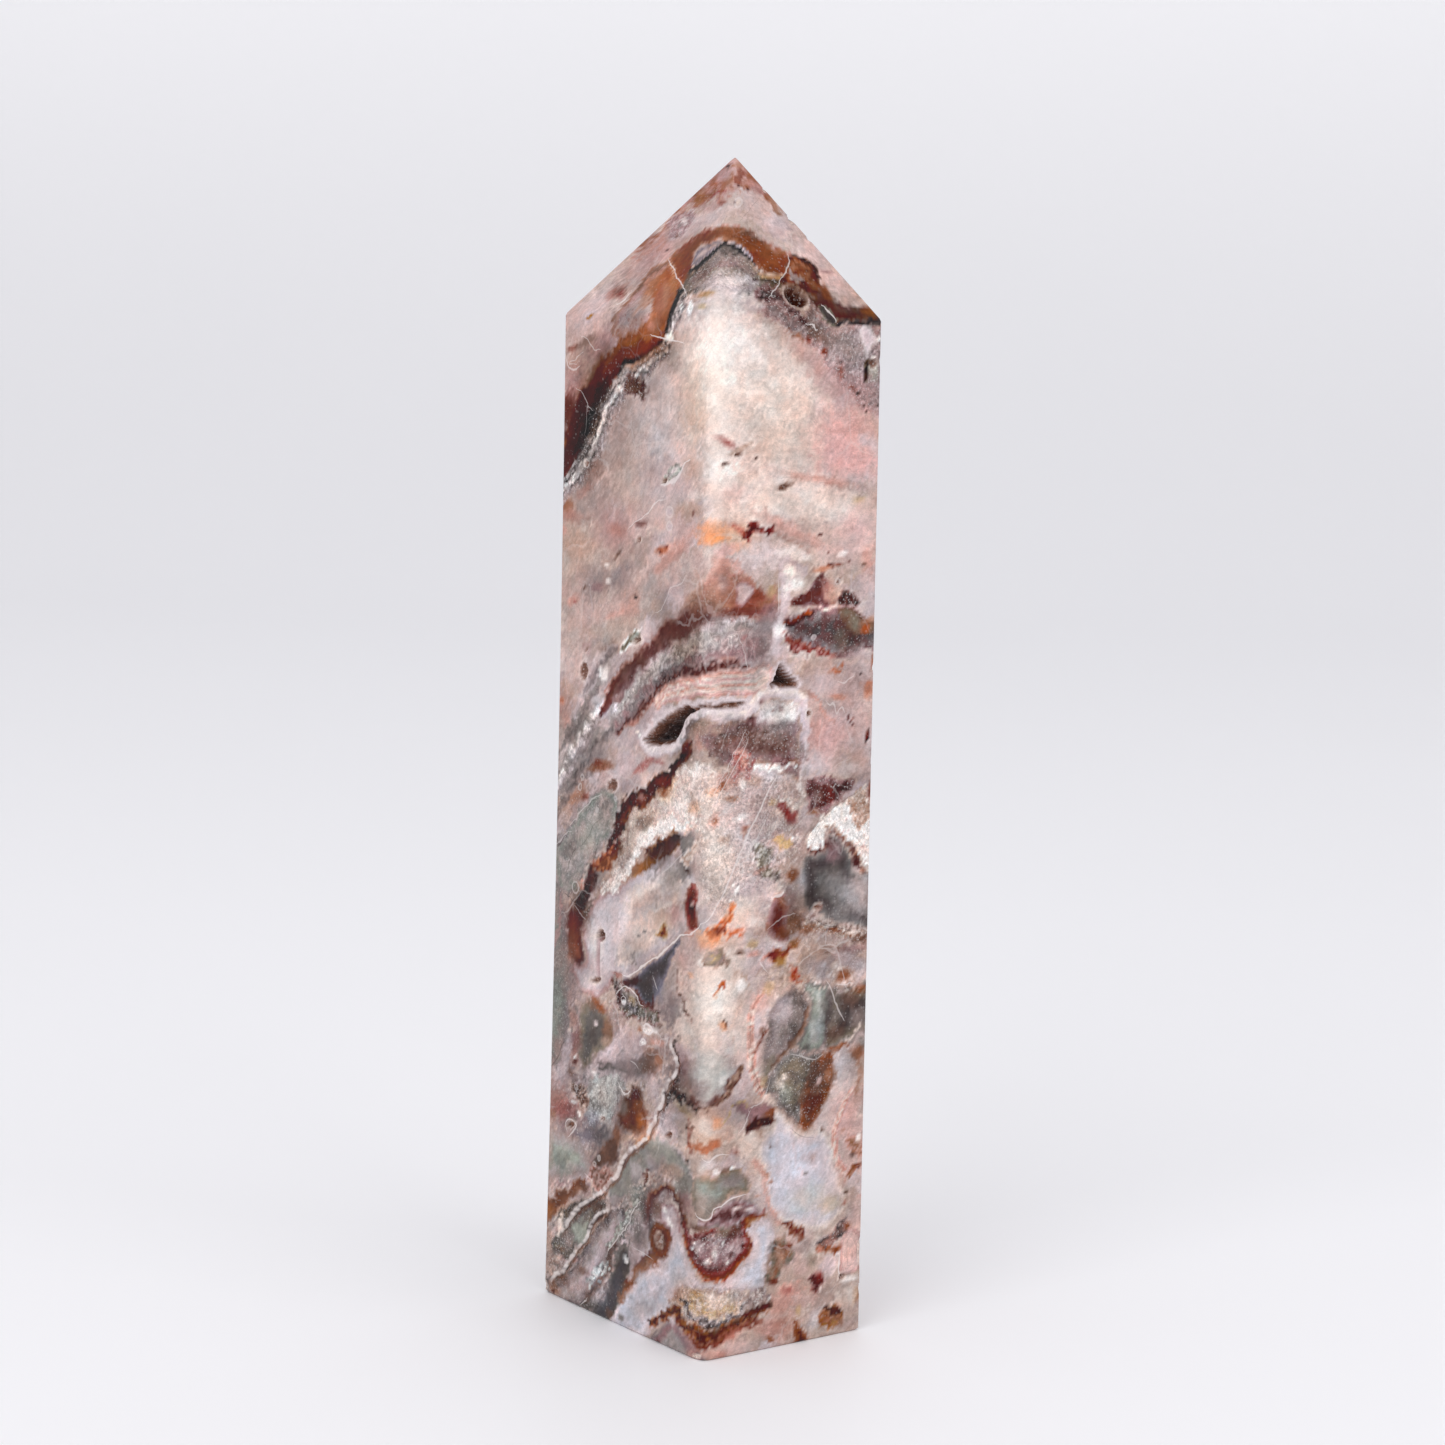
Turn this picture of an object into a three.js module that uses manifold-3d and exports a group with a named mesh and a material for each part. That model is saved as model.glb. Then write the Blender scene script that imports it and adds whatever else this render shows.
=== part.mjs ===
// A free-standing tower of banded agate, cut and polished from one piece of stone.
// It is a slightly tapered four-sided shaft under a four-sided point, with natural hollows,
// small pits, one jagged open crack and a few chipped edges.
// Millimetres, +Z up. The origin is the middle of the base that the tower stands on.

import * as THREE from 'three';
import { ParametricGeometry } from 'three/addons/geometries/ParametricGeometry.js';
import { mergeVertices } from 'three/addons/utils/BufferGeometryUtils.js';
import Module from 'manifold-3d';

const wasm = await Module();
wasm.setup();

// Driving dimensions of the shaft and the point
const HEIGHT = 200;
const SHOULDER_HEIGHT = 173.2;
// Places of the four ground faces at the base and at the shoulder
const BASE = { left: -17, right: 17, front: -23.8, back: 23.8 };
const SHOULDER = { left: -18, right: 17, front: -21.3, back: 22.1 };
// The back face is ground slightly hollow along its height
const BACK_BOW = 0.65;
// The tip stands off the middle, and its crisp planes would meet just above the blunt top
const TIP_X = 0.8;
const TIP_Y = -0.6;
const TIP_BLUNTING = 0.3;
const TIP_FLAT = 0.5;
// How far the middle of each polished face stands out
const FACE_CROWN = 0.25;
// Rounding of the four upright edges on the shaft, and of every edge of the point
const EDGE_RADIUS = { front: 2.2, right: 0.5, back: 1.2, left: 0.6 };
const POINT_EDGE_RADIUS = 0.45;
const SHOULDER_SOFTENING = 0.8;
const BASE_CHAMFER = 0.4;
// Segments in each rounded edge, and points along each face between two edges
const EDGE_SEGMENTS = { front: 5, right: 2, back: 3, left: 2 };
const FACE_POINTS = 3;
const SHAFT_LEVELS = 7;
const POINT_LEVELS = 3;
// How far a cutting form stands out of the face, so that it cuts cleanly
const CUT_CLEARANCE = 1;
// Half the width over which the face direction turns at the front edge
const FRONT_EDGE_BLEND = 2.5;

// Places on the stone are given as [across, height]. Across is measured round the outside from
// the front edge: negative on the wide left face, positive on the narrow right face.

// The long dark cavity that crosses the front edge: lower bank, upper bank, depth
const LONG_CAVITY = [
  [-18.5, 102.3, -18.5, 102.4, 0.1],
  [-16.4, 101.3, -16.7, 103.6, 2.4],
  [-14.2, 101.4, -14.4, 105.5, 4.4],
  [-11.4, 102.0, -12.2, 106.9, 5.6],
  [-9.3, 102.8, -10.2, 107.8, 6.0],
  [-7.8, 104.4, -8.4, 108.6, 5.4],
  [-6.0, 107.0, -6.6, 109.5, 4.2],
  [-4.0, 108.2, -4.6, 109.3, 3.2],
  [-2.0, 108.9, -2.4, 109.9, 2.8],
  [0.0, 109.2, 0.0, 110.2, 2.6],
  [2.7, 109.0, 2.4, 110.1, 2.4],
  [4.8, 108.9, 4.4, 110.2, 2.6],
  [6.4, 109.3, 6.2, 110.3, 1.6],
  [7.9, 110.2, 7.9, 110.3, 0.1],
];

// The three-cornered cavity on the narrow face
const CORNERED_CAVITY = [
  [11.7, 112.6, 11.7, 112.7, 0.1],
  [12.8, 112.3, 12.8, 113.5, 2.0],
  [13.6, 112.3, 13.6, 115.6, 3.6],
  [14.4, 112.2, 14.2, 116.6, 4.4],
  [15.4, 112.1, 15.2, 115.8, 4.2],
  [16.6, 112.0, 16.4, 114.5, 3.4],
  [17.8, 112.1, 17.8, 113.4, 2.0],
  [18.7, 112.6, 18.7, 112.9, 0.1],
];

// A narrow slit that runs down from the round pit low on the wide face
const PIT_TAIL = [
  [-31.0, 66.4, -30.2, 66.4, 1.4],
  [-31.2, 64.4, -30.6, 64.4, 1.0],
  [-31.1, 62.2, -30.7, 62.2, 0.8],
  [-31.0, 59.6, -30.9, 59.6, 0.1],
];

// A matching cavity on the hidden narrow face, away from the light
const REAR_CAVITY = [
  [52.0, 84.2, 52.0, 84.3, 0.1],
  [54.2, 82.8, 54.0, 85.4, 2.6],
  [57.0, 83.0, 56.6, 87.0, 4.2],
  [60.2, 84.6, 59.8, 88.4, 4.6],
  [63.4, 86.4, 63.2, 89.2, 3.4],
  [66.4, 88.6, 66.4, 89.8, 1.8],
  [68.4, 90.0, 68.4, 90.1, 0.1],
];

// Small pits: [across, height, half length, half height, tilt in degrees, depth]
const PITS = [
  // The oval pit in the orange-brown band of the point
  [16.3, 176.4, 2.7, 1.3, -22, 2.2],
  // The wide face, from the point downwards
  [-13.5, 186.6, 0.5, 0.4, 0, 0.5],
  [-26.2, 176.7, 0.4, 0.4, 0, 0.6],
  [-36.1, 147.8, 0.6, 0.6, 0, 0.5],
  [-13.0, 145.7, 0.7, 0.5, 0, 0.5],
  [-20.1, 135.8, 0.7, 0.5, 0, 0.5],
  [-20.3, 118.8, 1.0, 0.6, 10, 0.8],
  [-35.4, 116.2, 0.6, 0.3, 25, 0.5],
  [-36.3, 112.3, 1.3, 1.6, 0, 0.7],
  [-27.3, 93.4, 1.5, 1.1, 20, 0.8],
  [-30.4, 67.0, 1.4, 1.0, -8, 1.6],
  [-31.6, 59.1, 1.5, 0.5, 12, 0.9],
  [-22.3, 41.3, 0.8, 0.4, 0, 0.5],
  [-9.7, 36.6, 1.0, 0.6, 15, 0.7],
  [-29.0, 35.2, 0.7, 0.4, 0, 0.5],
  [-39.2, 32.1, 1.3, 0.6, 25, 0.6],
  [-16.0, 28.0, 0.6, 1.0, 0, 0.5],
  [-12.1, 17.9, 0.9, 1.2, 15, 0.9],
  // The narrow face, from the shoulder downwards
  [33.2, 166.0, 1.0, 0.8, 0, 0.7],
  [2.6, 148.9, 0.9, 0.35, 25, 0.5],
  [5.3, 150.7, 0.9, 0.4, 20, 0.6],
  [8.9, 150.0, 0.4, 0.35, 0, 0.5],
  [14.6, 145.4, 1.2, 0.6, 20, 0.7],
  [26.5, 129.7, 0.5, 0.5, 0, 0.4],
  [20.6, 107.6, 0.5, 0.7, 0, 0.5],
  [23.0, 74.8, 0.8, 0.5, 10, 0.6],
  [7.0, 68.7, 0.6, 0.35, 0, 0.5],
  [29.9, 10.2, 0.6, 0.5, 0, 0.5],
  // The hidden faces
  [44.0, 148.5, 1.2, 0.7, -20, 0.9],
  [71.0, 61.0, 1.5, 0.9, 15, 1.0],
  [49.5, 41.0, 0.9, 0.6, 30, 0.7],
  [60.5, 121.0, 0.8, 0.6, 0, 0.6],
  [-58.0, 131.0, 1.4, 0.8, 20, 1.0],
  [-66.0, 72.0, 1.1, 0.8, -15, 0.8],
  [-72.0, 108.0, 0.8, 0.6, 0, 0.6],
  [-61.5, 28.0, 1.0, 0.5, 35, 0.7],
];

// Chips broken from the edges: [across, height, half length, half height, tilt, depth]
const CHIPS = [
  [13.5, 190.0, 0.8, 1.0, 0, 0.8],
  [7.1, 194.8, 0.5, 0.6, 0, 0.5],
  [17.8, 186.7, 0.5, 0.7, 0, 0.4],
  [35.0, 166.3, 0.5, 0.8, 0, 0.5],
  [34.7, 114.8, 0.5, 0.7, 0, 0.5],
  [34.6, 99.0, 0.4, 0.6, 0, 0.5],
  [34.0, 14.0, 0.6, 3.4, 0, 0.5],
  [34.0, 7.4, 0.5, 0.9, 0, 0.6],
  [-1.4, 0.6, 1.3, 0.6, 0, 0.6],
  [-47.2, 1.0, 0.9, 0.9, 0, 0.7],
];

// The open crack that steps down across the wide face, with its depth and opening
const CRACK_DEPTH = 0.8;
const CRACK_OPENING = 0.7;
const CRACK = [
  [-8.0, 53.4], [-9.2, 52.0], [-7.5, 49.4], [-8.0, 46.8], [-9.8, 45.6], [-11.0, 43.2],
  [-11.8, 40.8], [-13.1, 39.8], [-13.4, 38.0], [-14.8, 36.4], [-15.6, 34.8], [-18.7, 32.4],
  [-20.7, 31.0], [-22.6, 29.4], [-24.4, 26.4], [-26.8, 24.2], [-28.8, 22.4], [-31.4, 20.6],
  [-34.8, 18.4], [-38.0, 16.1], [-40.0, 14.0], [-42.4, 11.0],
];
const CRACK_BRANCH = [
  [-25.8, 19.8], [-29.8, 18.0], [-32.4, 15.3], [-33.8, 12.7], [-36.2, 10.6], [-39.2, 7.4],
  [-41.4, 4.8], [-43.8, 3.8], [-45.2, 1.4],
];

const EDGE_ORDER = ['front', 'right', 'back', 'left'];

// Face places at one height of the shaft, between the base and the shoulder
function shaftFaces(height) {
  const t = height / SHOULDER_HEIGHT;
  const faces = {};
  for (const name of Object.keys(BASE)) {
    faces[name] = THREE.MathUtils.lerp(BASE[name], SHOULDER[name], t);
  }
  faces.back -= BACK_BOW * 4 * t * (1 - t);
  return faces;
}

// Face places at any height: the shaft's up to the shoulder, then closing on the tip
function levelFaces(height) {
  if (height <= SHOULDER_HEIGHT) {
    return shaftFaces(height);
  }
  const top = shaftFaces(SHOULDER_HEIGHT);
  const t = (height - SHOULDER_HEIGHT) / (HEIGHT + TIP_BLUNTING - SHOULDER_HEIGHT);
  return {
    left: THREE.MathUtils.lerp(top.left, TIP_X, t),
    right: THREE.MathUtils.lerp(top.right, TIP_X, t),
    front: THREE.MathUtils.lerp(top.front, TIP_Y, t),
    back: THREE.MathUtils.lerp(top.back, TIP_Y, t),
  };
}

// The four upright edges at one height, counter-clockwise from above
function levelCorners(height) {
  const f = levelFaces(height);
  return {
    front: new THREE.Vector2(f.left, f.front),
    right: new THREE.Vector2(f.right, f.front),
    back: new THREE.Vector2(f.right, f.back),
    left: new THREE.Vector2(f.left, f.back),
  };
}

// The outline of one level section: rounded edges joined by slightly crowned faces
function levelOutline(height, radii, crown, inset) {
  const corners = levelCorners(height);
  const outline = [];
  EDGE_ORDER.forEach((name, index) => {
    const corner = corners[name];
    const previous = corners[EDGE_ORDER[(index + 3) % 4]];
    const next = corners[EDGE_ORDER[(index + 1) % 4]];
    const toPrevious = previous.clone().sub(corner).normalize();
    const toNext = next.clone().sub(corner).normalize();
    const radius = radii[name];
    const centre = corner.clone().addScaledVector(toPrevious, radius).addScaledVector(toNext, radius);
    for (let step = 0; step <= EDGE_SEGMENTS[name]; step += 1) {
      const turn = (step / EDGE_SEGMENTS[name]) * Math.PI / 2;
      const point = centre.clone();
      point.addScaledVector(toNext, -(radius - inset) * Math.cos(turn));
      point.addScaledVector(toPrevious, -(radius - inset) * Math.sin(turn));
      outline.push(point);
    }
    const start = corner.clone().addScaledVector(toNext, radius);
    const nextRadius = radii[EDGE_ORDER[(index + 1) % 4]];
    const end = next.clone().addScaledVector(toNext, -nextRadius);
    for (let step = 1; step <= FACE_POINTS; step += 1) {
      const t = step / (FACE_POINTS + 1);
      const point = start.clone().lerp(end, t);
      point.addScaledVector(toPrevious, inset - crown * 4 * t * (1 - t));
      outline.push(point);
    }
  });
  return outline;
}

// Every level of the stone from the middle of the base to the tip, as rings of points
function towerRings() {
  const rings = [];
  const baseOutline = levelOutline(0, EDGE_RADIUS, 0, BASE_CHAMFER);
  rings.push(baseOutline.map(() => new THREE.Vector3(0, 0, 0)));
  rings.push(baseOutline.map((p) => new THREE.Vector3(p.x, p.y, 0)));
  const shaftTop = SHOULDER_HEIGHT - SHOULDER_SOFTENING;
  for (let level = 0; level < SHAFT_LEVELS; level += 1) {
    const t = level / (SHAFT_LEVELS - 1);
    const height = THREE.MathUtils.lerp(BASE_CHAMFER, shaftTop, t);
    const crown = FACE_CROWN * Math.sin(Math.PI * (0.1 + 0.8 * t));
    const outline = levelOutline(height, EDGE_RADIUS, crown, 0);
    rings.push(outline.map((p) => new THREE.Vector3(p.x, p.y, height)));
  }
  const pointRadii = {};
  EDGE_ORDER.forEach((name) => { pointRadii[name] = POINT_EDGE_RADIUS; });
  const pointTop = HEIGHT - TIP_FLAT;
  for (let level = 0; level < POINT_LEVELS; level += 1) {
    const t = level / (POINT_LEVELS - 1);
    const height = THREE.MathUtils.lerp(SHOULDER_HEIGHT, pointTop, t);
    const outline = levelOutline(height, pointRadii, 0, 0);
    rings.push(outline.map((p) => new THREE.Vector3(p.x, p.y, height)));
  }
  rings.push(baseOutline.map(() => new THREE.Vector3(TIP_X, TIP_Y, HEIGHT)));
  return rings;
}

// A closed surface through rings of points: round the section first, then up the levels
function surfaceThroughRings(rings) {
  const around = rings[0].length;
  const levels = rings.length - 1;
  const place = (u, v, target) => {
    const column = Math.round(u * around) % around;
    const row = Math.round(v * levels);
    target.copy(rings[row][column]);
  };
  return new ParametricGeometry(place, around, levels);
}

// A solid from a closed geometry, with shared points merged and empty triangles dropped
function solidFrom(geometry) {
  const bare = geometry.clone();
  bare.deleteAttribute('normal');
  bare.deleteAttribute('uv');
  const merged = mergeVertices(bare, 1e-4);
  const index = Array.from(merged.index.array);
  const triangles = [];
  for (let i = 0; i < index.length; i += 3) {
    const [a, b, c] = index.slice(i, i + 3);
    if (a !== b && b !== c && c !== a) {
      triangles.push(a, b, c);
    }
  }
  const vertProperties = new Float32Array(merged.attributes.position.array);
  const triVerts = new Uint32Array(triangles);
  let solid = new wasm.Manifold(new wasm.Mesh({ numProp: 3, vertProperties, triVerts }));
  if (solid.volume() < 0) {
    const turned = new Uint32Array(triangles.length);
    for (let i = 0; i < triangles.length; i += 3) {
      turned[i] = triangles[i];
      turned[i + 1] = triangles[i + 2];
      turned[i + 2] = triangles[i + 1];
    }
    solid = new wasm.Manifold(new wasm.Mesh({ numProp: 3, vertProperties, triVerts: turned }));
  }
  return solid;
}

// The point of the outside at [across, height], on crisp-edged faces
function outsidePoint(across, height) {
  const corners = levelCorners(height);
  const towardsRight = across >= 0;
  const near = towardsRight ? corners.right : corners.left;
  const nearWidth = near.distanceTo(corners.front);
  const distance = Math.abs(across);
  const flat = new THREE.Vector2();
  if (distance <= nearWidth) {
    flat.lerpVectors(corners.front, near, distance / nearWidth);
  } else {
    const farWidth = near.distanceTo(corners.back);
    flat.lerpVectors(near, corners.back, (distance - nearWidth) / farWidth);
  }
  return new THREE.Vector3(flat.x, flat.y, height);
}

// Directions on the outside at [across, height]: along the strip, up the face and outwards
function outsideDirections(across, height) {
  const step = 0.05;
  const along = outsidePoint(across + step, height).sub(outsidePoint(across - step, height));
  const up = outsidePoint(across, height + step).sub(outsidePoint(across, height - step));
  along.normalize();
  up.addScaledVector(along, -up.dot(along)).normalize();
  const outward = along.clone().cross(up).normalize();
  return { along, up, outward };
}

// The outward direction, turned smoothly from one face to the other at the front edge
function outwardAt(across, height) {
  if (Math.abs(across) >= FRONT_EDGE_BLEND) {
    return outsideDirections(across, height).outward;
  }
  const left = outsideDirections(-FRONT_EDGE_BLEND, height).outward;
  const right = outsideDirections(FRONT_EDGE_BLEND, height).outward;
  const t = (across + FRONT_EDGE_BLEND) / (2 * FRONT_EDGE_BLEND);
  return left.lerp(right, THREE.MathUtils.smoothstep(t, 0, 1)).normalize();
}

// A cavity between two banks: each section is half an ellipse that goes down to the depth
function cavity(banks, sides) {
  const place = (u, v, target) => {
    const station = banks[Math.round(u * (banks.length - 1))];
    const [lowAcross, lowHeight, highAcross, highHeight, depth] = station;
    const turn = (Math.round(v * sides) % sides) / sides * Math.PI * 2;
    const t = 0.5 - 0.5 * Math.cos(turn);
    const across = THREE.MathUtils.lerp(lowAcross, highAcross, t);
    const height = THREE.MathUtils.lerp(lowHeight, highHeight, t);
    const reach = Math.sin(turn) > 0 ? depth : CUT_CLEARANCE;
    const lift = FACE_CROWN - reach * Math.sin(turn);
    target.copy(outsidePoint(across, height)).addScaledVector(outwardAt(across, height), lift);
  };
  return solidFrom(closedAtEnds(place, banks.length - 1, sides));
}

// A tube surface whose two end sections are drawn together to a point each
function closedAtEnds(place, stations, sides) {
  const rings = [];
  for (let i = 0; i <= stations; i += 1) {
    const ring = [];
    for (let k = 0; k < sides; k += 1) {
      const point = new THREE.Vector3();
      place(i / stations, k / sides, point);
      ring.push(point);
    }
    rings.push(ring);
  }
  for (const end of [0, stations]) {
    const middle = new THREE.Vector3();
    rings[end].forEach((p) => middle.addScaledVector(p, 1 / sides));
    const closed = rings[end].map(() => middle.clone());
    if (end === 0) {
      rings.unshift(closed);
    } else {
      rings.push(closed);
    }
  }
  return surfaceThroughRings(rings);
}

// Banks of a crack: two lines beside its middle line, pinched at both ends
function crackBanks(line) {
  return line.map(([across, height], index) => {
    const before = line[Math.max(index - 1, 0)];
    const after = line[Math.min(index + 1, line.length - 1)];
    const run = new THREE.Vector2(after[0] - before[0], after[1] - before[1]).normalize();
    const pinch = index === 0 || index === line.length - 1 ? 0.2 : 1;
    const half = CRACK_OPENING / 2 * pinch;
    const low = [across - run.y * half, height + run.x * half];
    const high = [across + run.y * half, height - run.x * half];
    return [...low, ...high, CRACK_DEPTH * pinch];
  });
}

// A small faceted lump, used to cut one pit or chip
function lump([across, height, halfLength, halfHeight, tilt, depth]) {
  const { along, up } = outsideDirections(across, height);
  const outward = outwardAt(across, height);
  const turn = THREE.MathUtils.degToRad(tilt);
  const length = along.clone().multiplyScalar(Math.cos(turn)).addScaledVector(up, Math.sin(turn));
  const rise = up.clone().multiplyScalar(Math.cos(turn)).addScaledVector(along, -Math.sin(turn));
  length.multiplyScalar(halfLength);
  rise.multiplyScalar(halfHeight);
  const frame = new THREE.Matrix4().makeBasis(length, rise, outward.clone().multiplyScalar(depth));
  const geometry = new THREE.IcosahedronGeometry(1, 1);
  geometry.applyMatrix4(frame);
  const centre = outsidePoint(across, height);
  geometry.translate(centre.x, centre.y, centre.z);
  return solidFrom(geometry);
}

// The finished stone: the ground and polished form, less its hollows, crack and chips
function towerSolid() {
  let stone = solidFrom(surfaceThroughRings(towerRings()));
  const cavitySides = 10;
  const slitSides = 4;
  for (const banks of [LONG_CAVITY, CORNERED_CAVITY, REAR_CAVITY]) {
    stone = stone.subtract(cavity(banks, cavitySides));
  }
  stone = stone.subtract(cavity(PIT_TAIL, slitSides));
  for (const line of [CRACK, CRACK_BRANCH]) {
    stone = stone.subtract(cavity(crackBanks(line), slitSides));
  }
  for (const place of [...PITS, ...CHIPS]) {
    stone = stone.subtract(lump(place));
  }
  // Where two cuts meet they can free a flake, which falls away
  const pieces = stone.decompose();
  return pieces.reduce((largest, piece) => (piece.volume() > largest.volume() ? piece : largest));
}

// A three.js geometry from a finished solid
function geometryFrom(solid) {
  const mesh = solid.getMesh();
  const geometry = new THREE.BufferGeometry();
  geometry.setAttribute('position', new THREE.BufferAttribute(mesh.vertProperties, 3));
  geometry.setIndex(new THREE.BufferAttribute(mesh.triVerts, 1));
  geometry.computeVertexNormals();
  return geometry;
}

const agate = new THREE.MeshStandardMaterial({ color: 0xb9a5a0, roughness: 0.2, metalness: 0 });

const agateTower = new THREE.Mesh(geometryFrom(towerSolid()), agate);
agateTower.name = 'agate_tower';

const tower = new THREE.Group();
tower.add(agateTower);

export default tower;
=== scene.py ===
"""Looks of a polished tower of banded agate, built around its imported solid.

The stone is one dense surface. Its form and its markings are functions of two parameters: how far
a point lies round the outside from the front edge, and how high it is. Millimetres in the chart,
metres in the meshes.
"""

import logging
import math
from dataclasses import dataclass, field, fields
from enum import Enum

import bpy
import numpy as np
from mathutils import Matrix, Vector


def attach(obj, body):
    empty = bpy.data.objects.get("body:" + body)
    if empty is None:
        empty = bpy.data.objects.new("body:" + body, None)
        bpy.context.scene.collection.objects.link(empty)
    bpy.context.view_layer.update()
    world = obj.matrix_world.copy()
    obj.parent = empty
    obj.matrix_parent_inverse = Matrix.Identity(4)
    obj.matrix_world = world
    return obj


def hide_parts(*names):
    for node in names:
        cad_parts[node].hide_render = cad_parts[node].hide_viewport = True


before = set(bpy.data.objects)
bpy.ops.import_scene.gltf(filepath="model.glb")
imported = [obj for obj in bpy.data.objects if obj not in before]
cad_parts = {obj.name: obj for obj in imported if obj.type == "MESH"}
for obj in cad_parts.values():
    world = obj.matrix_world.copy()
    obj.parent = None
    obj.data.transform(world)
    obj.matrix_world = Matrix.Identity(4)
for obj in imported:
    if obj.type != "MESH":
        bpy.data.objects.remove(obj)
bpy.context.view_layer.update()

LOG = logging.getLogger("agate")
MM = 0.001

Array = np.ndarray
Points = tuple[tuple[float, ...], ...]


# Small numeric helpers

# Factors that scramble a lattice corner, the seed and their sum into one direction
CORNER_FACTORS = (73856093, 19349663, 83492791)
SEED_FACTOR = 2654435761
MIX_FACTOR = 1274126177
HASH_BITS = 0x7FFFFFFF
# How far each seed shifts the lattice, in cells, and what brings the noise to about -1 to 1
SEED_SHIFT = 17.31
NOISE_GAIN = 1.8
# Strength of each finer layer of noise against the one before
LAYER_FADE = 0.55


def smoothstep(low: float, high: float, value: Array) -> Array:
    """A smooth rise from 0 at low to 1 at high: 3t^2 - 2t^3 of the clamped share t.

    Args:
        low: Value where the rise starts.
        high: Value where it ends; it may be less than low, and then the curve falls.
        value: Values to map.

    Returns:
        The mapped values, from 0 to 1.
    """
    t = np.clip((value - low) / (high - low), 0.0, 1.0)
    return t * t * (3.0 - 2.0 * t)


def lerp(start: Array, end: Array, share: Array) -> Array:
    """Straight mix of start and end: start + (end - start) * share."""
    return start + (end - start) * share


def lattice_noise(places: Array, size: float, seed: int) -> Array:
    """Gradient noise: at each corner of a cubic lattice a hashed direction is dotted with the
    offset from that corner, and the eight results are blended with the curve 6t^5-15t^4+10t^3.

    Args:
        places: Points in millimetres, one row each.
        size: Cell size of the lattice in millimetres.
        seed: Which of the endless noise fields to use.

    Returns:
        One value for each point, from about -1 to 1.
    """
    scaled = places / size + seed * SEED_SHIFT
    cell = np.floor(scaled).astype(np.int64)
    offset = scaled - cell
    blend = offset**3 * (offset * (offset * 6.0 - 15.0) + 10.0)
    total = np.zeros(len(places))
    for corner in range(8):
        step = np.array([corner & 1, (corner >> 1) & 1, (corner >> 2) & 1])
        key = cell + step
        first, second, third = (key[:, k] * CORNER_FACTORS[k] for k in range(3))
        mixed = first ^ second ^ third
        mixed = (mixed ^ (seed * SEED_FACTOR)) & HASH_BITS
        mixed = (mixed ^ (mixed >> 13)) * MIX_FACTOR & HASH_BITS
        turn = (mixed & 0xFFFF) / 65536.0 * 2.0 * math.pi
        rise = ((mixed >> 15) & 0xFFFF) / 32768.0 - 1.0
        flat = np.sqrt(np.clip(1.0 - rise**2, 0.0, 1.0))
        away = offset - step
        slope = away[:, 0] * flat * np.cos(turn) + away[:, 1] * flat * np.sin(turn) + away[:, 2] * rise
        share = np.where(step == 1, blend, 1.0 - blend)
        total += slope * share[:, 0] * share[:, 1] * share[:, 2]
    return total * NOISE_GAIN


def layered_noise(places: Array, size: float, seed: int, layers: int = 3) -> Array:
    """Noise of several sizes summed: each layer has half the size and a set share of the
    strength."""
    total = np.zeros(len(places))
    strength = 1.0
    for layer in range(layers):
        total += strength * lattice_noise(places, size / 2**layer, seed + layer)
        strength *= LAYER_FADE
    return total


def smooth_path(points: Points, closed: bool, steps: int = 4) -> Array:
    """A Catmull-Rom curve through the given points, as a finer list of points.

    Args:
        points: The given points; any further columns, such as widths, are smoothed with them.
        closed: Whether the last point joins the first.
        steps: Pieces between two given points.

    Returns:
        The finer points, one row each; a closed path's first point isn't repeated.
    """
    given = np.array(points, float)
    if closed:
        before, start, end, after = (np.roll(given, k, axis=0) for k in (1, 0, -1, -2))
    else:
        padded = np.vstack([2 * given[0] - given[1], given, 2 * given[-1] - given[-2]])
        before, start, end, after = padded[:-3], padded[1:-2], padded[2:-1], padded[3:]
    t = (np.arange(steps) / steps)[None, :, None]
    before, start, end, after = (part[:, None, :] for part in (before, start, end, after))
    curve = 0.5 * (
        2 * start
        + (end - before) * t
        + (2 * before - 5 * start + 4 * end - after) * t**2
        + (3 * start - before - 3 * end + after) * t**3
    )
    curve = curve.reshape(-1, given.shape[1])
    return curve if closed else np.vstack([curve, given[-1]])


def inside_distance(across: Array, height: Array, outline: Array) -> Array:
    """Distance to a closed outline: positive inside, negative outside. The sign comes from how
    often a level ray crosses the outline.

    Args:
        across: First chart coordinate of each point.
        height: Second chart coordinate.
        outline: The outline's corners, one row each.

    Returns:
        The signed distance of each point.
    """
    nearest = np.full(len(across), 1e18)
    inside = np.zeros(len(across), bool)
    for start, end in zip(outline, np.roll(outline, -1, axis=0)):
        run, rise = end[0] - start[0], end[1] - start[1]
        length = max(run * run + rise * rise, 1e-12)
        share = np.clip(((across - start[0]) * run + (height - start[1]) * rise) / length, 0, 1)
        gap = (across - start[0] - share * run) ** 2 + (height - start[1] - share * rise) ** 2
        nearest = np.minimum(nearest, gap)
        if rise != 0.0:
            crosses = (start[1] > height) != (end[1] > height)
            inside ^= crosses & (across < start[0] + run * (height - start[1]) / rise)
    return np.where(inside, 1.0, -1.0) * np.sqrt(nearest)


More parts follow.
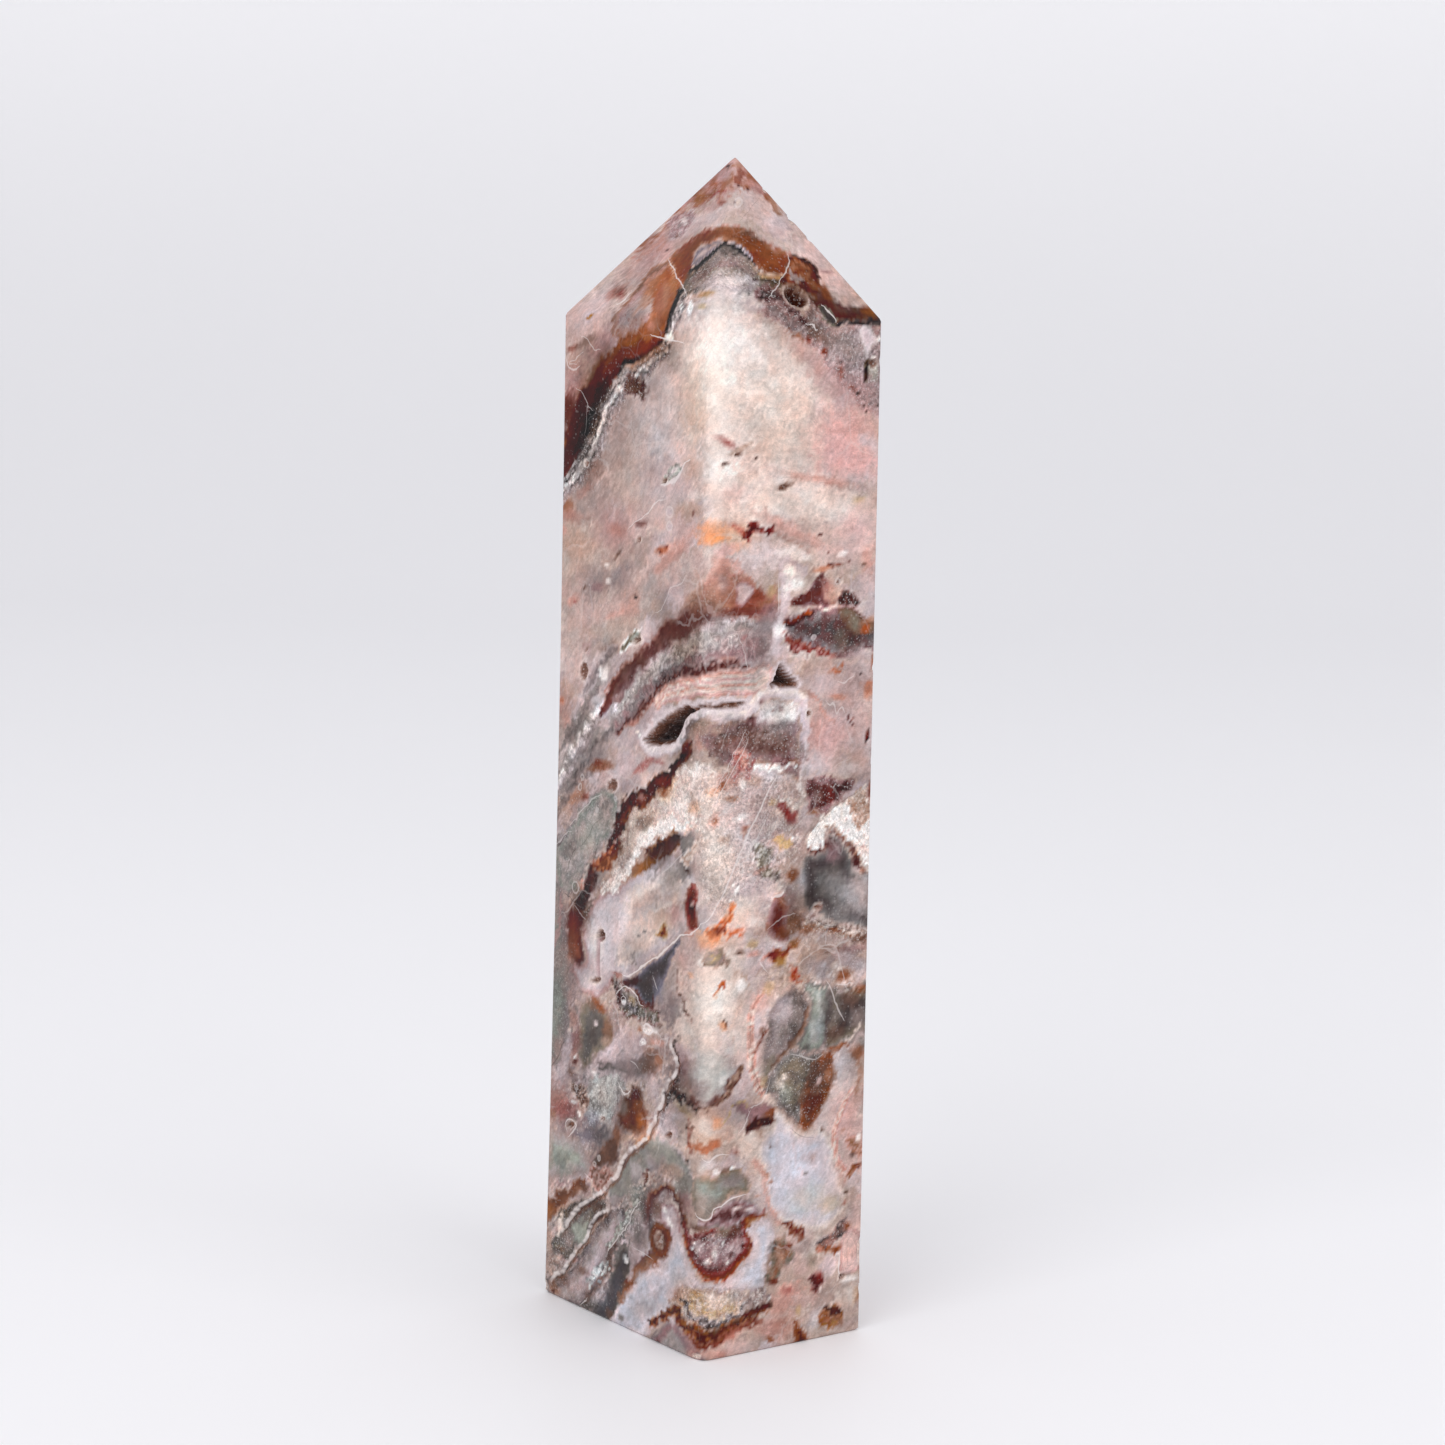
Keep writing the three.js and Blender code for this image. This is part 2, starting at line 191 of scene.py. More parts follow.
def path_distance(across: Array, height: Array, path: Array) -> tuple[Array, Array, Array, Array]:
    """How each point lies to an open path: the nearest of its distances to the straight pieces.

    Args:
        across: First chart coordinate of each point.
        height: Second chart coordinate.
        path: Points of the path, with the half width as a third column.

    Returns:
        The distance, the same with a minus on the path's right side, the length along the path
        to the nearest place, and the half width there.
    """
    nearest = np.full(len(across), 1e18)
    side = np.ones(len(across))
    along = np.zeros(len(across))
    half = np.zeros(len(across))
    walked = 0.0
    for start, end in zip(path[:-1], path[1:]):
        run, rise = end[0] - start[0], end[1] - start[1]
        length = max(math.hypot(run, rise), 1e-6)
        share = ((across - start[0]) * run + (height - start[1]) * rise) / length**2
        share = np.clip(share, 0, 1)
        off_s = across - start[0] - share * run
        off_z = height - start[1] - share * rise
        gap = off_s**2 + off_z**2
        closer = gap < nearest
        nearest = np.where(closer, gap, nearest)
        side = np.where(closer, np.sign(run * off_z - rise * off_s + 1e-12), side)
        along = np.where(closer, walked + share * length, along)
        half = np.where(closer, lerp(start[2], end[2], share), half)
        walked += length
    distance = np.sqrt(nearest)
    return distance, distance * side, along, half


# Form of the stone


@dataclass(frozen=True)
class Section:
    """Places of the four ground faces at one height, in millimetres."""

    left: float
    right: float
    front: float
    back: float


@dataclass(frozen=True)
class TowerForm:
    """The ground and polished form of the stone, with the same driving sizes as its solid."""

    height: float = 200.0
    shoulder: float = 173.2
    base: Section = Section(-17.0, 17.0, -23.8, 23.8)
    top: Section = Section(-18.0, 17.0, -21.3, 22.1)
    back_bow: float = 0.65
    tip: tuple[float, float] = (0.8, -0.6)
    tip_blunting: float = 0.3
    crown: float = 0.25
    front_radius: float = 2.2
    right_radius: float = 0.5
    back_radius: float = 1.2
    left_radius: float = 0.6
    point_radius: float = 0.45
    shoulder_softening: float = 0.8
    base_chamfer: float = 0.4
    most_rounding: float = 0.45
    crown_start: tuple[float, float] = (-20.0, 40.0)
    crown_end: float = 150.0

    def faces(self, height: Array) -> tuple[Array, Array, Array, Array]:
        """Places of the left, right, front and back face at each height: straight between base
        and shoulder, the back one bowed inwards by a parabola, then straight to the tip.

        Args:
            height: Heights in millimetres.

        Returns:
            Four arrays: left, right, front, back.
        """
        t = np.clip(height / self.shoulder, 0.0, 1.0)
        closing = (height - self.shoulder) / (self.height + self.tip_blunting - self.shoulder)
        closing = np.clip(closing, 0.0, 1.0)
        shaft = [
            lerp(self.base.left, self.top.left, t),
            lerp(self.base.right, self.top.right, t),
            lerp(self.base.front, self.top.front, t),
            lerp(self.base.back, self.top.back, t) - self.back_bow * 4.0 * t * (1.0 - t),
        ]
        ends = [self.tip[0], self.tip[0], self.tip[1], self.tip[1]]
        left, right, front, back = (lerp(s, e, closing) for s, e in zip(shaft, ends))
        return left, right, front, back

    def widths(self, height: Array) -> tuple[Array, Array]:
        """Widths of the wide face and the narrow face at each height."""
        left, right, front, back = self.faces(height)
        return back - front, right - left

    def radii(self, height: Array) -> tuple[Array, Array, Array, Array]:
        """Rounding of the front, right, back and left edge: the shaft's own below the shoulder,
        one small radius above it, turned from one to the other over a short height."""
        low = self.shoulder - self.shoulder_softening
        change = smoothstep(low, self.shoulder + self.shoulder_softening, height)
        left, right, front, back = self.faces(height)
        most = self.most_rounding * np.minimum(right - left, back - front)
        own = (self.front_radius, self.right_radius, self.back_radius, self.left_radius)
        first, second, third, fourth = (
            np.minimum(lerp(radius, self.point_radius, change), most) for radius in own
        )
        return first, second, third, fourth

    def outside(self, face: Array, share: Array, height: Array) -> Array:
        """Points of the polished outside. A level section is a rectangle with its corners
        replaced by quarter circles and its sides pushed out by a parabola.

        Args:
            face: Which face, counter-clockwise from above: 0 narrow front, 1 wide back,
                2 narrow back, 3 wide front.
            share: Share of the way along that face, from one crisp corner to the next.
            height: Height of each point.

        Returns:
            Points in millimetres, one row each.
        """
        left, right, front, back = self.faces(height)
        corner_x = np.stack([left, right, right, left])
        corner_y = np.stack([front, front, back, back])
        radii = np.stack(self.radii(height))
        index = np.arange(len(face))
        following = (face + 1) % 4
        start = np.stack([corner_x[face, index], corner_y[face, index]], axis=1)
        end = np.stack([corner_x[following, index], corner_y[following, index]], axis=1)
        width = np.linalg.norm(end - start, axis=1)
        heading = np.array([[1.0, 0.0], [0.0, 1.0], [-1.0, 0.0], [0.0, -1.0]])[face]
        outward = np.array([[0.0, -1.0], [1.0, 0.0], [0.0, 1.0], [-1.0, 0.0]])[face]
        from_start = share * width
        from_end = width - from_start
        flat = start + heading * from_start[:, None]
        rise = smoothstep(*self.crown_start, height)
        rise = rise * smoothstep(self.shoulder, self.crown_end, height)
        crown = self.crown * rise * 4.0 * share * (1.0 - share)
        flat = flat + outward * crown[:, None]
        near_radius = radii[face, index]
        far_radius = radii[following, index]
        for radius, distance, corner, along in (
            (near_radius, from_start, start, heading),
            (far_radius, from_end, end, -heading),
        ):
            centre = corner + along * radius[:, None] - outward * radius[:, None]
            turn = math.pi / 4.0 * (1.0 + np.clip(distance / radius, 0.0, 1.0))
            arc = centre + radius[:, None] * (
                outward * np.sin(turn)[:, None] - along * np.cos(turn)[:, None]
            )
            flat = np.where((distance < radius)[:, None], arc, flat)
        chamfer = self.base_chamfer * smoothstep(self.base_chamfer, 0.0, height)
        middle = np.stack([(left + right) / 2.0, (front + back) / 2.0], axis=1)
        half = np.stack([(right - left) / 2.0, (back - front) / 2.0], axis=1)
        flat = middle + (flat - middle) * (1.0 - chamfer[:, None] / half)
        return np.column_stack([flat, height])


# Pigments, markings and the canvas


class Pigment(Enum):
    """Colours of the stone, picked from the photograph, as sRGB hex."""

    MILK = "#F3ECE9"
    # Not the stone's own colour: the painted highlight of the rounded front edge
    IVORY = "#F4E9E1"
    WHITE = "#FBF8F6"
    CREAM = "#E4D6CE"
    LILAC = "#C9BBC0"
    HAZE = "#8D899A"
    PALE_LILAC = "#D6CCD0"
    BLUE_MILK = "#CDCDD8"
    PINK = "#CDB2AF"
    BLUSH = "#D8ADAB"
    SALMON = "#D4A095"
    PEACH = "#F1A375"
    # Not the stone's own colour: a painted orange glow of light in the front edge
    GLOW = "#F6A066"
    ROSE = "#B58F8E"
    DUSK = "#A07F83"
    CLAY = "#B6867C"
    BEIGE = "#C2AEA5"
    SAND = "#BEA091"
    TAUPE = "#A79592"
    DOVE = "#B0A7A6"
    GREIGE = "#948789"
    PEWTER = "#8A8684"
    SAGE = "#8F948D"
    MINT = "#A6AFA6"
    FROST = "#C3C6C4"
    OLIVE = "#8A8072"
    SLATE = "#6B6765"
    SMOKE = "#585254"
    STORM = "#5B5A60"
    TEAL_DARK = "#303235"
    PITCH = "#241917"
    BARK = "#3F231A"
    UMBER = "#63331C"
    RUST = "#98593C"
    AMBER = "#A86A3C"
    BURNT = "#85461C"
    COPPER = "#A5683F"
    OCHRE = "#B8874A"
    KHAKI = "#C9AE86"
    COCOA = "#7A5B50"
    FAWN = "#A3745D"
    WINE = "#552E30"
    PLUM = "#6F4A4C"
    MAROON = "#6D3B37"
    BRICK = "#8C4638"
    RED = "#9C4442"
    EMBER = "#C4623A"

    @property
    def shade(self) -> Array:
        """The colour as three sRGB shares from 0 to 1."""
        return np.array([int(self.value[i : i + 2], 16) / 255.0 for i in (1, 3, 5)])


@dataclass(frozen=True)
class GrainMix:
    """How much of each fine texture lies in a marking, from 0 to 1."""

    sugar: float = 0.0
    silk: float = 0.0
    specks: float = 0.0
    lines: float = 0.0
    rough: float = 0.0
    sparks: float = 0.16
    crazing: float = 0.35


class Grain(Enum):
    """Named fine textures: plain polish, quartz sugar, silky fibres, rust specks, fine lines."""

    PLAIN = GrainMix()
    SUGAR = GrainMix(sugar=1.0, rough=0.35)
    FAINT_SUGAR = GrainMix(sugar=0.5, rough=0.12)
    SILK = GrainMix(silk=1.0, sugar=0.15)
    FAINT_SILK = GrainMix(silk=0.5)
    SPECKS = GrainMix(specks=1.0)
    FAINT_SPECKS = GrainMix(specks=0.45)
    FAINT_LINES = GrainMix(lines=0.5)
    CRYSTALS = GrainMix(sugar=1.0, silk=0.25, rough=0.6)
    CLEAR = GrainMix(sparks=0.05, crazing=0.12)
    BROKEN = GrainMix(sugar=0.15, sparks=0.3, crazing=0.6)
    SPARKLING = GrainMix(sugar=0.5, sparks=0.4, crazing=0.9, rough=0.12)


# Stops of (distance or share, pigment), and a second pigment with its share and its noise's index
Shades = tuple[tuple[float, Pigment], ...]
Mottle = tuple[Pigment, float, int]


@dataclass(frozen=True)
class Wash:
    """A soft oval of colour.

    across, height: its centre. reach: half length and half height. turn: degrees.
    """

    across: float
    height: float
    reach: tuple[float, float]
    pigment: Pigment
    strength: float = 0.8
    turn: float = 0.0


@dataclass(frozen=True)
class ToneAndShade:
    """A soft oval that darkens or lightens what is painted, with its own markings kept. Round the
    hollows it is painted shade.

    across, height: its centre. reach: half length and half height. gain: lightness, under 1 for
    darker. warmth: how much redder, or bluer where it is negative. turn: degrees.
    """

    across: float
    height: float
    reach: tuple[float, float]
    gain: float
    warmth: float = 0.0
    turn: float = 0.0


def ovals(kind: type[Wash] | type[ToneAndShade], *rows: tuple) -> tuple[Wash | ToneAndShade, ...]:
    """Soft ovals from rows.

    Args:
        kind: Wash or Depth.
        *rows: Across, height, half length, half height and then the kind's other fields in order.

    Returns:
        The ovals, in the order of their rows.
    """
    return tuple(kind(row[0], row[1], row[2:4], *row[4:]) for row in rows)


@dataclass(frozen=True)
class Patch:
    """A closed area. Its shades change with the distance in from its outline, in millimetres."""

    outline: Points
    shades: Shades
    soft: float = 0.35
    wander: float = 0.7
    strength: float = 1.0
    grain: Grain = Grain.PLAIN
    mottle: Mottle | None = None


@dataclass(frozen=True)
class Band:
    """A band along a path of (across, height, half width). Its shades run from -1 on the right
    side of the path to 1 on the left side."""

    path: Points
    shades: Shades
    soft: float = 0.35
    wander: float = 0.7
    strength: float = 1.0
    grain: Grain = Grain.PLAIN
    mottle: Mottle | None = None


@dataclass(frozen=True)
class Vein:
    """A thin line of (across, height, half width), white or dark, with clean edges."""

    path: Points
    white: bool = True
    wander: float = 0.35
    strength: float = 1.0


@dataclass(frozen=True)
class Bubble:
    """A small round ring of white quartz with its radius, and a darker or lighter middle."""

    across: float
    height: float
    radius: float
    middle: Pigment = Pigment.TAUPE


@dataclass(frozen=True)
class Cloud:
    """A layer of soft cloudy streaks over the bare ground: where the noise passes its start."""

    pigment: Pigment
    turn: float
    length: float
    width: float
    seed: int
    start: float
    strength: float


@dataclass(frozen=True)
class Streaks:
    """Cloudy streaks inside a closed area, laid over whatever is there, and its fine texture."""

    outline: Points
    layers: tuple[Cloud, ...]
    soft: float = 2.0
    grain: Grain | None = None


@dataclass(frozen=True)
class Hollow:
    """A natural cavity: its outline, its depth, the width of its wall and of its white rim. Its inside
    colours darken inward as painted shade.
    """

    outline: Points
    depth: float
    wall: float
    rim: float = 0.0
    inside: Shades = ((0.0, Pigment.COCOA), (1.2, Pigment.SLATE), (2.4, Pigment.BARK))


# Edges of markings, against the softness that each asks for
SOFTENING = 0.66
# Light and dark are spread about the pivot, within the limits, and each height has its lightness
# on the wide face and on the narrow one: painted shade, darker low down and most on the wide face
CONTRAST = 1.2
CONTRAST_PIVOT = 0.66
CONTRAST_LIMITS = (0.84, 1.2)
PAINTED_SHADE_HEIGHTS = (0.0, 60.0, 110.0, 200.0)
WIDE_FACE_PAINTED_SHADE = (0.89, 0.90, 0.955, 0.985)
NARROW_FACE_PAINTED_SHADE = (0.935, 0.93, 0.955, 0.99)
# Size in millimetres and seed of each mottle noise, and how strongly it colours
MOTTLE_NOISES = ((1.1, 53), (2.2, 61), (4.5, 71), (0.7, 83))
MOTTLE_STRENGTH = (0.65, 0.7, 0.7, 0.55)
# Noise value where a mottle of share 0 sets in, how far share 1 lowers it, and its softness
MOTTLE_NONE = 0.55
MOTTLE_SPAN = 1.1
MOTTLE_SOFT = 0.5
# The noises that markings wander by: seeds across and up, size, share in the sum
COARSE_WANDER = ((11, 23), 3.0, 0.72)
FINE_WANDER = ((31, 43), 0.9, 0.5)
# How far the streaky noise is bent by them, in millimetres
STREAK_BEND = 2.2
# Of the large and the small marbling: direction in degrees, sizes along and across, and seed,
# first for the lower part of the wide face and then for the rest
LARGE_MARBLE = ((38.0, 9.0, 3.6, 101), (-8.0, 8.0, 4.4, 103))
SMALL_MARBLE = ((38.0, 3.4, 1.3, 107), (60.0, 2.6, 1.5, 109))
# Lightness given by the large and the small marbling and by the first mottle noise, and warmth
# given by its third and its second
MARBLE_LIGHT = (0.06, 0.05, 0.012)
MARBLE_WARMTH = (0.022, 0.014)
WARM_TINT = np.array([1.0, -0.35, -0.9])
# A distance beyond every line
FAR = 9.0
# Distance that a thin line's half width is scaled to
LINE_SCALE = 0.1
# Distances in millimetres over which a line, and its end, fades
LINE_FADE = (1.6, 0.8)
LINE_END_FADE = (0.7, 0.1)
# Half width and place of the painted highlight in the front edge, and its most
EDGE_HIGHLIGHT_HALF = 2.3
EDGE_HIGHLIGHT_ACROSS = 0.6
EDGE_HIGHLIGHT_MOST = 0.8
# How far the outlines of pits and hollows wander, in millimetres
PIT_STRAY = 0.22
HOLLOW_STRAY = 0.25
CRACK_STRAY = 0.3
# Sides of the crack where its pale bank and its painted shadow lie, and half widths of their lines
BANK_SIDE = 0.45
SHADOW_SIDE = 0.4
DARK_LINE_SIDE = 0.1
BANK_LINE_HALF = 0.27
DARK_LINE_HALF = 0.13


class Canvas:
    """The stone's outside as a list of points that markings are painted on, one after another."""

    def __init__(self, across: Array, height: Array, places: Array, ground: Pigment) -> None:
        """Sets up the layers and the noise fields.

        Args:
            across: Chart distance of each point from the front edge.
            height: Chart height of each point.
            places: The same points in space, in millimetres, which the noise is read at.
            ground: Colour of the bare stone.
        """
        count = len(across)
        self.across = across
        self.height = height
        self.paint = np.tile(ground.shade, (count, 1))
        self.grain = {
            item.name: np.full(count, item.default) for item in fields(GrainMix)
        }
        self.course = np.zeros(count)
        self.along = np.zeros(count)
        self.white = np.full(count, FAR)
        self.white_strength = np.zeros(count)
        self.dark = np.full(count, FAR)
        self.dark_strength = np.zeros(count)
        self.depth = np.zeros(count)
        seeds, size, coarse_share = COARSE_WANDER
        coarse = [layered_noise(places, size, seed) for seed in seeds]
        seeds, size, fine_share = FINE_WANDER
        fine = [layered_noise(places, size, seed, 2) for seed in seeds]
        self.wander = np.stack(
            [coarse_share * c + fine_share * f for c, f in zip(coarse, fine)], axis=1
        )
        self.mottles = [layered_noise(places, size, seed, 3) for size, seed in MOTTLE_NOISES]

    def flow(
        self, turn: float, length: float, width: float, seed: int, near: Array | slice = slice(None)
    ) -> Array:
        """Streaky noise: layered noise read on the chart, turned and stretched along the streaks.

        Args:
            turn: Direction of the streaks in degrees from level.
            length: Size of the noise along them, in millimetres.
            width: Size of the noise across them.
            seed: Which noise field to use.
            near: Which canvas points to read it at.

        Returns:
            One value for each of those points.
        """
        angle = math.radians(turn)
        bent_across = self.across[near] + STREAK_BEND * self.wander[near, 0]
        bent_height = self.height[near] + STREAK_BEND * self.wander[near, 1]
        along = bent_across * math.cos(angle) + bent_height * math.sin(angle)
        over = bent_height * math.cos(angle) - bent_across * math.sin(angle)
        places = np.column_stack([along / length, over / width, np.zeros(len(along))])
        return layered_noise(places, 1.0, seed, 3)

    def clouds(self, layers: tuple[Cloud, ...]) -> None:
        """Paints soft clouds of colour over everything: each where its own noise is high."""
        for layer in layers:
            noise = self.flow(layer.turn, layer.length, layer.width, layer.seed)
            cover = layer.strength * smoothstep(layer.start, layer.start + 0.9, noise)
            self.paint = lerp(self.paint, layer.pigment.shade, cover[:, None])

    def streaks(self, mark: Streaks) -> None:
        """Paints layers of cloud inside a closed area, fading out over its soft edge."""
        outline = smooth_path(mark.outline, closed=True)
        near = self.near(outline, mark.soft + 1.0)
        inside = inside_distance(self.across[near], self.height[near], outline)
        room = smoothstep(-mark.soft, mark.soft, inside + 0.5 * mark.soft * self.mottles[1][near])
        for layer in mark.layers:
            noise = self.flow(layer.turn, layer.length, layer.width, layer.seed, near)
            cover = layer.strength * smoothstep(layer.start, layer.start + 0.7, noise) * room
            self.lay(near, layer.pigment.shade, cover)
        if mark.grain is not None:
            self.texture(near, room, mark.grain, inside, inside)

    def paint_edge_highlight(self) -> None:
        """Lightens the rounded front edge with a painted highlight, the light that gathers in the
        translucent stone: by its nearness to the edge, by a share for each height and by a slow noise."""
        levels, shares = zip(*EDGE_HIGHLIGHT_SHARES)
        share = np.interp(self.height, levels, shares)
        ripple = 1.0 + 0.3 * self.mottles[2]
        cover = share * ripple * np.exp(-(((self.across - EDGE_HIGHLIGHT_ACROSS) / EDGE_HIGHLIGHT_HALF) ** 2))
        cover = np.clip(cover, 0.0, EDGE_HIGHLIGHT_MOST)
        self.paint = lerp(self.paint, Pigment.IVORY.shade, cover[:, None])
        self.grain["crazing"] *= 1.0 - np.clip(2.0 * cover, 0.0, 0.9)

    def marble(self) -> None:
        """Gives every marking its inner clouding: lightness and warmth drift with streaky noise of
        three sizes, steep on the wide face and near level higher up. Then light and dark are spread
        apart, and each height gets its own lightness, a painted shade that is darker low down and most
        on the wide face."""
        upper = smoothstep(110.0, 150.0, self.height)
        right = smoothstep(-2.0, 4.0, self.across)
        share = np.maximum(upper, right)
        large = lerp(self.flow(*LARGE_MARBLE[0]), self.flow(*LARGE_MARBLE[1]), share)
        small = lerp(self.flow(*SMALL_MARBLE[0]), self.flow(*SMALL_MARBLE[1]), share)
        by_large, by_small, by_mottle = MARBLE_LIGHT
        light = 1.0 + by_large * large + by_small * small + by_mottle * self.mottles[0]
        self.paint = self.paint * light[:, None]
        warmth = MARBLE_WARMTH[0] * self.mottles[2] + MARBLE_WARMTH[1] * self.mottles[1]
        self.paint = self.paint * (1.0 + warmth[:, None] * WARM_TINT)
        self.paint = np.clip(self.paint, 0.01, 1.0)
        tone = self.paint.mean(axis=1)
        spread = (CONTRAST_PIVOT + CONTRAST * (tone - CONTRAST_PIVOT)).clip(0.03, 1.0) / tone
        spread = spread.clip(*CONTRAST_LIMITS)
        # Painted shade: darker low down, most on the wide face
        left = np.interp(self.height, PAINTED_SHADE_HEIGHTS, WIDE_FACE_PAINTED_SHADE)
        level = lerp(left, np.interp(self.height, PAINTED_SHADE_HEIGHTS, NARROW_FACE_PAINTED_SHADE), right)
        self.paint = self.paint * (spread * level)[:, None]

    def near(self, points: Array, margin: float) -> Array:
        """Indices of the canvas points in the box of the given points, widened by a margin."""
        low = points[:, :2].min(axis=0) - margin
        high = points[:, :2].max(axis=0) + margin
        held = (self.across > low[0]) & (self.across < high[0])
        held &= (self.height > low[1]) & (self.height < high[1])
        return np.nonzero(held)[0]

    def lay(self, near: Array, colour: Array, cover: Array) -> None:
        """Mixes a colour into the paint where it covers."""
        self.paint[near] = lerp(self.paint[near], colour, cover[:, None])

    def shade_at(self, shades: Shades, where: Array) -> Array:
        """Colour of a run of shades at each place, mixed straight between two shades."""
        stops = np.array([stop for stop, _ in shades])
        tones = np.array([pigment.shade for _, pigment in shades])
        return np.stack([np.interp(where, stops, tones[:, k]) for k in range(3)], axis=1)

    def texture(self, near: Array, cover: Array, grain: Grain, course: Array, along: Array) -> None:
        """Gives a covered area its fine texture, and the course that its lines follow."""
        for name, field_now in self.grain.items():
            field_now[near] = lerp(field_now[near], getattr(grain.value, name), cover)
        if grain.value.silk > 0.0 or grain.value.lines > 0.0:
            held = cover > 0.3
            self.course[near[held]] = course[held]
            self.along[near[held]] = along[held]

    def mottled(self, mark: Patch | Band, near: Array, colour: Array) -> Array:
        """The colour with its mottle: a second pigment where the noise is high."""
        if mark.mottle is None:
            return colour
        pigment, amount, size = mark.mottle
        middle = MOTTLE_NONE - MOTTLE_SPAN * amount
        rise = smoothstep(middle - MOTTLE_SOFT, middle + MOTTLE_SOFT, self.mottles[size][near])
        return lerp(colour, pigment.shade, (MOTTLE_STRENGTH[size] * rise)[:, None])

    def oval(
        self, near: Array, mark: tuple[float, ...], stray: float
    ) -> tuple[Array, Array]:
        """How far points lie from an oval's centre along its two axes, each as a share of its half
        size: the offset, bent by the wandering noise, turned into the oval's own axes.

        Args:
            near: Indices of the canvas points.
            mark: Across, height, half length, half height and turn in degrees of the oval.
            stray: How far the noise bends it, in millimetres.

        Returns:
            The shares along its length and its height.
        """
        turn = math.radians(mark[4])
        run = self.across[near] + stray * self.wander[near, 0] - mark[0]
        rise = self.height[near] + stray * self.wander[near, 1] - mark[1]
        first = (run * math.cos(turn) + rise * math.sin(turn)) / mark[2]
        second = (rise * math.cos(turn) - run * math.sin(turn)) / mark[3]
        return first, second

    def wash(self, mark: Wash) -> None:
        """Paints a soft oval with a frayed edge: its cover falls with the scaled distance, which a
        noise stretches and shrinks, and falls faster for a small oval."""
        near = self.near(np.array([[mark.across, mark.height]]), 2.2 * max(mark.reach) + 0.5)
        stray = min(0.9, 0.4 * min(mark.reach))
        first, second = self.oval(near, (mark.across, mark.height, *mark.reach, mark.turn), stray)
        away = (first**2 + second**2) * (1.0 + 0.4 * self.mottles[0][near])
        crisp = np.interp(min(mark.reach), (1.0, 4.0), (1.8, 1.2))
        cover = mark.strength * np.exp(-1.15 * away.clip(0.0) ** crisp)
        self.lay(near, mark.pigment.shade, cover)

    def tone_and_shade(self, mark: ToneAndShade) -> None:
        """Multiplies the paint inside a soft oval: by the gain, and by the warmth towards red."""
        near = self.near(np.array([[mark.across, mark.height]]), 2.2 * max(mark.reach) + 0.5)
        first, second = self.oval(near, (mark.across, mark.height, *mark.reach, mark.turn), 1.0)
        cover = np.exp(-0.9 * (first**2 + second**2) ** 1.4)
        tint = mark.gain * np.array([1.0 + mark.warmth, 1.0, 1.0 - mark.warmth])
        self.paint[near] *= 1.0 + cover[:, None] * (tint - 1.0)

    def patch(self, mark: Patch) -> None:
        """Paints a closed area by the distance in from its wandering outline."""
        outline = smooth_path(mark.outline, closed=True)
        soft = SOFTENING * mark.soft
        near = self.near(outline, 3.0 * soft + 2.0 * mark.wander)
        across = self.across[near] + mark.wander * self.wander[near, 0]
        height = self.height[near] + mark.wander * self.wander[near, 1]
        inside = inside_distance(across, height, outline)
        cover = mark.strength * smoothstep(-soft, soft, inside + 0.25 * soft * self.mottles[0][near])
        colour = self.mottled(mark, near, self.shade_at(mark.shades, inside))
        self.lay(near, colour, cover)
        self.texture(near, cover, mark.grain, inside, across + height)

    def band(self, mark: Band) -> None:
        """Paints a band by the share of the way across its wandering width."""
        path = smooth_path(mark.path, closed=False)
        widest = float(path[:, 2].max())
        soft = SOFTENING * mark.soft
        near = self.near(path, widest + 3.0 * soft + 2.0 * mark.wander)
        across = self.across[near] + mark.wander * self.wander[near, 0]
        height = self.height[near] + mark.wander * self.wander[near, 1]
        distance, side, along, half = path_distance(across, height, path)
        cover = mark.strength * smoothstep(soft, -soft, distance - half)
        share = np.clip(side / np.maximum(half, 0.05), -1.2, 1.2)
        colour = self.mottled(mark, near, self.shade_at(mark.shades, share))
        self.lay(near, colour, cover)
        self.texture(near, cover, mark.grain, side, along)

    def line(self, near: Array, signed: Array, half: Array, reach: Array, mark: Vein) -> None:
        """Keeps the signed distance from a thin line where it is the nearest one so far."""
        kept, strength = (
            (self.white, self.white_strength) if mark.white else (self.dark, self.dark_strength)
        )
        scaled = signed / np.maximum(half, 0.03) * LINE_SCALE
        closer = (np.abs(scaled) < np.abs(kept[near])) & (reach > 0.01)
        kept[near[closer]] = scaled[closer]
        strength[near[closer]] = reach[closer]

    def vein(self, mark: Vein) -> None:
        """Adds a thin line: its strength fades away from it and past its ends."""
        path = smooth_path(mark.path, closed=False, steps=3)
        near = self.near(path, 2.5)
        across = self.across[near] + mark.wander * self.wander[near, 0]
        height = self.height[near] + mark.wander * self.wander[near, 1]
        distance, side, along, half = path_distance(across, height, path)
        first, last = path[1, :2] - path[0, :2], path[-1, :2] - path[-2, :2]
        before = (across - path[0, 0]) * first[0] + (height - path[0, 1]) * first[1]
        beyond = (across - path[-1, 0]) * last[0] + (height - path[-1, 1]) * last[1]
        length = along.max() + 1e-6
        ended = ((along <= 1e-9) & (before < 0)) | ((along >= length - 1e-3) & (beyond > 0))
        reach = mark.strength * smoothstep(*LINE_FADE, distance)
        reach = np.where(ended, reach * smoothstep(*LINE_END_FADE, distance), reach)
        self.line(near, side, half, reach, mark)

    def bubble(self, mark: Bubble) -> None:
        """Adds a ring: a thin white line at one radius, round a middle of its own colour."""
        near = self.near(np.array([[mark.across, mark.height]]), mark.radius + 1.4)
        run = self.across[near] - mark.across + 0.2 * self.wander[near, 0]
        rise = self.height[near] - mark.height + 0.2 * self.wander[near, 1]
        distance = np.hypot(run, rise)
        self.lay(near, mark.middle.shade, 0.7 * smoothstep(mark.radius, mark.radius - 0.5, distance))
        reach = 0.45 * smoothstep(0.9, 0.5, np.abs(distance - mark.radius))
        half = np.full(len(near), 0.16)
        self.line(near, distance - mark.radius, half, reach, Vein(path=()))

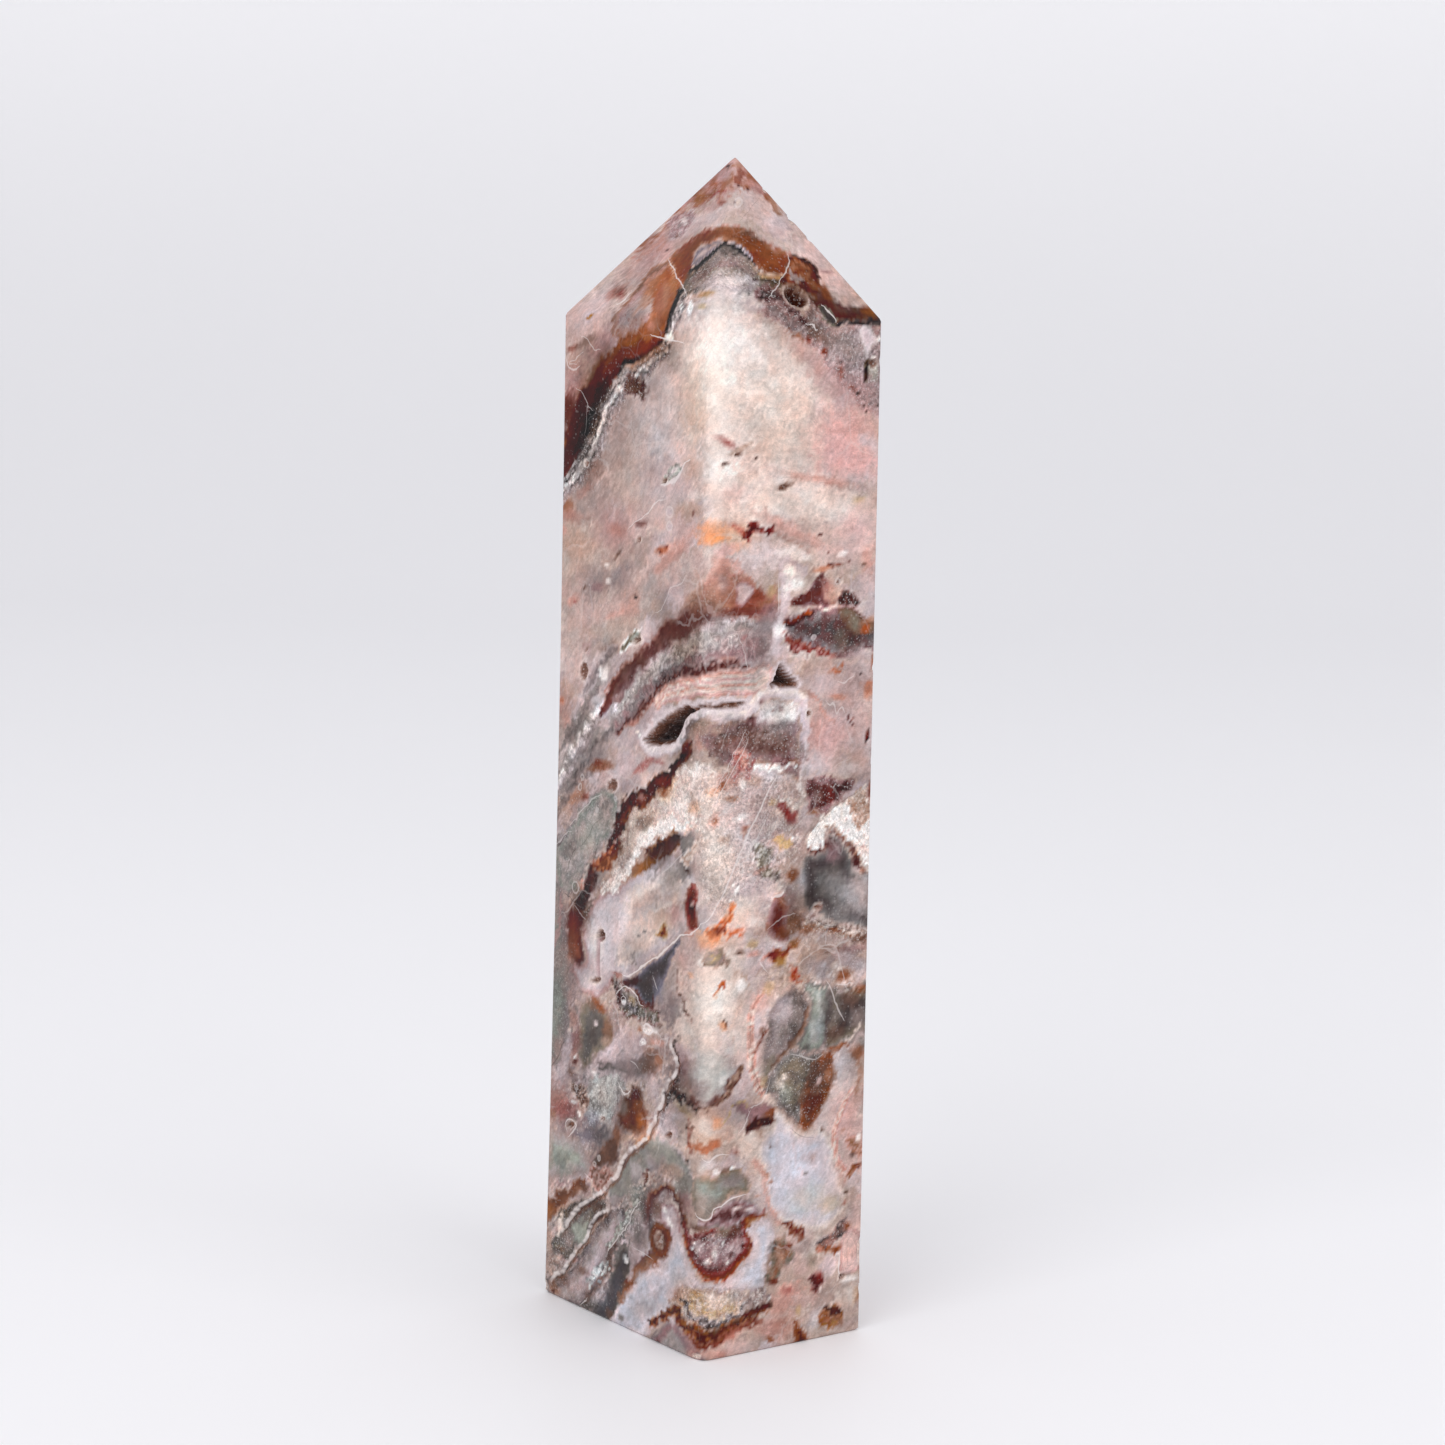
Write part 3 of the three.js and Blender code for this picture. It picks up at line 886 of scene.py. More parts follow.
    def hollow(self, mark: Hollow) -> None:
        """Sinks a cavity with rough crystal walls and paints its rim and its inside, which darkens inward
        as painted shade.
        """
        outline = smooth_path(mark.outline, closed=True)
        near = self.near(outline, mark.rim + 2.0)
        across = self.across[near] + HOLLOW_STRAY * self.wander[near, 0]
        height = self.height[near] + HOLLOW_STRAY * self.wander[near, 1]
        inside = inside_distance(across, height, outline)
        if mark.rim > 0.0:
            scallop = mark.rim * (1.0 + 0.9 * self.mottles[0][near])
            cover = smoothstep(-scallop - 0.45, -scallop + 0.3, inside)
            self.lay(near, Pigment.PALE_LILAC.shade, cover * 0.85)
            self.texture(near, cover, Grain.PLAIN, inside, across)
        cover = smoothstep(0.0, 0.35, inside)
        self.lay(near, self.shade_at(mark.inside, inside), cover)
        self.texture(near, cover, Grain.CRYSTALS, inside, across)
        rough = 1.0 + 0.35 * self.mottles[0][near] + 0.2 * self.mottles[3][near]
        sunk = mark.depth * smoothstep(0.0, mark.wall, inside) * rough
        self.depth[near] = np.maximum(self.depth[near], sunk)

    def draw(self, marks: tuple) -> None:
        """Draws markings in order, each by its own kind."""
        makers = {
            Wash: self.wash,
            Patch: self.patch,
            Band: self.band,
            Vein: self.vein,
            Bubble: self.bubble,
            Hollow: self.hollow,
            Streaks: self.streaks,
            ToneAndShade: self.tone_and_shade,
        }
        for mark in marks:
            makers[type(mark)](mark)

    def pit(self, pit: tuple[float, ...], inside: Pigment, rim: float) -> None:
        """Sinks one small rough oval: (across, height, half length, half height, turn, depth)."""
        near = self.near(np.array([pit[:2]]), max(pit[2:4]) + 1.5)
        away = np.hypot(*self.oval(near, pit, PIT_STRAY))
        inward = (1.0 - away) * min(pit[2:4])
        if rim > 0.0:
            pale = (0.4 + 0.35 * self.mottles[1][near]) * smoothstep(-rim - 0.3, -rim + 0.15, inward)
            self.lay(near, Pigment.CREAM.shade, np.clip(pale, 0.0, 1.0))
        cover = smoothstep(-0.1, 0.25, inward)
        self.lay(near, inside.shade, 0.85 * cover)
        along = self.across[near] - pit[0] + PIT_STRAY * self.wander[near, 0]
        self.texture(near, cover, Grain.CRYSTALS, inward, along)
        self.depth[near] = np.maximum(self.depth[near], pit[5] * smoothstep(1.05, 0.45, away))

    def groove(self, path: Points, opening: float, depth: float) -> None:
        """Sinks an open crack, with a ragged pale bank on its right and painted shadow on its left."""
        sized = tuple((point[0], point[1], opening / 2.0) for point in path)
        line = smooth_path(sized, closed=False, steps=3)
        near = self.near(line, 3.5)
        across = self.across[near] + CRACK_STRAY * self.wander[near, 0]
        height = self.height[near] + CRACK_STRAY * self.wander[near, 1]
        distance, side, along, _ = path_distance(across, height, line)
        ends = smoothstep(0.0, 3.0, along) * smoothstep(along.max(), along.max() - 3.0, along)
        ragged = (0.75 + 0.8 * self.mottles[0][near] + 0.4 * self.mottles[3][near]).clip(0.05, 1.6)
        bank = ragged * smoothstep(0.6, 0.1, np.abs(side + BANK_SIDE)) * ends
        self.lay(near, Pigment.MILK.shade, 0.5 * np.clip(bank, 0.0, 1.0))
        # Painted shadow of the crack: an umber band and a dark line on its left side
        shadow = ends * (1.1 - 0.6 * ragged) * smoothstep(0.8, 0.1, np.abs(side - SHADOW_SIDE))
        self.lay(near, Pigment.UMBER.shade, 0.6 * np.clip(shadow, 0.0, 1.0))
        reach = ends * ragged.clip(0.0, 1.0) * smoothstep(1.4, 0.7, np.abs(side + BANK_SIDE))
        half = np.full(len(near), BANK_LINE_HALF)
        self.line(near, side + BANK_SIDE, half, reach, Vein(path=()))
        from_line = side - DARK_LINE_SIDE
        reach = 0.8 * ends * ragged.clip(0.0, 1.0) * smoothstep(1.2, 0.6, np.abs(from_line))
        half = np.full(len(near), DARK_LINE_HALF)
        self.line(near, from_line, half, reach, Vein(path=(), white=False))
        sunk = depth * ends * smoothstep(opening * 1.1, opening * 0.2, distance)
        self.depth[near] = np.maximum(self.depth[near], sunk)

    def relief(self) -> None:
        """Sinks every cavity, pit and chip and the crack, where the solid has them."""
        for hollow in (LONG_CAVITY, CORNERED_CAVITY, REAR_CAVITY):
            self.hollow(hollow)
        for pit in PITS:
            # A pit's inside is cocoa brown, painted bark brown in the deep one as shade
            self.pit(pit, Pigment.BARK if pit[5] > SHADED_PIT_DEPTH else Pigment.COCOA, PIT_RIM)
        for chip in CHIPS:
            self.pit(chip, Pigment.CREAM, 0.0)
        tail = smooth_path(PIT_TAIL, closed=False)
        near = self.near(tail, 2.0)
        distance, _, _, _ = path_distance(self.across[near], self.height[near], tail)
        self.lay(near, Pigment.DUSK.shade, 0.6 * smoothstep(0.7, 0.2, distance))
        self.depth[near] = np.maximum(self.depth[near], 0.5 * smoothstep(0.6, 0.1, distance))
        self.groove(CRACK, CRACK_OPENING, CRACK_DEPTH)
        self.groove(CRACK_BRANCH, CRACK_OPENING, BRANCH_DEPTH)


# Plain names of the pigments, in their order above
(
    MILK, IVORY, WHITE, CREAM, LILAC, HAZE, PALE_LILAC, BLUE_MILK, PINK, BLUSH, SALMON, PEACH, GLOW,
    ROSE, DUSK, CLAY, BEIGE, SAND, TAUPE, DOVE, GREIGE, PEWTER, SAGE, MINT, FROST, OLIVE, SLATE, SMOKE,
    STORM, TEAL_DARK, PITCH, BARK, UMBER, RUST, AMBER, BURNT, COPPER, OCHRE, KHAKI, COCOA, FAWN, WINE,
    PLUM, MAROON, BRICK, RED, EMBER,
) = Pigment

# Markings, read off the laid-out faces. The front edge is at 0 across, in millimetres

POINT_GROUND = (
    *ovals(Wash,
        (-36, 171, 12, 6, PINK), (-34, 175, 7, 3, LILAC, 0.6, 30), (-18, 184, 9, 3.5, ROSE, 0.8, 28),
        (-6, 189, 9, 2, LILAC, 0.7, 18), (8, 190, 9, 2.4, LILAC, 0.75, -25),
        (22, 181, 9, 2, PINK, 0.8, -36), (-40, 161, 4, 5, ROSE, 0.85), (-31, 168, 6, 2.5, DUSK, 0.7, 25),
    ),
    Patch(((-16, 190.5), (-12, 191.8), (-8, 191.4), (-5, 192.4), (-1, 192.6), (2, 194), (5, 194.4),
        (8.5, 192.6), (7, 197), (0, 203), (-8, 199)), ((0, ROSE), (2, CLAY), (4, ROSE)), soft=0.9,
        wander=1.2, grain=Grain.FAINT_SPECKS, mottle=(RUST, 0.3, 1)),
    *ovals(Wash,
        (-8.4, 193, 2.0, 1.2, AMBER, 0.75, 12), (-4, 191.5, 3.5, 0.8, ROSE, 0.5, 12),
        (-1.9, 192, 1.1, 0.5, BRICK, 0.6), (-0.5, 195.8, 1.6, 0.8, RUST, 0.7, 15),
    ),
    Patch(((0.2, 196.8), (1.2, 198.2), (2.6, 197.4), (2.4, 196), (3.4, 195.4), (1.6, 194.6),
        (0.2, 195.4)), ((0, CLAY), (0.6, BRICK)), wander=0.9, strength=0.85),
    Band(((-5.6, 193.1, 0.15), (-3.4, 193.7, 0.3), (-1.4, 194.1, 0.2)), ((0, RED),), strength=0.6),
    Band(((-25, 184.8, 0.5), (-20, 186.4, 0.9), (-16, 188.8, 0.6), (-12.5, 191, 0.7)), ((-1, CLAY),
        (0, RUST), (1, CLAY)), soft=0.7, wander=1.2, strength=0.8, mottle=(ROSE, 0.5, 1)),
    Band(((-26, 182.8, 0.4), (-21, 184.2, 0.7), (-16, 185.7, 0.5)), ((0, CLAY),), soft=0.6, wander=1.2,
        strength=0.7),
    Patch(((-15.8, 190), (-13, 190.6), (-9.5, 191), (-8.8, 189), (-10.5, 188), (-12.4, 186.4),
        (-14.6, 186.2), (-16.2, 188)), ((0, DUSK), (1.4, DUSK), (2, GREIGE)), soft=0.7, wander=1.0,
        strength=0.8, grain=Grain.SUGAR, mottle=(PALE_LILAC, 0.35, 3)),
    *ovals(Wash,
        (-28.5, 176.9, 3.0, 1.1, BRICK, 0.6, 12), (-26.9, 176.6, 1.0, 0.9, RED, 0.6),
    ),
    Patch(((-36.9, 172.4), (-35.6, 173.1), (-34.5, 172.9), (-35.4, 172.3)), ((0, OCHRE),), soft=0.25,
        wander=0.3),
    *ovals(Wash,
        (-40.8, 167.4, 1.7, 0.6, BRICK, 0.5, 8), (-36.5, 168.6, 3.4, 0.8, COCOA, 0.45, 20),
    ),
    Vein(((-28.2, 174.6, 0.05), (-26.2, 175.5, 0.12), (-24.2, 177.1, 0.05))),
    Vein(((-42.9, 166.4, 0.1), (-42.2, 164.6, 0.16), (-40.7, 163.8, 0.16), (-38.7, 164.3, 0.08)),
        strength=0.7),
    Vein(((-41.6, 165.3, 0.06), (-39.6, 165.6, 0.1), (-37.6, 166.9, 0.05)), strength=0.6),
    Vein(((-38.4, 169.6, 0.06), (-36.2, 168.9, 0.1), (-34.4, 167.3, 0.1), (-32.3, 167.4, 0.05)),
        strength=0.5),
)

CHEVRON = (
    # The mauve field between the thin brown outline and the orange
    Patch(((-14.8, 182), (-17, 181.1), (-19.5, 180.1), (-22, 178.2), (-24.5, 176), (-27.5, 173.6),
        (-29.5, 171.4), (-28, 169.3), (-24, 168.5), (-20, 169.5), (-16, 172), (-13, 177.5)), ((0, FAWN),
        (0.8, ROSE), (3, TAUPE)), soft=0.5, wander=1.0, mottle=(FAWN, 0.35, 2), grain=Grain.FAINT_SPECKS),
    Band(((-14.6, 182.2, 0.35), (-17, 181.1, 0.4), (-19.5, 180.1, 0.45), (-22, 178.1, 0.35),
        (-24.4, 176.0, 0.25)), ((-1, FAWN), (1, COCOA)), wander=0.5, strength=0.85),
    # The orange-brown band of the wide face
    Patch(((-14.6, 181.6), (-12, 179.5), (-10.4, 178.2), (-10.8, 176), (-12, 173.5), (-13, 171),
        (-14.2, 168.9), (-17, 167.5), (-21, 166), (-24.5, 165.3), (-27, 164.4), (-30, 162.6), (-33, 160),
        (-36, 160.6), (-34.5, 163), (-31.5, 165.4), (-28, 168.2), (-24.5, 170.1), (-21, 170.9),
        (-18, 172.3), (-17.7, 175), (-18.2, 177.5), (-17, 179.6)), ((0, FAWN), (0.7, RUST), (1.8, RUST),
        (3, FAWN)), soft=0.5, wander=0.9, mottle=(COCOA, 0.22, 2)),
    Band(((-13.6, 170, 0.5), (-16, 168.4, 0.9), (-20, 167.2, 1.4), (-24, 166.8, 1.6), (-28, 165.6, 1.5),
        (-32, 163, 1.6)), ((-1, RUST), (0, UMBER), (1, UMBER)), soft=0.9, wander=0.8, strength=0.75,
        mottle=(RUST, 0.35, 2)),
    Band(((-15.6, 177.5, 0.7), (-15.8, 175, 1.1), (-14.8, 172.5, 0.7)), ((0, BRICK),), soft=0.9,
        strength=0.6),
    *ovals(Wash,
        (-17.5, 171.2, 1.5, 0.9, CLAY, 0.7, 20), (-12.2, 173.2, 0.6, 2.6, COCOA, 0.7, -22),
    ),
    # The orange-brown band over the front edge and on down the narrow face
    Patch(((14.4, 183.4), (10.5, 184.6), (8, 185.9), (5, 187.2), (2, 187.9), (-2.5, 187.8), (-5.5, 187.2),
        (-8.5, 186), (-11, 184.8), (-13.5, 183.5), (-14.7, 182.2), (-13, 180.9), (-11.6, 179.1),
        (-10.3, 178.2), (-9, 179.4), (-7.9, 180.9), (-7.5, 182.7), (-6.7, 183.9), (-4.8, 184.8),
        (-2.3, 185.3), (0.5, 185.4), (3, 184.6), (5, 183), (6.6, 181.9), (8.4, 180.6), (11, 180),
        (13.2, 180.2), (14.2, 181.8)), ((0, CLAY), (0.4, FAWN), (0.9, RUST), (1.9, RUST)), soft=0.4,
        wander=0.6, mottle=(BRICK, 0.2, 2)),
    Band(((3, 186.9, 0.3), (5.6, 186.6, 0.5), (8, 185.3, 0.3)), ((0, COCOA),), soft=0.5, strength=0.7),
    # The pale blue lens under it
    Patch(((-7.4, 181.8), (-6.6, 183.1), (-4.6, 184.2), (-2.2, 184.8), (1.2, 185.2), (3.2, 184.5),
        (5, 183.3), (5, 182.9), (3.3, 183.7), (1, 184.5), (-1, 184.1), (-3, 183.2), (-5, 181.9),
        (-6.7, 181)), ((0, HAZE), (0.8, LILAC)), soft=0.3, wander=0.3),
    # Grey speckle below the dark line
    Patch(((-8.8, 179.3), (-6.5, 180.5), (-4, 181.4), (-1.5, 182.9), (1, 183.2), (4, 182.6), (7, 181.2),
        (9, 178.6), (8, 176.6), (4, 176.8), (0, 177.2), (-3, 177.6), (-6, 176.3), (-8.6, 177)),
        ((0, PEWTER), (1, GREIGE), (2.6, DOVE)), soft=0.7, wander=0.9, grain=Grain.SUGAR, mottle=(OLIVE,
        0.35, 1)),
    *ovals(Wash,
        (2, 177.2, 3.5, 1.6, PALE_LILAC), (-4.2, 180.1, 1.7, 0.7, COCOA, 0.7, 15),
        (-2.6, 176.3, 2.4, 0.6, OCHRE, 0.6, 8), (-3.4, 174.2, 1.6, 0.5, KHAKI, 0.6),
    ),
    Patch(((-0.6, 184.2), (1.5, 184), (3.5, 183.5), (5.5, 182.6), (7.2, 181.6), (6, 181), (4, 181.7),
        (2, 182.3), (0, 182.7), (-1.2, 183.1)), ((0, PEWTER), (0.6, SLATE), (1, STORM)), wander=0.3),
    Band(((7.0, 181.7, 0.12), (5.2, 182.8, 0.2), (3.2, 183.8, 0.22), (1.6, 184.2, 0.25),
        (0.1, 184.5, 0.45), (-1.5, 183.9, 0.5), (-3.2, 182.9, 0.5), (-4.8, 181.9, 0.5), (-6, 181, 0.42),
        (-7.5, 180.4, 0.3), (-8.5, 180.1, 0.15)), ((0, TEAL_DARK),), soft=0.22, wander=0.3),
    Band(((-8.3, 179.9, 0.5), (-9.2, 178.4, 0.6), (-9.6, 177.4, 0.3)), ((0, SLATE),), soft=0.4,
        wander=0.3, strength=0.8),
    Band(((-9.2, 177, 0.35), (-10.2, 176.7, 0.8), (-11, 174.9, 0.7), (-12, 172.7, 0.6), (-13, 170.7, 0.4),
        (-13.9, 169, 0.35), (-15.5, 168.1, 0.45), (-18, 167, 0.6), (-20.5, 165.8, 0.6),
        (-22.5, 165.5, 0.5), (-24.8, 165, 0.6), (-27, 163.6, 0.9)), ((-1, BARK), (-0.2, PITCH),
        (0.6, TEAL_DARK), (1, SLATE)), soft=0.3, wander=0.35),
    # The wide dark end of the band at the left edge
    Patch(((-25, 165.2), (-28, 162.4), (-31.5, 158.8), (-33.8, 154.6), (-36, 150.3), (-40.5, 147),
        (-48, 142.6), (-48.5, 150), (-44.5, 151.6), (-42, 153.8), (-40.6, 156.5), (-38.6, 159.2),
        (-36, 161), (-33.5, 162.4), (-30, 164.3), (-27.5, 165.8)), ((0, BRICK), (1.0, UMBER),
        (2.4, BARK)), soft=0.9, wander=0.8, mottle=(UMBER, 0.5, 2)),
    *ovals(Wash,
        (-41.4, 155.6, 3.4, 3.4, MAROON, 0.85, -35), (-43, 157.4, 2.2, 2.4, BRICK, 0.7),
        (-35.6, 158.4, 2.6, 1.4, UMBER, 0.7, 35), (-45, 150.4, 2.4, 1.6, UMBER, 0.7, 35),
        (-33, 163, 2.4, 0.9, UMBER, 0.7, 35), (-43.4, 151.1, 1.1, 0.9, AMBER, 0.9, 30),
    ),
    Vein(((-39.6, 160.6, 0.04), (-37.6, 159.7, 0.08), (-35.6, 157.6, 0.08), (-34.2, 156.9, 0.04)),
        strength=0.6),
    Vein(((-36.4, 158, 0.04), (-36.2, 155.5, 0.06), (-36.8, 152.5, 0.04)), strength=0.35),
    # The two cords of sparkling quartz along it
    Band(((-8.3, 176.4, 0.5), (-9.6, 174, 1.0), (-11, 171.3, 1.0), (-12.4, 169.2, 0.8),
        (-13.6, 166.7, 1.3), (-17, 165, 1.3), (-20.5, 163.4, 1.6), (-24, 162, 2.0), (-27, 159.8, 2.5),
        (-29.5, 157.3, 2.8), (-31.3, 154.8, 2.9), (-33, 151.8, 2.9), (-35, 149, 2.7), (-38, 146.4, 2.4),
        (-41.5, 143.9, 2.1), (-47.5, 140.5, 2)), ((-1, SMOKE), (-0.82, DOVE), (-0.66, PEWTER),
        (-0.5, SMOKE), (-0.3, DOVE), (-0.12, MILK), (0.05, DOVE), (0.2, SLATE), (0.42, GREIGE),
        (0.75, TAUPE), (1, TAUPE)), soft=0.45, wander=0.8, grain=Grain.SUGAR, mottle=(PALE_LILAC, 0.3,
        3)),
    Band(((-24, 162.9, 0.3), (-27.4, 161.4, 0.45), (-30.2, 159, 0.5), (-32, 156.8, 0.5),
        (-33.4, 153.9, 0.5), (-35.2, 150.9, 0.45), (-38, 148.6, 0.4), (-42, 146, 0.3)), ((-1, PALE_LILAC),
        (0, DOVE), (1, SMOKE)), soft=0.3, wander=0.5, grain=Grain.CRYSTALS, mottle=(SLATE, 0.35, 3)),
    Patch(((-24, 163), (-20, 162.4), (-18, 160.6), (-19.5, 159.4), (-23, 159.6), (-25.4, 161)),
        ((0, TAUPE), (1, COCOA)), soft=0.6, grain=Grain.SUGAR, mottle=(WINE, 0.4, 0), wander=1.0),
    *ovals(Wash,
        (-18, 166.2, 6, 1.4, FAWN, 0.5, 20), (-22.6, 167.8, 5, 1.2, RUST, 0.7, 18),
        (-29, 164.6, 3, 1.2, RUST, 0.6, 32), (-15.4, 174, 2.4, 4, FAWN, 0.6, -15),
        (-34, 146.5, 4, 2, COCOA, 0.5, 35), (-26.5, 153.5, 3.5, 4.5, TAUPE, 0.6, -25),
    ),
    Patch(((-7.9, 175.6), (-6.6, 175.3), (-6, 174.1), (-6.8, 173.1), (-8, 173.7)), ((0, PALE_LILAC),
        (0.5, WHITE)), wander=0.8, grain=Grain.CRYSTALS),
    Patch(((-14.6, 169.4), (-12.6, 169.9), (-11, 169.3), (-12.3, 168.7)), ((0, WHITE),), soft=0.3,
        wander=0.5),
    Vein(((-17.4, 169.6, 0.06), (-15, 169.2, 0.14), (-12, 168.8, 0.14), (-8.4, 168.3, 0.05)),
        wander=0.15),
    Vein(((-15, 182.5, 0.05), (-13.8, 181.3, 0.14), (-12.6, 180.6, 0.12), (-11.5, 179.1, 0.16),
        (-10.2, 178.2, 0.14), (-9.2, 177.3, 0.12), (-8.2, 176, 0.05))),
    # The narrow face below the band
    Patch(((4.6, 182.8), (6.6, 181.8), (8.4, 180.6), (11, 180), (13.2, 180.2), (13.4, 178.8),
        (12.4, 177.4), (10.4, 178), (8, 178.4), (6, 179.4), (3.4, 180.6)), ((0, TAUPE), (0.8, OLIVE)),
        soft=0.5, mottle=(SMOKE, 0.35, 1), grain=Grain.SUGAR),
    Band(((5.6, 182.4, 0.2), (7, 181.1, 0.35), (8.6, 180.1, 0.45), (10.6, 179.8, 0.5),
        (12.4, 179.8, 0.45), (13.3, 180.1, 0.2)), ((-1, KHAKI), (0.2, SAND), (1, CREAM)), soft=0.3,
        wander=0.4),
    Patch(((14, 183.2), (15.6, 183.4), (17.4, 183), (19.2, 181.4), (21, 179), (22.8, 177.4),
        (24.6, 176.2), (25.4, 174.6), (24.8, 173.2), (22.6, 174), (20.6, 175.4), (19, 176.6),
        (17.4, 178.4), (15.4, 178.6), (13.2, 178.6), (12.8, 179.6), (13.6, 181)), ((0, COCOA),
        (0.5, RUST), (1.3, FAWN), (2, RUST)), wander=0.5, mottle=(UMBER, 0.35, 1)),
    Band(((14.6, 183.4, 0.2), (16, 183.2, 0.3), (17.6, 182.3, 0.3), (19.3, 181.3, 0.35),
        (20.6, 179.9, 0.3)), ((0, BARK),), soft=0.3, strength=0.75, wander=0.5),
    Patch(((14.2, 181.4), (15, 180.5), (16.4, 180), (17.6, 179.3), (16.4, 179), (15, 179.2),
        (14.3, 180.2)), ((0, TAUPE), (0.4, GREIGE)), soft=0.2, wander=0.3),
    Band(((13.6, 178.4, 0.4), (16, 178.2, 0.5), (18.4, 177.4, 0.6), (20, 175.6, 0.7)), ((0, UMBER),),
        soft=0.5, strength=0.85),
    Wash(21, 174.6, (2.4, 0.9), COCOA, 0.7, -35),
    Patch(((21.4, 178.6), (23, 177.2), (25, 176), (27, 175.4), (29.6, 175.2), (32, 175.3), (34, 174.6),
        (38, 174), (38, 172.6), (32, 172.9), (29.5, 172.3), (27, 172), (25, 172), (22.6, 173),
        (20.4, 174.4), (18.6, 176), (18.8, 177.4), (20.4, 176.8)), ((0, TAUPE), (0.7, COCOA),
        (1.4, MAROON)), soft=0.5, mottle=(PLUM, 0.4, 1)),
    *ovals(Wash,
        (22.5, 177.2, 2.0, 0.8, RUST, 0.8, -45), (32.3, 174.5, 2.2, 0.9, AMBER, 0.85),
    ),
    Patch(((8, 177.8), (9.6, 178.4), (11.5, 178), (13, 177), (14.4, 175.7), (16, 174.8), (17.6, 173.5),
        (19.4, 173), (19, 171.9), (16.5, 172.2), (14.5, 173.4), (12, 174.9), (10, 175.1), (8, 176)),
        ((0, DUSK), (0.7, PLUM), (1.4, SMOKE)), soft=0.4, wander=0.8, grain=Grain.SUGAR, mottle=(LILAC,
        0.3, 3)),
    Patch(((19, 175.6), (21, 174), (23.5, 171.8), (26, 171.7), (29, 171.8), (31, 172.2), (33, 172),
        (38, 171), (38, 158), (31, 158.6), (28.5, 161), (25.5, 163), (23, 165.5), (20.5, 168),
        (17.5, 169.6), (14, 171.2), (11, 172.4), (9, 174.4), (11.5, 175.4), (15, 173.8), (17.4, 172.2)),
        ((0, ROSE), (1.4, GREIGE), (3, GREIGE)), soft=0.8, wander=0.9, strength=0.95, grain=Grain.SUGAR,
        mottle=(LILAC, 0.3, 3)),
    *ovals(Wash,
        (27.5, 169, 4.6, 2.4, TAUPE, 0.7, -35), (31.4, 161.6, 3, 3.4, ROSE, 0.6, -30),
        (21, 170.6, 4, 1.2, COCOA, 0.5, -35),
    ),
    Band(((25.4, 172.1, 0.25), (27, 172.5, 0.3), (29, 172.1, 0.35), (31, 172.5, 0.45), (33, 172.9, 0.5),
        (37.5, 173.3, 0.6)), ((0, SMOKE),), soft=0.25, wander=0.6),
    Patch(((21.6, 175.4), (23, 174.5), (24.6, 173.8), (25.3, 172.8), (24.8, 171.9), (23.2, 172.3),
        (22, 173.5), (21.2, 174.4)), ((0, OLIVE), (0.7, SMOKE)), soft=0.25, wander=0.4),
    Vein(((21.6, 175.3, 0.05), (23, 174.1, 0.12), (24.3, 173.5, 0.14), (25.2, 172.6, 0.06))),
    Vein(((18.6, 171.9, 0.05), (20.2, 172, 0.1), (21.2, 171, 0.05))),
    Patch(((30.4, 171.9), (32, 172.1), (33.6, 170.6), (34.2, 169.6), (32.9, 169), (32, 167.4),
        (31.3, 166.4), (31, 168.5), (30.2, 170.2)), ((0, DOVE), (0.5, PALE_LILAC), (1.2, LILAC)),
        soft=0.3, wander=0.4),
    Patch(((31.2, 166.2), (32.4, 166.6), (33.5, 167.1), (33, 165.8), (32.2, 164.5), (32, 163.2),
        (31.1, 163), (30.9, 164.5)), ((0, OLIVE), (0.5, BARK)), soft=0.3, wander=0.5),
    *ovals(Wash,
        (33.4, 164.8, 1.1, 1.6, MINT, 0.7), (34.4, 170.1, 0.6, 0.4, WHITE, 0.9),
        (33.3, 167, 0.5, 0.35, WHITE),
    ),
    Vein(((13.6, 183.4, 0.06), (14, 181.9, 0.14), (13.2, 180.4, 0.12), (12.3, 178.5, 0.12),
        (11.3, 176.8, 0.12), (10.8, 176, 0.05)), strength=0.8),
    *ovals(Wash,
        (18.3, 172.2, 1.1, 0.5, WINE, 0.95, -15), (9.2, 175.9, 0.9, 0.4, BARK, 0.8, 15),
        (7.4, 178.9, 0.4, 0.35, BARK, 0.9), (27, 163.4, 4.5, 2.4, ROSE, 0.45, -30),
    ),
    Band(((15.4, 171, 0.25), (17, 170.3, 0.45), (18, 169.6, 0.3)), ((0, FAWN),), soft=0.3, wander=0.8,
        strength=0.8),
    *ovals(Wash,
        (19.3, 169.5, 0.8, 0.6, BRICK, 0.85), (22.7, 167.5, 0.8, 0.6, BRICK, 0.9),
        (22.4, 167.7, 0.3, 0.25, EMBER, 0.9), (26.3, 164.2, 0.7, 1.1, BRICK, 0.55),
        (26.1, 166, 0.3, 0.25, BARK), (28.8, 161.8, 0.9, 0.4, BRICK, 0.6, -30),
        (30, 160.9, 0.45, 0.35, BARK, 0.9), (31.3, 159.2, 0.3, 0.25, BARK),
        (31.9, 158, 0.3, 0.25, MAROON), (34.2, 159, 0.3, 0.25, BARK),
    ),
)

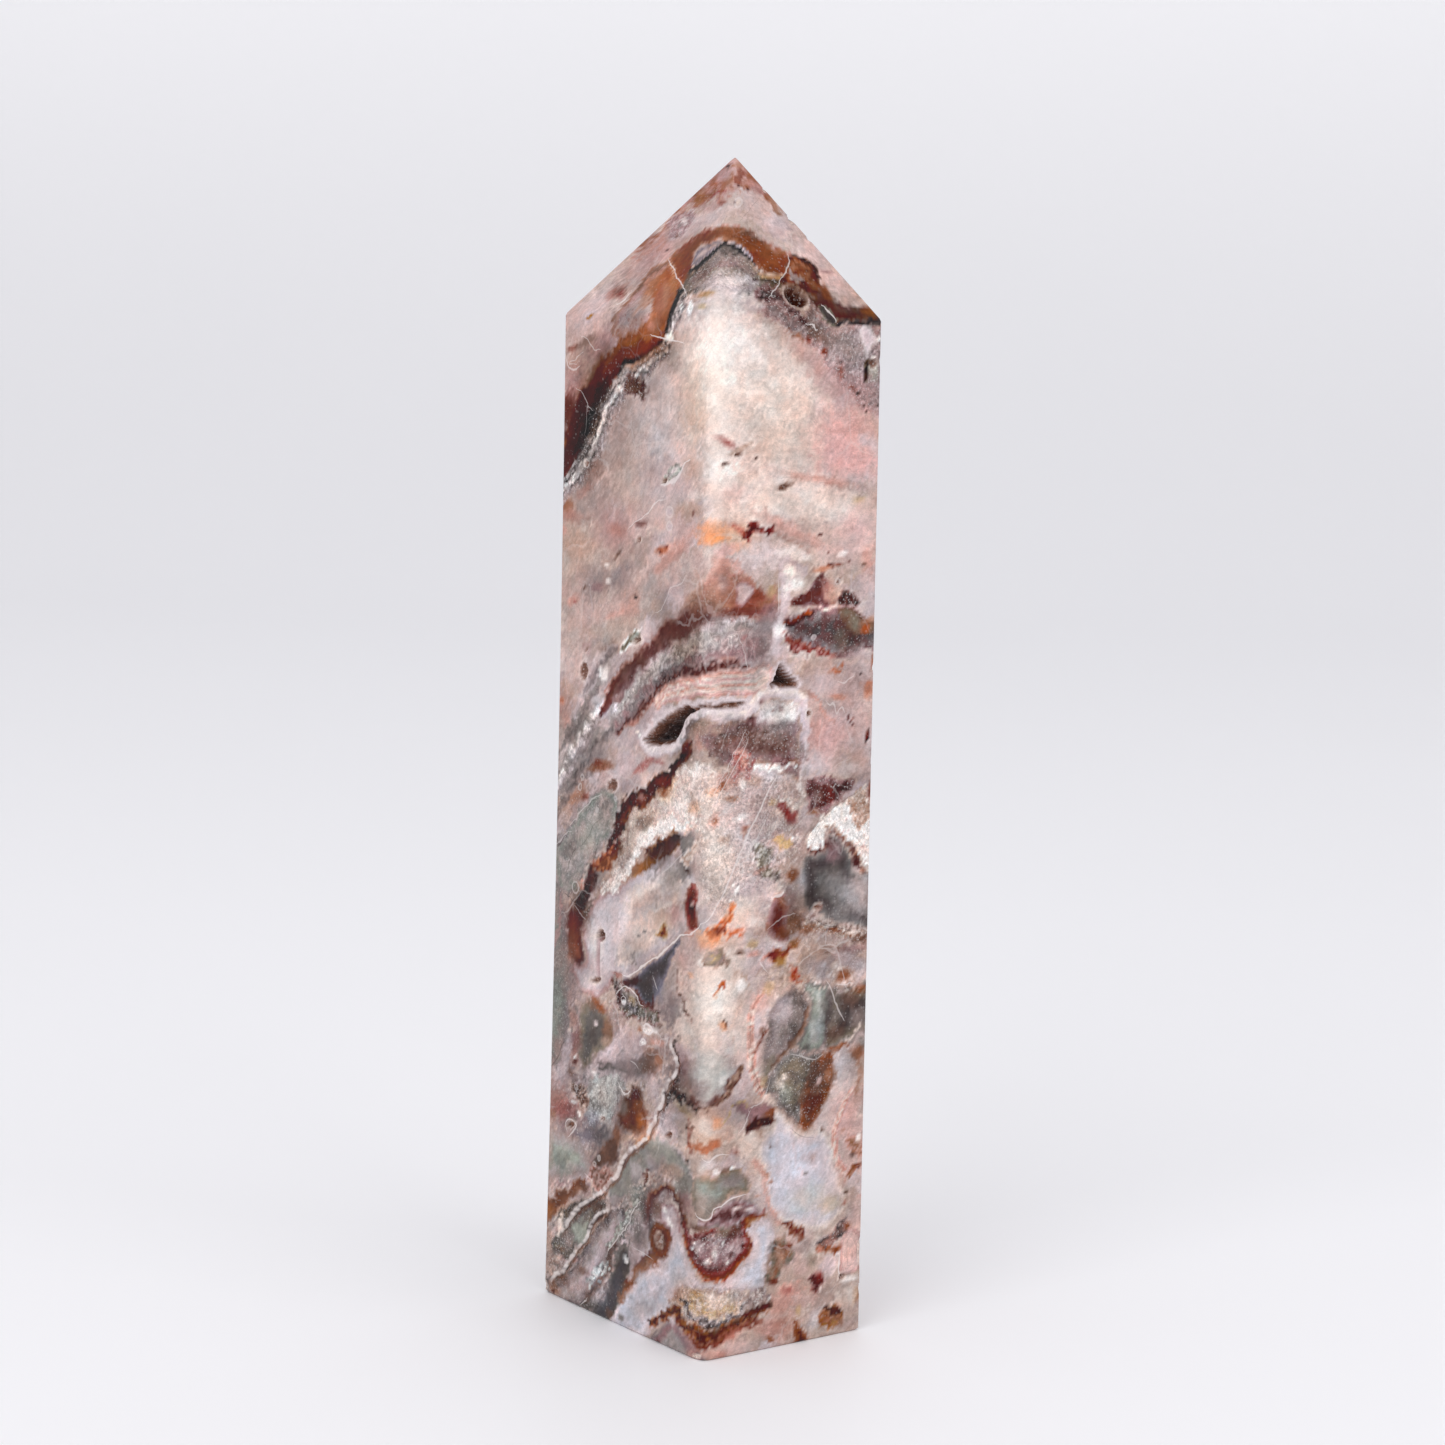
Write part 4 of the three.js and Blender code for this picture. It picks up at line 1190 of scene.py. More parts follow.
POINT_DETAIL = (
    *ovals(Wash,
        (-1.5, 198.4, 0.5, 0.35, BARK, 0.9), (-4.1, 197.4, 0.3, 0.2, WINE),
        (-15.8, 184.1, 0.35, 0.3, WINE, 0.95), (-12, 189, 1.2, 0.5, WHITE, 0.6, -30),
        (1.2, 192.1, 0.3, 0.25, WINE),
    ),
    Bubble(1.9, 192.0, 0.75, CREAM),
    *ovals(Wash,
        (1.6, 195, 0.3, 0.25, WINE), (3.6, 194.6, 0.3, 0.25, WINE),
    ),
    Band(((7, 193.6, 0.3), (8.4, 193.2, 0.5), (9.5, 192, 0.5), (11, 190.8, 0.5)), ((0, FAWN),), soft=0.5,
        wander=0.9, strength=0.7),
    Wash(22.2, 181, (1.9, 0.35), DUSK, 0.5, -8),
    Vein(((2.6, 188.6, 0.04), (5, 191.6, 0.06), (6, 193, 0.04)), white=False, strength=0.35),
    # The end of the band at the left edge: dark purple brown beside the cords, redder at the edge
    *ovals(Wash,
        (-38.4, 155.6, 2.6, 4.4, WINE, 0.6, -40), (-34.4, 155.4, 1.8, 5.4, PITCH, 0.75, -38),
        (-31.6, 159.8, 1.6, 3, BARK, 0.7, -45), (-42.2, 157, 2, 4, MAROON, 0.55, -30),
        (-33.6, 163.8, 3.6, 1.2, UMBER, 0.5, 42),
    ),
    # Its lower edge burns orange from there to the cream line
    Band(((-30.6, 163, 0.6), (-28, 165.4, 1.2), (-24.6, 167, 1.5), (-21, 167.8, 1.5), (-17.6, 168.2, 1.2),
        (-14.6, 169.6, 0.8)), ((-1, BURNT), (0.3, BURNT), (1, COPPER)), soft=0.8, strength=0.8),
    *ovals(Wash,
        (-22.4, 172, 3, 1.8, GREIGE, 0.55, 20), (-27.4, 171.6, 3, 2.4, GREIGE, 0.5, 30),
        (-17.6, 178, 3.4, 1.2, COPPER, 0.5, 38), (-12.2, 178, 1.2, 2.2, KHAKI, 0.35, 30),
    ),
    # The crest: a blue lens above the dark line, mauve brown quartz below it, then milk
    *ovals(Wash,
        (0.6, 178.2, 7, 1.3, LILAC, 0.75), (3, 178.4, 3.4, 0.8, MILK, 0.5),
    ),
    Band(((-7, 179.2, 0.7), (-4.4, 180.4, 1.0), (-1.6, 182, 1.2), (1.4, 182.6, 1.1), (4.4, 181.8, 1.0),
        (7, 180.4, 0.9)), ((-1, DUSK), (0.3, TAUPE), (1, SMOKE)), soft=0.6, wander=0.9, strength=0.6,
        grain=Grain.SUGAR),
    Patch(((-8, 181.4), (-7.4, 183), (-5.4, 184.4), (-2.8, 185.3), (-0.6, 185.6), (-0.4, 184.9),
        (-1.8, 183.9), (-3.8, 182.8), (-5.6, 181.9), (-6.8, 181.2)), ((0, LILAC), (0.4, HAZE),
        (1, LILAC)), soft=0.25, wander=0.3),
    Patch(((0.8, 185.3), (2.6, 185), (4.6, 184), (6.4, 182.8), (6, 182.5), (4, 183.7), (2.2, 184.6),
        (0.8, 184.8)), ((0, HAZE), (0.3, LILAC)), soft=0.2, wander=0.3),
    Band(((7.0, 181.8, 0.15), (5.4, 182.7, 0.25), (3.4, 183.8, 0.3), (1.6, 184.4, 0.3), (0, 184.6, 0.4),
        (-1.4, 183.8, 0.4), (-3.1, 182.8, 0.42), (-4.8, 181.7, 0.4), (-6.2, 180.9, 0.35),
        (-8.3, 180.3, 0.2)), ((-1, PITCH), (0, TEAL_DARK), (1, STORM)), soft=0.2, wander=0.3),
)


MILKY_FIELD = (
    # The clear field under the point, from greyish at the left to pink at the right. Its milk and
    # white over the front edge are partly milky quartz and partly a painted highlight
    *ovals(Wash,
        (-30, 152, 12, 12, TAUPE, 0.75, 30), (-18, 156, 9, 8, DOVE, 0.6, 30), (-22, 146, 9, 7, BEIGE),
        (-12, 146, 9, 6, LILAC, 0.7), (-10, 160, 9, 11, PALE_LILAC), (-3, 166, 6, 7, CREAM, 0.9),
        (1.5, 163, 8, 13, MILK, 0.95), (9, 161, 8, 11, MILK, 0.85, 40), (3.5, 170, 6, 3.5, MILK),
        (16, 160, 11, 8, CREAM, 0.9, -40), (17, 168, 8, 2, BEIGE, 0.6, -35),
        (23, 163.5, 10, 2.4, ROSE, 0.6, -42), (9, 153, 5, 3, SAND, 0.4), (18, 150, 9, 8, CREAM, 0.85),
        (0.5, 166, 4, 8, WHITE, 0.7), (27, 153, 7, 6.5, BLUSH, 0.95, -20), (29, 149.5, 7, 3, BLUSH),
        (31, 155, 4, 3, SALMON, 0.4), (32.5, 153, 2.5, 1.4, LILAC, 0.6, -20), (-40, 134, 7, 4, SAND),
        (-42, 129, 5, 3, BEIGE), (-33, 141, 6, 2.4, TAUPE, 0.6, 30), (-43, 140.3, 3.2, 1.2, FAWN, 0.9),
        (-41, 138.6, 4.5, 1.3, CLAY, 0.7), (-36.5, 143.2, 3, 0.9, CLAY, 0.6, 25),
        (-43.2, 136, 1.6, 1, SALMON, 0.7), (-27, 137, 6, 4, ROSE, 0.75),
        (-26.5, 137, 2.5, 1.3, CLAY, 0.6), (-20, 138.8, 4, 2.6, PINK),
        (-33, 128, 5, 3, GREIGE, 0.65, 15), (-32.5, 127, 2.2, 1, DUSK, 0.6),
        (-26, 129, 4, 2, GREIGE, 0.6, 30), (-39.8, 124.2, 2.0, 0.9, SALMON, 0.85, 15),
        (-39.3, 124.1, 0.4, 0.3, RED, 0.9), (-40, 118, 6, 5, BEIGE, 0.7),
        (-30, 123, 8, 2, PINK, 0.6, 15), (-27, 122.6, 3, 0.7, SALMON, 0.5, 20),
        (-22, 124.5, 4, 2.4, SALMON, 0.5, 20), (-16, 128, 5, 2.6, DOVE, 0.7, 35),
        (-9, 126.5, 4, 2.6, LILAC), (-11, 133, 6, 1.2, CLAY, 0.6, 28),
        (-9, 135.5, 6, 1.4, SALMON, 0.5, 25), (-8, 138.5, 5, 2, PINK, 0.7), (-6, 141, 4, 1.4, SAND, 0.7),
        (-5.5, 148, 3, 2, SAND, 0.5), (-3, 133, 3, 2.2, PINK, 0.7),
    ),
    # Milky quartz over the front edge and the narrow face, with a painted highlight and a painted
    # orange glow of light on the edge itself
    *ovals(Wash,
        (1.5, 147, 3.4, 4.6, MILK, 0.9, 15), (4.6, 153.5, 4, 2, MILK, 0.6), (8, 143, 8, 4, CREAM),
        (0, 140.5, 2.6, 1.4, MILK, 0.6), (5.5, 143.7, 4.2, 1.8, BLUSH, 0.45),
        (0, 138.2, 4, 1.8, PEACH, 0.7), (0.2, 137, 3, 1.5, PEACH, 1.0), (0.8, 137, 1.4, 0.7, GLOW, 0.9),
        (0, 134.6, 3, 1, CREAM, 0.6), (13, 143, 9, 3, CREAM, 0.75), (25, 142, 10, 3.2, CREAM),
        (22, 146.6, 8, 0.8, SALMON, 0.55, -8), (30.5, 143.2, 1.6, 0.9, KHAKI, 0.5, 15),
        (31, 138, 5, 4, BLUSH, 0.5), (10, 134, 8, 2.6, PALE_LILAC, 0.75),
        (17, 138, 8, 1.2, SALMON, 0.65, -22),
    ),
    Band(((13, 138.4, 0.3), (15, 137, 0.3), (17, 135.8, 0.3), (20, 134.7, 0.3)), ((0, CLAY),), soft=0.5,
        strength=0.4),
    *ovals(Wash,
        (17.5, 134.2, 4, 1.2, MILK, 0.7, -10), (27, 134, 6, 2.5, PINK, 0.6),
        (33, 133, 1.5, 2.5, SALMON, 0.6), (2.3, 152.6, 2.4, 0.7, RED, 0.55, -18),
        (3.0, 152.4, 0.8, 0.35, RED, 0.5), (5.3, 151.3, 2.6, 0.5, SAND, 0.8, 25),
        (14.8, 145.6, 2.1, 0.6, COCOA, 0.75, 18), (8.8, 150, 0.4, 0.3, COCOA),
    ),
    # Red blot on the narrow face
    Patch(((4.2, 139.2), (5.5, 138.3), (6.6, 138.5), (7.2, 139.5), (8.4, 139.9), (9.6, 139.4),
        (10.5, 138.6), (12, 138.7), (13, 138.9), (12.8, 137.7), (11.8, 137.6), (10.4, 138.1), (8.6, 138),
        (8, 137.1), (7, 136.4), (6.2, 137), (5, 137.9)), ((0, RED), (0.5, BRICK), (1, RED)), soft=0.3,
        mottle=(WINE, 0.35, 0)),
    *ovals(Wash,
        (6.6, 137.4, 1.8, 0.6, RED, 0.6, -40), (5.2, 138.5, 2, 0.8, SALMON, 0.6, -30),
    ),
    # Pale fault and ring of crystal on the wide face
    Patch(((-13.8, 145), (-12.4, 145.3), (-10.6, 145.8), (-9.4, 146.4), (-8.3, 147.8), (-9.1, 148.6),
        (-10.6, 148.2), (-12, 147.3), (-13.2, 146.4)), ((0, MINT), (1, PALE_LILAC)), soft=0.3, wander=0.6,
        mottle=(PEWTER, 0.3, 0), grain=Grain.CRYSTALS),
    Vein(((-14, 144.8, 0.2), (-12, 145.2, 0.3), (-10, 145.6, 0.3), (-8.8, 146.7, 0.2),
        (-7.9, 148.3, 0.15), (-5.6, 149.4, 0.05)), wander=0.5),
    Vein(((-23.5, 137, 0.05), (-21, 138.6, 0.09), (-18, 139.9, 0.1), (-16, 141.4, 0.13),
        (-14.6, 142.3, 0.13), (-13, 142.6, 0.05)), strength=0.8),
    *ovals(Wash,
        (-19.5, 138.4, 1.9, 0.6, MAROON, 0.5), (-13.3, 134.3, 1.8, 0.8, EMBER, 0.65, 10),
        (-13.9, 134, 0.6, 0.35, BRICK, 0.9, -40), (-12.2, 134.8, 0.5, 0.3, BRICK),
        (-4.8, 140.7, 0.3, 0.5, MAROON, 0.7), (-20.9, 126, 0.6, 0.3, BARK, 0.95, -20),
        (-35.3, 116.3, 1.6, 1.2, ROSE, 0.7), (-26.2, 132.8, 1.6, 0.35, COCOA, 0.7, 40),
        (-36.3, 126.6, 0.9, 0.35, COCOA, 0.7, 35), (-28.9, 128.1, 0.9, 0.5, WHITE),
        (-29.5, 130.8, 0.9, 0.35, WHITE, 0.7),
    ),
    Bubble(-11.4, 140.7, 0.9, LILAC),
    Bubble(-11.5, 138.3, 0.8, LILAC),
    Bubble(-36.1, 147.8, 0.75, SLATE),
    Vein(((-15, 124, 0.05), (-13.3, 124.8, 0.1), (-11.5, 126.8, 0.12), (-10.6, 128.2, 0.1),
        (-8, 129, 0.1), (-6.6, 130.6, 0.05)), strength=0.5),
    Vein(((-6.2, 133.2, 0.05), (-4.8, 136, 0.06), (-3, 134.8, 0.08)), strength=0.35),
)

ARCHES = (
    # Left of the arches: lilac and silver with dark shadows
    *ovals(Wash,
        (-32, 112, 4, 5, GREIGE, 0.8, 40), (-30, 115, 3.5, 3, DOVE, 0.8, 40),
        (-28.5, 116.8, 3, 1.3, COCOA, 0.45, 20), (-30.5, 112, 1.4, 2.2, MILK, 0.85, -30),
        (-33, 106, 6, 2, DOVE, 0.8, 35), (-36, 102, 7, 3, PEWTER, 0.75), (-42.5, 106, 3, 3.4, CLAY, 0.5),
        (-43.5, 106.5, 1.1, 0.6, EMBER, 0.5), (-40.5, 103, 2.5, 1.2, SALMON, 0.5),
        (-25, 104, 5, 2, GREIGE, 0.7, 20), (-22, 102, 7, 1.6, LILAC, 0.7, 15),
        (-17, 105.5, 5, 1.6, LILAC, 0.9, 30), (-13, 108.5, 3.6, 1.4, LILAC, 0.9, 30),
    ),
    Band(((-47, 88, 1.2), (-43, 93, 1.5), (-39.5, 97.6, 1.6), (-36, 101.4, 1.7), (-32.6, 104.6, 1.8),
        (-29.4, 107.4, 1.4)), ((-1, GREIGE), (-0.3, PALE_LILAC), (0.3, MILK), (1, PEWTER)), soft=1.1,
        wander=1.0, strength=0.8, grain=Grain.SILK, mottle=(SLATE, 0.35, 1)),
    Band(((-46, 84, 0.8), (-41.6, 90, 1.1), (-37.6, 94.6, 1.2), (-33.6, 98.6, 1.2), (-29.6, 101.8, 1.2),
        (-26, 104.4, 0.8)), ((-1, TAUPE), (0, SMOKE), (1, PEWTER)), soft=1.1, wander=1.1, strength=0.65,
        mottle=(DOVE, 0.4, 1)),
    Band(((-45.6, 95.6, 0.6), (-42, 100, 0.9), (-38.4, 103.6, 1.0), (-35, 107, 1.0), (-32, 110.6, 0.8)),
        ((-1, SMOKE), (0.4, PEWTER), (1, LILAC)), soft=1.0, wander=1.1, strength=0.6, grain=Grain.SILK),
    Band(((-36.4, 108.6, 0.5), (-33.4, 112, 0.9), (-30.6, 114.8, 1.0), (-27, 117, 0.8)), ((-1, SMOKE),
        (0, GREIGE), (1, PALE_LILAC)), soft=0.9, wander=1.0, strength=0.6, grain=Grain.FAINT_SILK),
    # Upper brown arch with its blurred underside
    Band(((-31, 105.5, 1.0), (-27.5, 109.5, 1.8), (-24.5, 112, 2.0), (-21.3, 114.2, 2.0),
        (-18, 116.3, 1.9), (-15, 118.2, 1.9), (-12, 120.4, 2.2), (-9, 121.6, 2.6), (-6, 122.6, 2.1),
        (-3, 124.2, 1.8), (0, 125, 2.2)), ((-1, GREIGE), (-0.6, PLUM), (-0.1, MAROON), (0.4, MAROON),
        (0.75, CLAY), (1, LILAC)), soft=1.1, wander=0.8, mottle=(COCOA, 0.25, 2)),
    *ovals(Wash,
        (-3, 126.4, 5, 2.4, FAWN, 0.7, 20), (-8.4, 122.4, 5, 1.6, MAROON, 0.6, 30),
    ),
    Patch(((-26.6, 110.4), (-24.2, 112.2), (-23, 112.2), (-22.4, 110.4), (-23.4, 108.9), (-25.4, 108.9)),
        ((0, FAWN), (1, MAROON)), soft=0.6, strength=0.8),
    # Silver fibrous arch
    Band(((-28, 105, 1.0), (-25, 107.6, 1.3), (-22, 110.4, 1.9), (-18.8, 113, 1.7), (-15.2, 115.3, 1.2),
        (-12, 117.2, 1.4), (-8, 118.4, 1.6), (-4, 119.6, 1.8), (-0.5, 121.2, 1.9), (2.5, 122.6, 1.7),
        (5.5, 122.8, 1.2), (9, 122.4, 0.8)), ((-1, GREIGE), (-0.4, DOVE), (0.4, PALE_LILAC), (1, TAUPE)),
        soft=1.0, wander=1.0, grain=Grain.SILK, mottle=(PEWTER, 0.4, 1)),
    # Grey-brown arch under the silver
    Band(((-26, 103.6, 1.0), (-21.5, 107.3, 1.3), (-18, 109.8, 1.3), (-15, 111.6, 1.5), (-12, 114, 1.4),
        (-8.5, 116.2, 1.2), (-4.5, 117.3, 1.2), (-1, 118.6, 1.4), (2.5, 119.6, 1.4), (6, 119.4, 2.2),
        (9.5, 118.8, 2.2)), ((-1, DUSK), (0, GREIGE), (1, DOVE)), soft=1.0, wander=0.9, mottle=(DUSK, 0.4,
        1), grain=Grain.SILK),
    # Second, speckled red-brown arch
    Band(((-25.5, 103, 0.5), (-22.4, 104.8, 0.8), (-19.8, 106.8, 1.2), (-17, 108.8, 0.9),
        (-14.6, 110.6, 0.7), (-11.8, 112.8, 0.8), (-9, 114.2, 1.0), (-5.5, 115, 1.1), (-2, 115.6, 1.1),
        (2, 116.3, 1.1), (5.4, 116.6, 0.9), (7.4, 116, 0.5)), ((-1, CLAY), (-0.2, MAROON), (0.5, PLUM),
        (1, GREIGE)), soft=0.5, wander=0.9, mottle=(PINK, 0.3, 3), grain=Grain.FAINT_SPECKS),
    *ovals(Wash,
        (-21, 105, 1.6, 0.6, SALMON, 0.7, 20), (2.6, 118, 2.6, 1.0, DUSK, 0.7),
        (3.5, 117.3, 1.4, 0.5, SALMON, 0.6),
    ),
    # Fine pink and cream lines down to the cavity
    Band(((-14, 109, 1.0), (-11, 110.8, 1.7), (-7, 111.8, 1.9), (-3, 112.6, 1.8), (1, 113.2, 2.2),
        (5, 113.3, 2.3), (8.6, 113.2, 2.6), (11, 114.4, 2.2)), ((-1, SAND), (-0.75, BLUSH), (-0.3, CREAM),
        (-0.15, SALMON), (0, CREAM), (0.3, BLUSH), (0.45, CREAM), (0.7, SALMON), (1, PINK)), soft=0.5,
        wander=0.4, grain=Grain.FAINT_LINES),
    Wash(10.6, 113.6, (2, 2.2), CREAM),
    # Arch that crosses the front edge: orange-brown over mauve, with a pale window
    Patch(((-3, 126), (-1.6, 129.5), (0, 131.6), (1.8, 133), (3.4, 132.8), (4.6, 131.6), (6.2, 130.9),
        (8, 130.7), (9.4, 129), (10.4, 128.1), (11.8, 128.6), (13.4, 129.8), (13.7, 126.6), (12.9, 124.9),
        (10, 124), (6.5, 123.6), (3, 124.2), (0, 124.2)), ((0, SAND), (0.8, CLAY), (1.8, FAWN),
        (2.8, BRICK)), soft=0.5, wander=0.6, mottle=(CLAY, 0.4, 2)),
    *ovals(Wash,
        (2, 127.6, 4.5, 2.2, FAWN), (6, 124.8, 5.5, 1.0, MAROON, 0.65),
        (9.4, 127.4, 1.8, 1.2, BRICK, 0.8, 20), (8.3, 138.6, 0.8, 0.5, WINE, 0.5),
        (2.2, 130, 1.6, 1.6, GREIGE, 0.75), (1.8, 129.2, 0.9, 0.5, WHITE, 0.4),
        (12.3, 128.3, 1.2, 1.0, KHAKI, 0.7, 30), (3, 135, 3.4, 1, BLUSH, 0.7, 20),
    ),
    Band(((-1.6, 129.6, 0.5), (0, 131.9, 0.6), (2, 133.3, 0.7), (4.4, 132.7, 0.6), (6.4, 131.2, 0.4)),
        ((0, SALMON),), soft=0.7, strength=0.7),
    Patch(((5, 129.2), (6.4, 129.9), (8, 129.3), (8.7, 128.2), (7.8, 127), (6.8, 126), (5.4, 125.9),
        (5.2, 127.4)), ((0, DUSK), (0.6, PALE_LILAC)), soft=0.4, wander=0.3),
    *ovals(Wash,
        (12, 124.6, 2.6, 1.5, DUSK, 0.7), (10.6, 122, 3.5, 2.4, GREIGE, 0.85), (10, 118, 3, 3.4, GREIGE),
        (8, 119.3, 2.6, 2, DUSK, 0.5),
    ),
    Vein(((5.2, 121.5, 0.05), (6.4, 119.6, 0.1), (7, 117.8, 0.12), (7.6, 115.6, 0.08)), strength=0.4),
    Vein(((13.7, 129.8, 0.06), (13.75, 127, 0.1), (13.7, 124.6, 0.05)), wander=0.1, strength=0.6),
    # Pale mass beside it
    Patch(((13.8, 133), (16, 133.6), (18, 133), (20, 131.8), (18.6, 129.8), (16.6, 128.2), (15.8, 126),
        (15, 123.6), (15.2, 121.6), (14.4, 119.8), (14.6, 117.6), (12.4, 118), (12.4, 121), (13.4, 123.4),
        (13.9, 126.6)), ((0, LILAC), (1.2, PALE_LILAC), (2, MILK)), soft=0.6),
    *ovals(Wash,
        (17, 129, 2.2, 1.3, WHITE, 0.9, 25), (14.4, 121.6, 1.8, 1.1, WHITE), (16, 131.6, 1, 0.9, WHITE),
    ),
    Bubble(16.2, 129, 0.6, LILAC),
    Patch(((16.2, 126.4), (18, 127.6), (20, 128.4), (21.2, 129.6), (22.8, 131.4), (23.8, 129.8),
        (25, 128), (26.6, 126.7), (25.4, 125.6), (22.8, 125.3), (20, 125.5), (17.2, 125.6)), ((0, DUSK),
        (0.7, PLUM), (1.7, PLUM)), soft=0.4, wander=0.4, mottle=(MAROON, 0.4, 1)),
    *ovals(Wash,
        (24.4, 128.2, 1.4, 2.2, CLAY, 0.8, 35), (25.6, 127.3, 1.4, 1.6, SAND, 0.7, 35),
    ),
    Patch(((26.6, 125.6), (26.6, 127.4), (27.3, 128.4), (28.8, 127.7), (30.6, 126.4), (31, 125.6),
        (29, 125.4)), ((0, MAROON), (0.5, BARK)), soft=0.3, wander=0.6, mottle=(PALE_LILAC, 0.25, 3),
        grain=Grain.SUGAR),
    # Grey sparkling island with red rims
    Patch(((15.4, 124), (17.4, 124.2), (20, 125), (24, 124.9), (27, 125.3), (29.6, 124.9), (32, 123.6),
        (34.2, 122.2), (38, 122), (38, 116.6), (33.5, 118.2), (31, 117.4), (28, 116.6), (25.4, 117),
        (22, 118), (19, 119.2), (17, 120.2), (15.4, 121.8)), ((0, DUSK), (0.8, GREIGE), (2.4, SMOKE)),
        soft=0.5, wander=0.6, mottle=(PLUM, 0.45, 1), grain=Grain.FAINT_SUGAR),
    Patch(((26.4, 124.8), (28.6, 125), (31, 124.2), (33, 123), (34.6, 122.6), (34.6, 121), (32, 120.2),
        (29.4, 121), (27.6, 122.6)), ((0, COCOA), (1, OLIVE)), soft=0.5, wander=0.5, mottle=(COCOA, 0.4,
        1)),
    *ovals(Wash,
        (32.8, 122.4, 1.9, 1.2, FAWN, 0.9, 30), (32.6, 121.3, 1.2, 0.9, EMBER, 0.85, 20),
        (31, 117.2, 3.5, 1, LILAC, 0.7), (27.4, 120, 1.8, 2, OLIVE, 0.5),
    ),
    Band(((15.6, 122.9, 0.4), (17.4, 123.4, 0.6), (19, 124.2, 0.5), (21, 124.4, 0.3)), ((-1, BARK),
        (1, EMBER)), soft=0.3, grain=Grain.FAINT_SPECKS, mottle=(WINE, 0.4, 0)),
    Band(((15.2, 121, 0.4), (16.6, 119.8, 0.9), (18.4, 118.9, 0.9), (21, 118.3, 0.8), (23.4, 117.6, 0.8),
        (25.6, 117, 0.6)), ((-1, RED), (1, BRICK)), soft=0.4, wander=0.9, grain=Grain.SPECKS,
        mottle=(PINK, 0.3, 3)),
    Bubble(19.9, 117.2, 0.6, TAUPE),
    Bubble(21.3, 120.4, 0.45, LILAC),
    Bubble(26.3, 129.7, 0.55, TAUPE),
    *ovals(Wash,
        (24.6, 132.4, 0.9, 0.4, MAROON, 0.9, -20), (26.4, 132.3, 0.9, 0.2, BRICK, 0.7),
        (28.5, 132.8, 0.35, 0.25, MAROON, 0.9), (22.3, 137.4, 0.4, 0.3, MAROON, 0.9),
        (24.3, 134.3, 0.3, 0.2, MAROON), (23, 131.8, 2.2, 0.5, EMBER, 0.45, 10),
        (27, 134.2, 1.2, 0.6, WHITE, 0.6, 20), (31.8, 132.5, 0.5, 0.3, COCOA, 0.7),
    ),
    # Pink field at the right with orange dots
    *ovals(Wash,
        (27, 112, 8, 5, PINK), (22, 113, 4, 2, LILAC, 0.7), (24, 104, 6, 4, BLUSH, 0.75),
        (32, 105, 3, 4, PINK), (21, 110.7, 1.4, 0.5, CLAY, 0.7, -30),
        (26.8, 110.2, 1.9, 0.6, EMBER, 0.35), (33.6, 111.4, 1.6, 1.6, EMBER, 0.5, 20),
        (25, 109.2, 2.6, 1, DOVE, 0.6),
    ),
    Band(((24.6, 114.8, 0.15), (26.4, 114.7, 0.25), (28, 115.6, 0.1)), ((0, EMBER),), soft=0.3,
        strength=0.6),
    Band(((21.4, 110.8, 0.2), (22.6, 109, 0.3), (24, 107, 0.3), (26, 105.6, 0.2)), ((0, SALMON),),
        soft=0.5, strength=0.7),
    Vein(((24.2, 109.6, 0.05), (25.2, 108.8, 0.12), (26, 109.4, 0.12), (26.6, 107.2, 0.12),
        (27.6, 108.6, 0.12), (28.2, 107.8, 0.05)), strength=0.6),
    Vein(((26.6, 113, 0.08), (27.8, 112.4, 0.14), (28.8, 113, 0.14), (30.2, 113.8, 0.06)), strength=0.6),
    Band(((29.2, 107, 0.12), (29.7, 105.8, 0.35), (30.4, 105.3, 0.12)), ((0, BRICK),), soft=0.25,
        strength=0.9),
    Band(((33.1, 104.4, 0.1), (33.5, 103, 0.5), (33.3, 102.2, 0.3), (33.2, 101.6, 0.2)), ((0, BRICK),
        (1, BARK)), soft=0.25, strength=0.95),
    *ovals(Wash,
        (31.6, 114, 0.4, 0.3, MAROON), (34.2, 116, 0.3, 1.2, RUST, 0.6),
    ),
    Bubble(20.6, 107.7, 0.65, GREIGE),
    # White shelf that runs from the long cavity under the cornered one
    Band(((-19.6, 102.4, 0.8), (-16.6, 100.7, 0.8), (-13, 100.9, 0.7), (-10, 101.4, 0.8),
        (-8, 102.8, 0.9), (-6.2, 105.4, 0.9), (-4.4, 107.2, 0.9), (-2, 108, 0.9), (1, 108.2, 0.9),
        (4.4, 107.7, 0.9), (7.2, 108.1, 1.0), (9.4, 110, 1.1), (11.6, 111.3, 0.9), (15, 111, 0.9),
        (18.2, 110.8, 1.0), (19.4, 109, 0.9)), ((-1, LILAC), (-0.3, PALE_LILAC), (0.5, MILK), (1, CREAM)),
        soft=0.4, wander=0.5),
    Band(((19.4, 109.4, 1.0), (19.8, 106, 1.0), (19.4, 102, 0.9), (18.6, 98, 0.8)), ((0, LILAC),
        (0.5, PALE_LILAC)), soft=0.5, wander=0.6, strength=0.85),
    Wash(-17.4, 101.4, (1.6, 0.6), WHITE, 0.8, -35),
    # Island under the shelf: pale crystal at the top, brown sugar below
    Patch(((-0.6, 107), (2, 107.2), (4, 106.9), (6, 106.9), (8.4, 107.4), (10, 109.2), (12.4, 110.3),
        (16, 110), (18.4, 109.4), (18.6, 105), (18.4, 100), (18.4, 96.4), (14, 98.6), (10, 100.4),
        (7, 99), (3.6, 99.4), (0.6, 101.2), (-2.4, 103.6), (-4, 105.6)), ((0, SAND), (1, DUSK),
        (2.4, PLUM), (4, GREIGE)), soft=0.6, wander=0.6, mottle=(GREIGE, 0.4, 1),
        grain=Grain.FAINT_SUGAR),
    *ovals(Wash,
        (6, 103.4, 5, 1.6, CLAY, 0.5), (12, 102.6, 5, 1.4, COCOA, 0.6, -10),
        (14.5, 107.5, 4, 2.4, DOVE, 0.9, -15), (16.5, 108.6, 2.2, 1.8, MILK, 0.85),
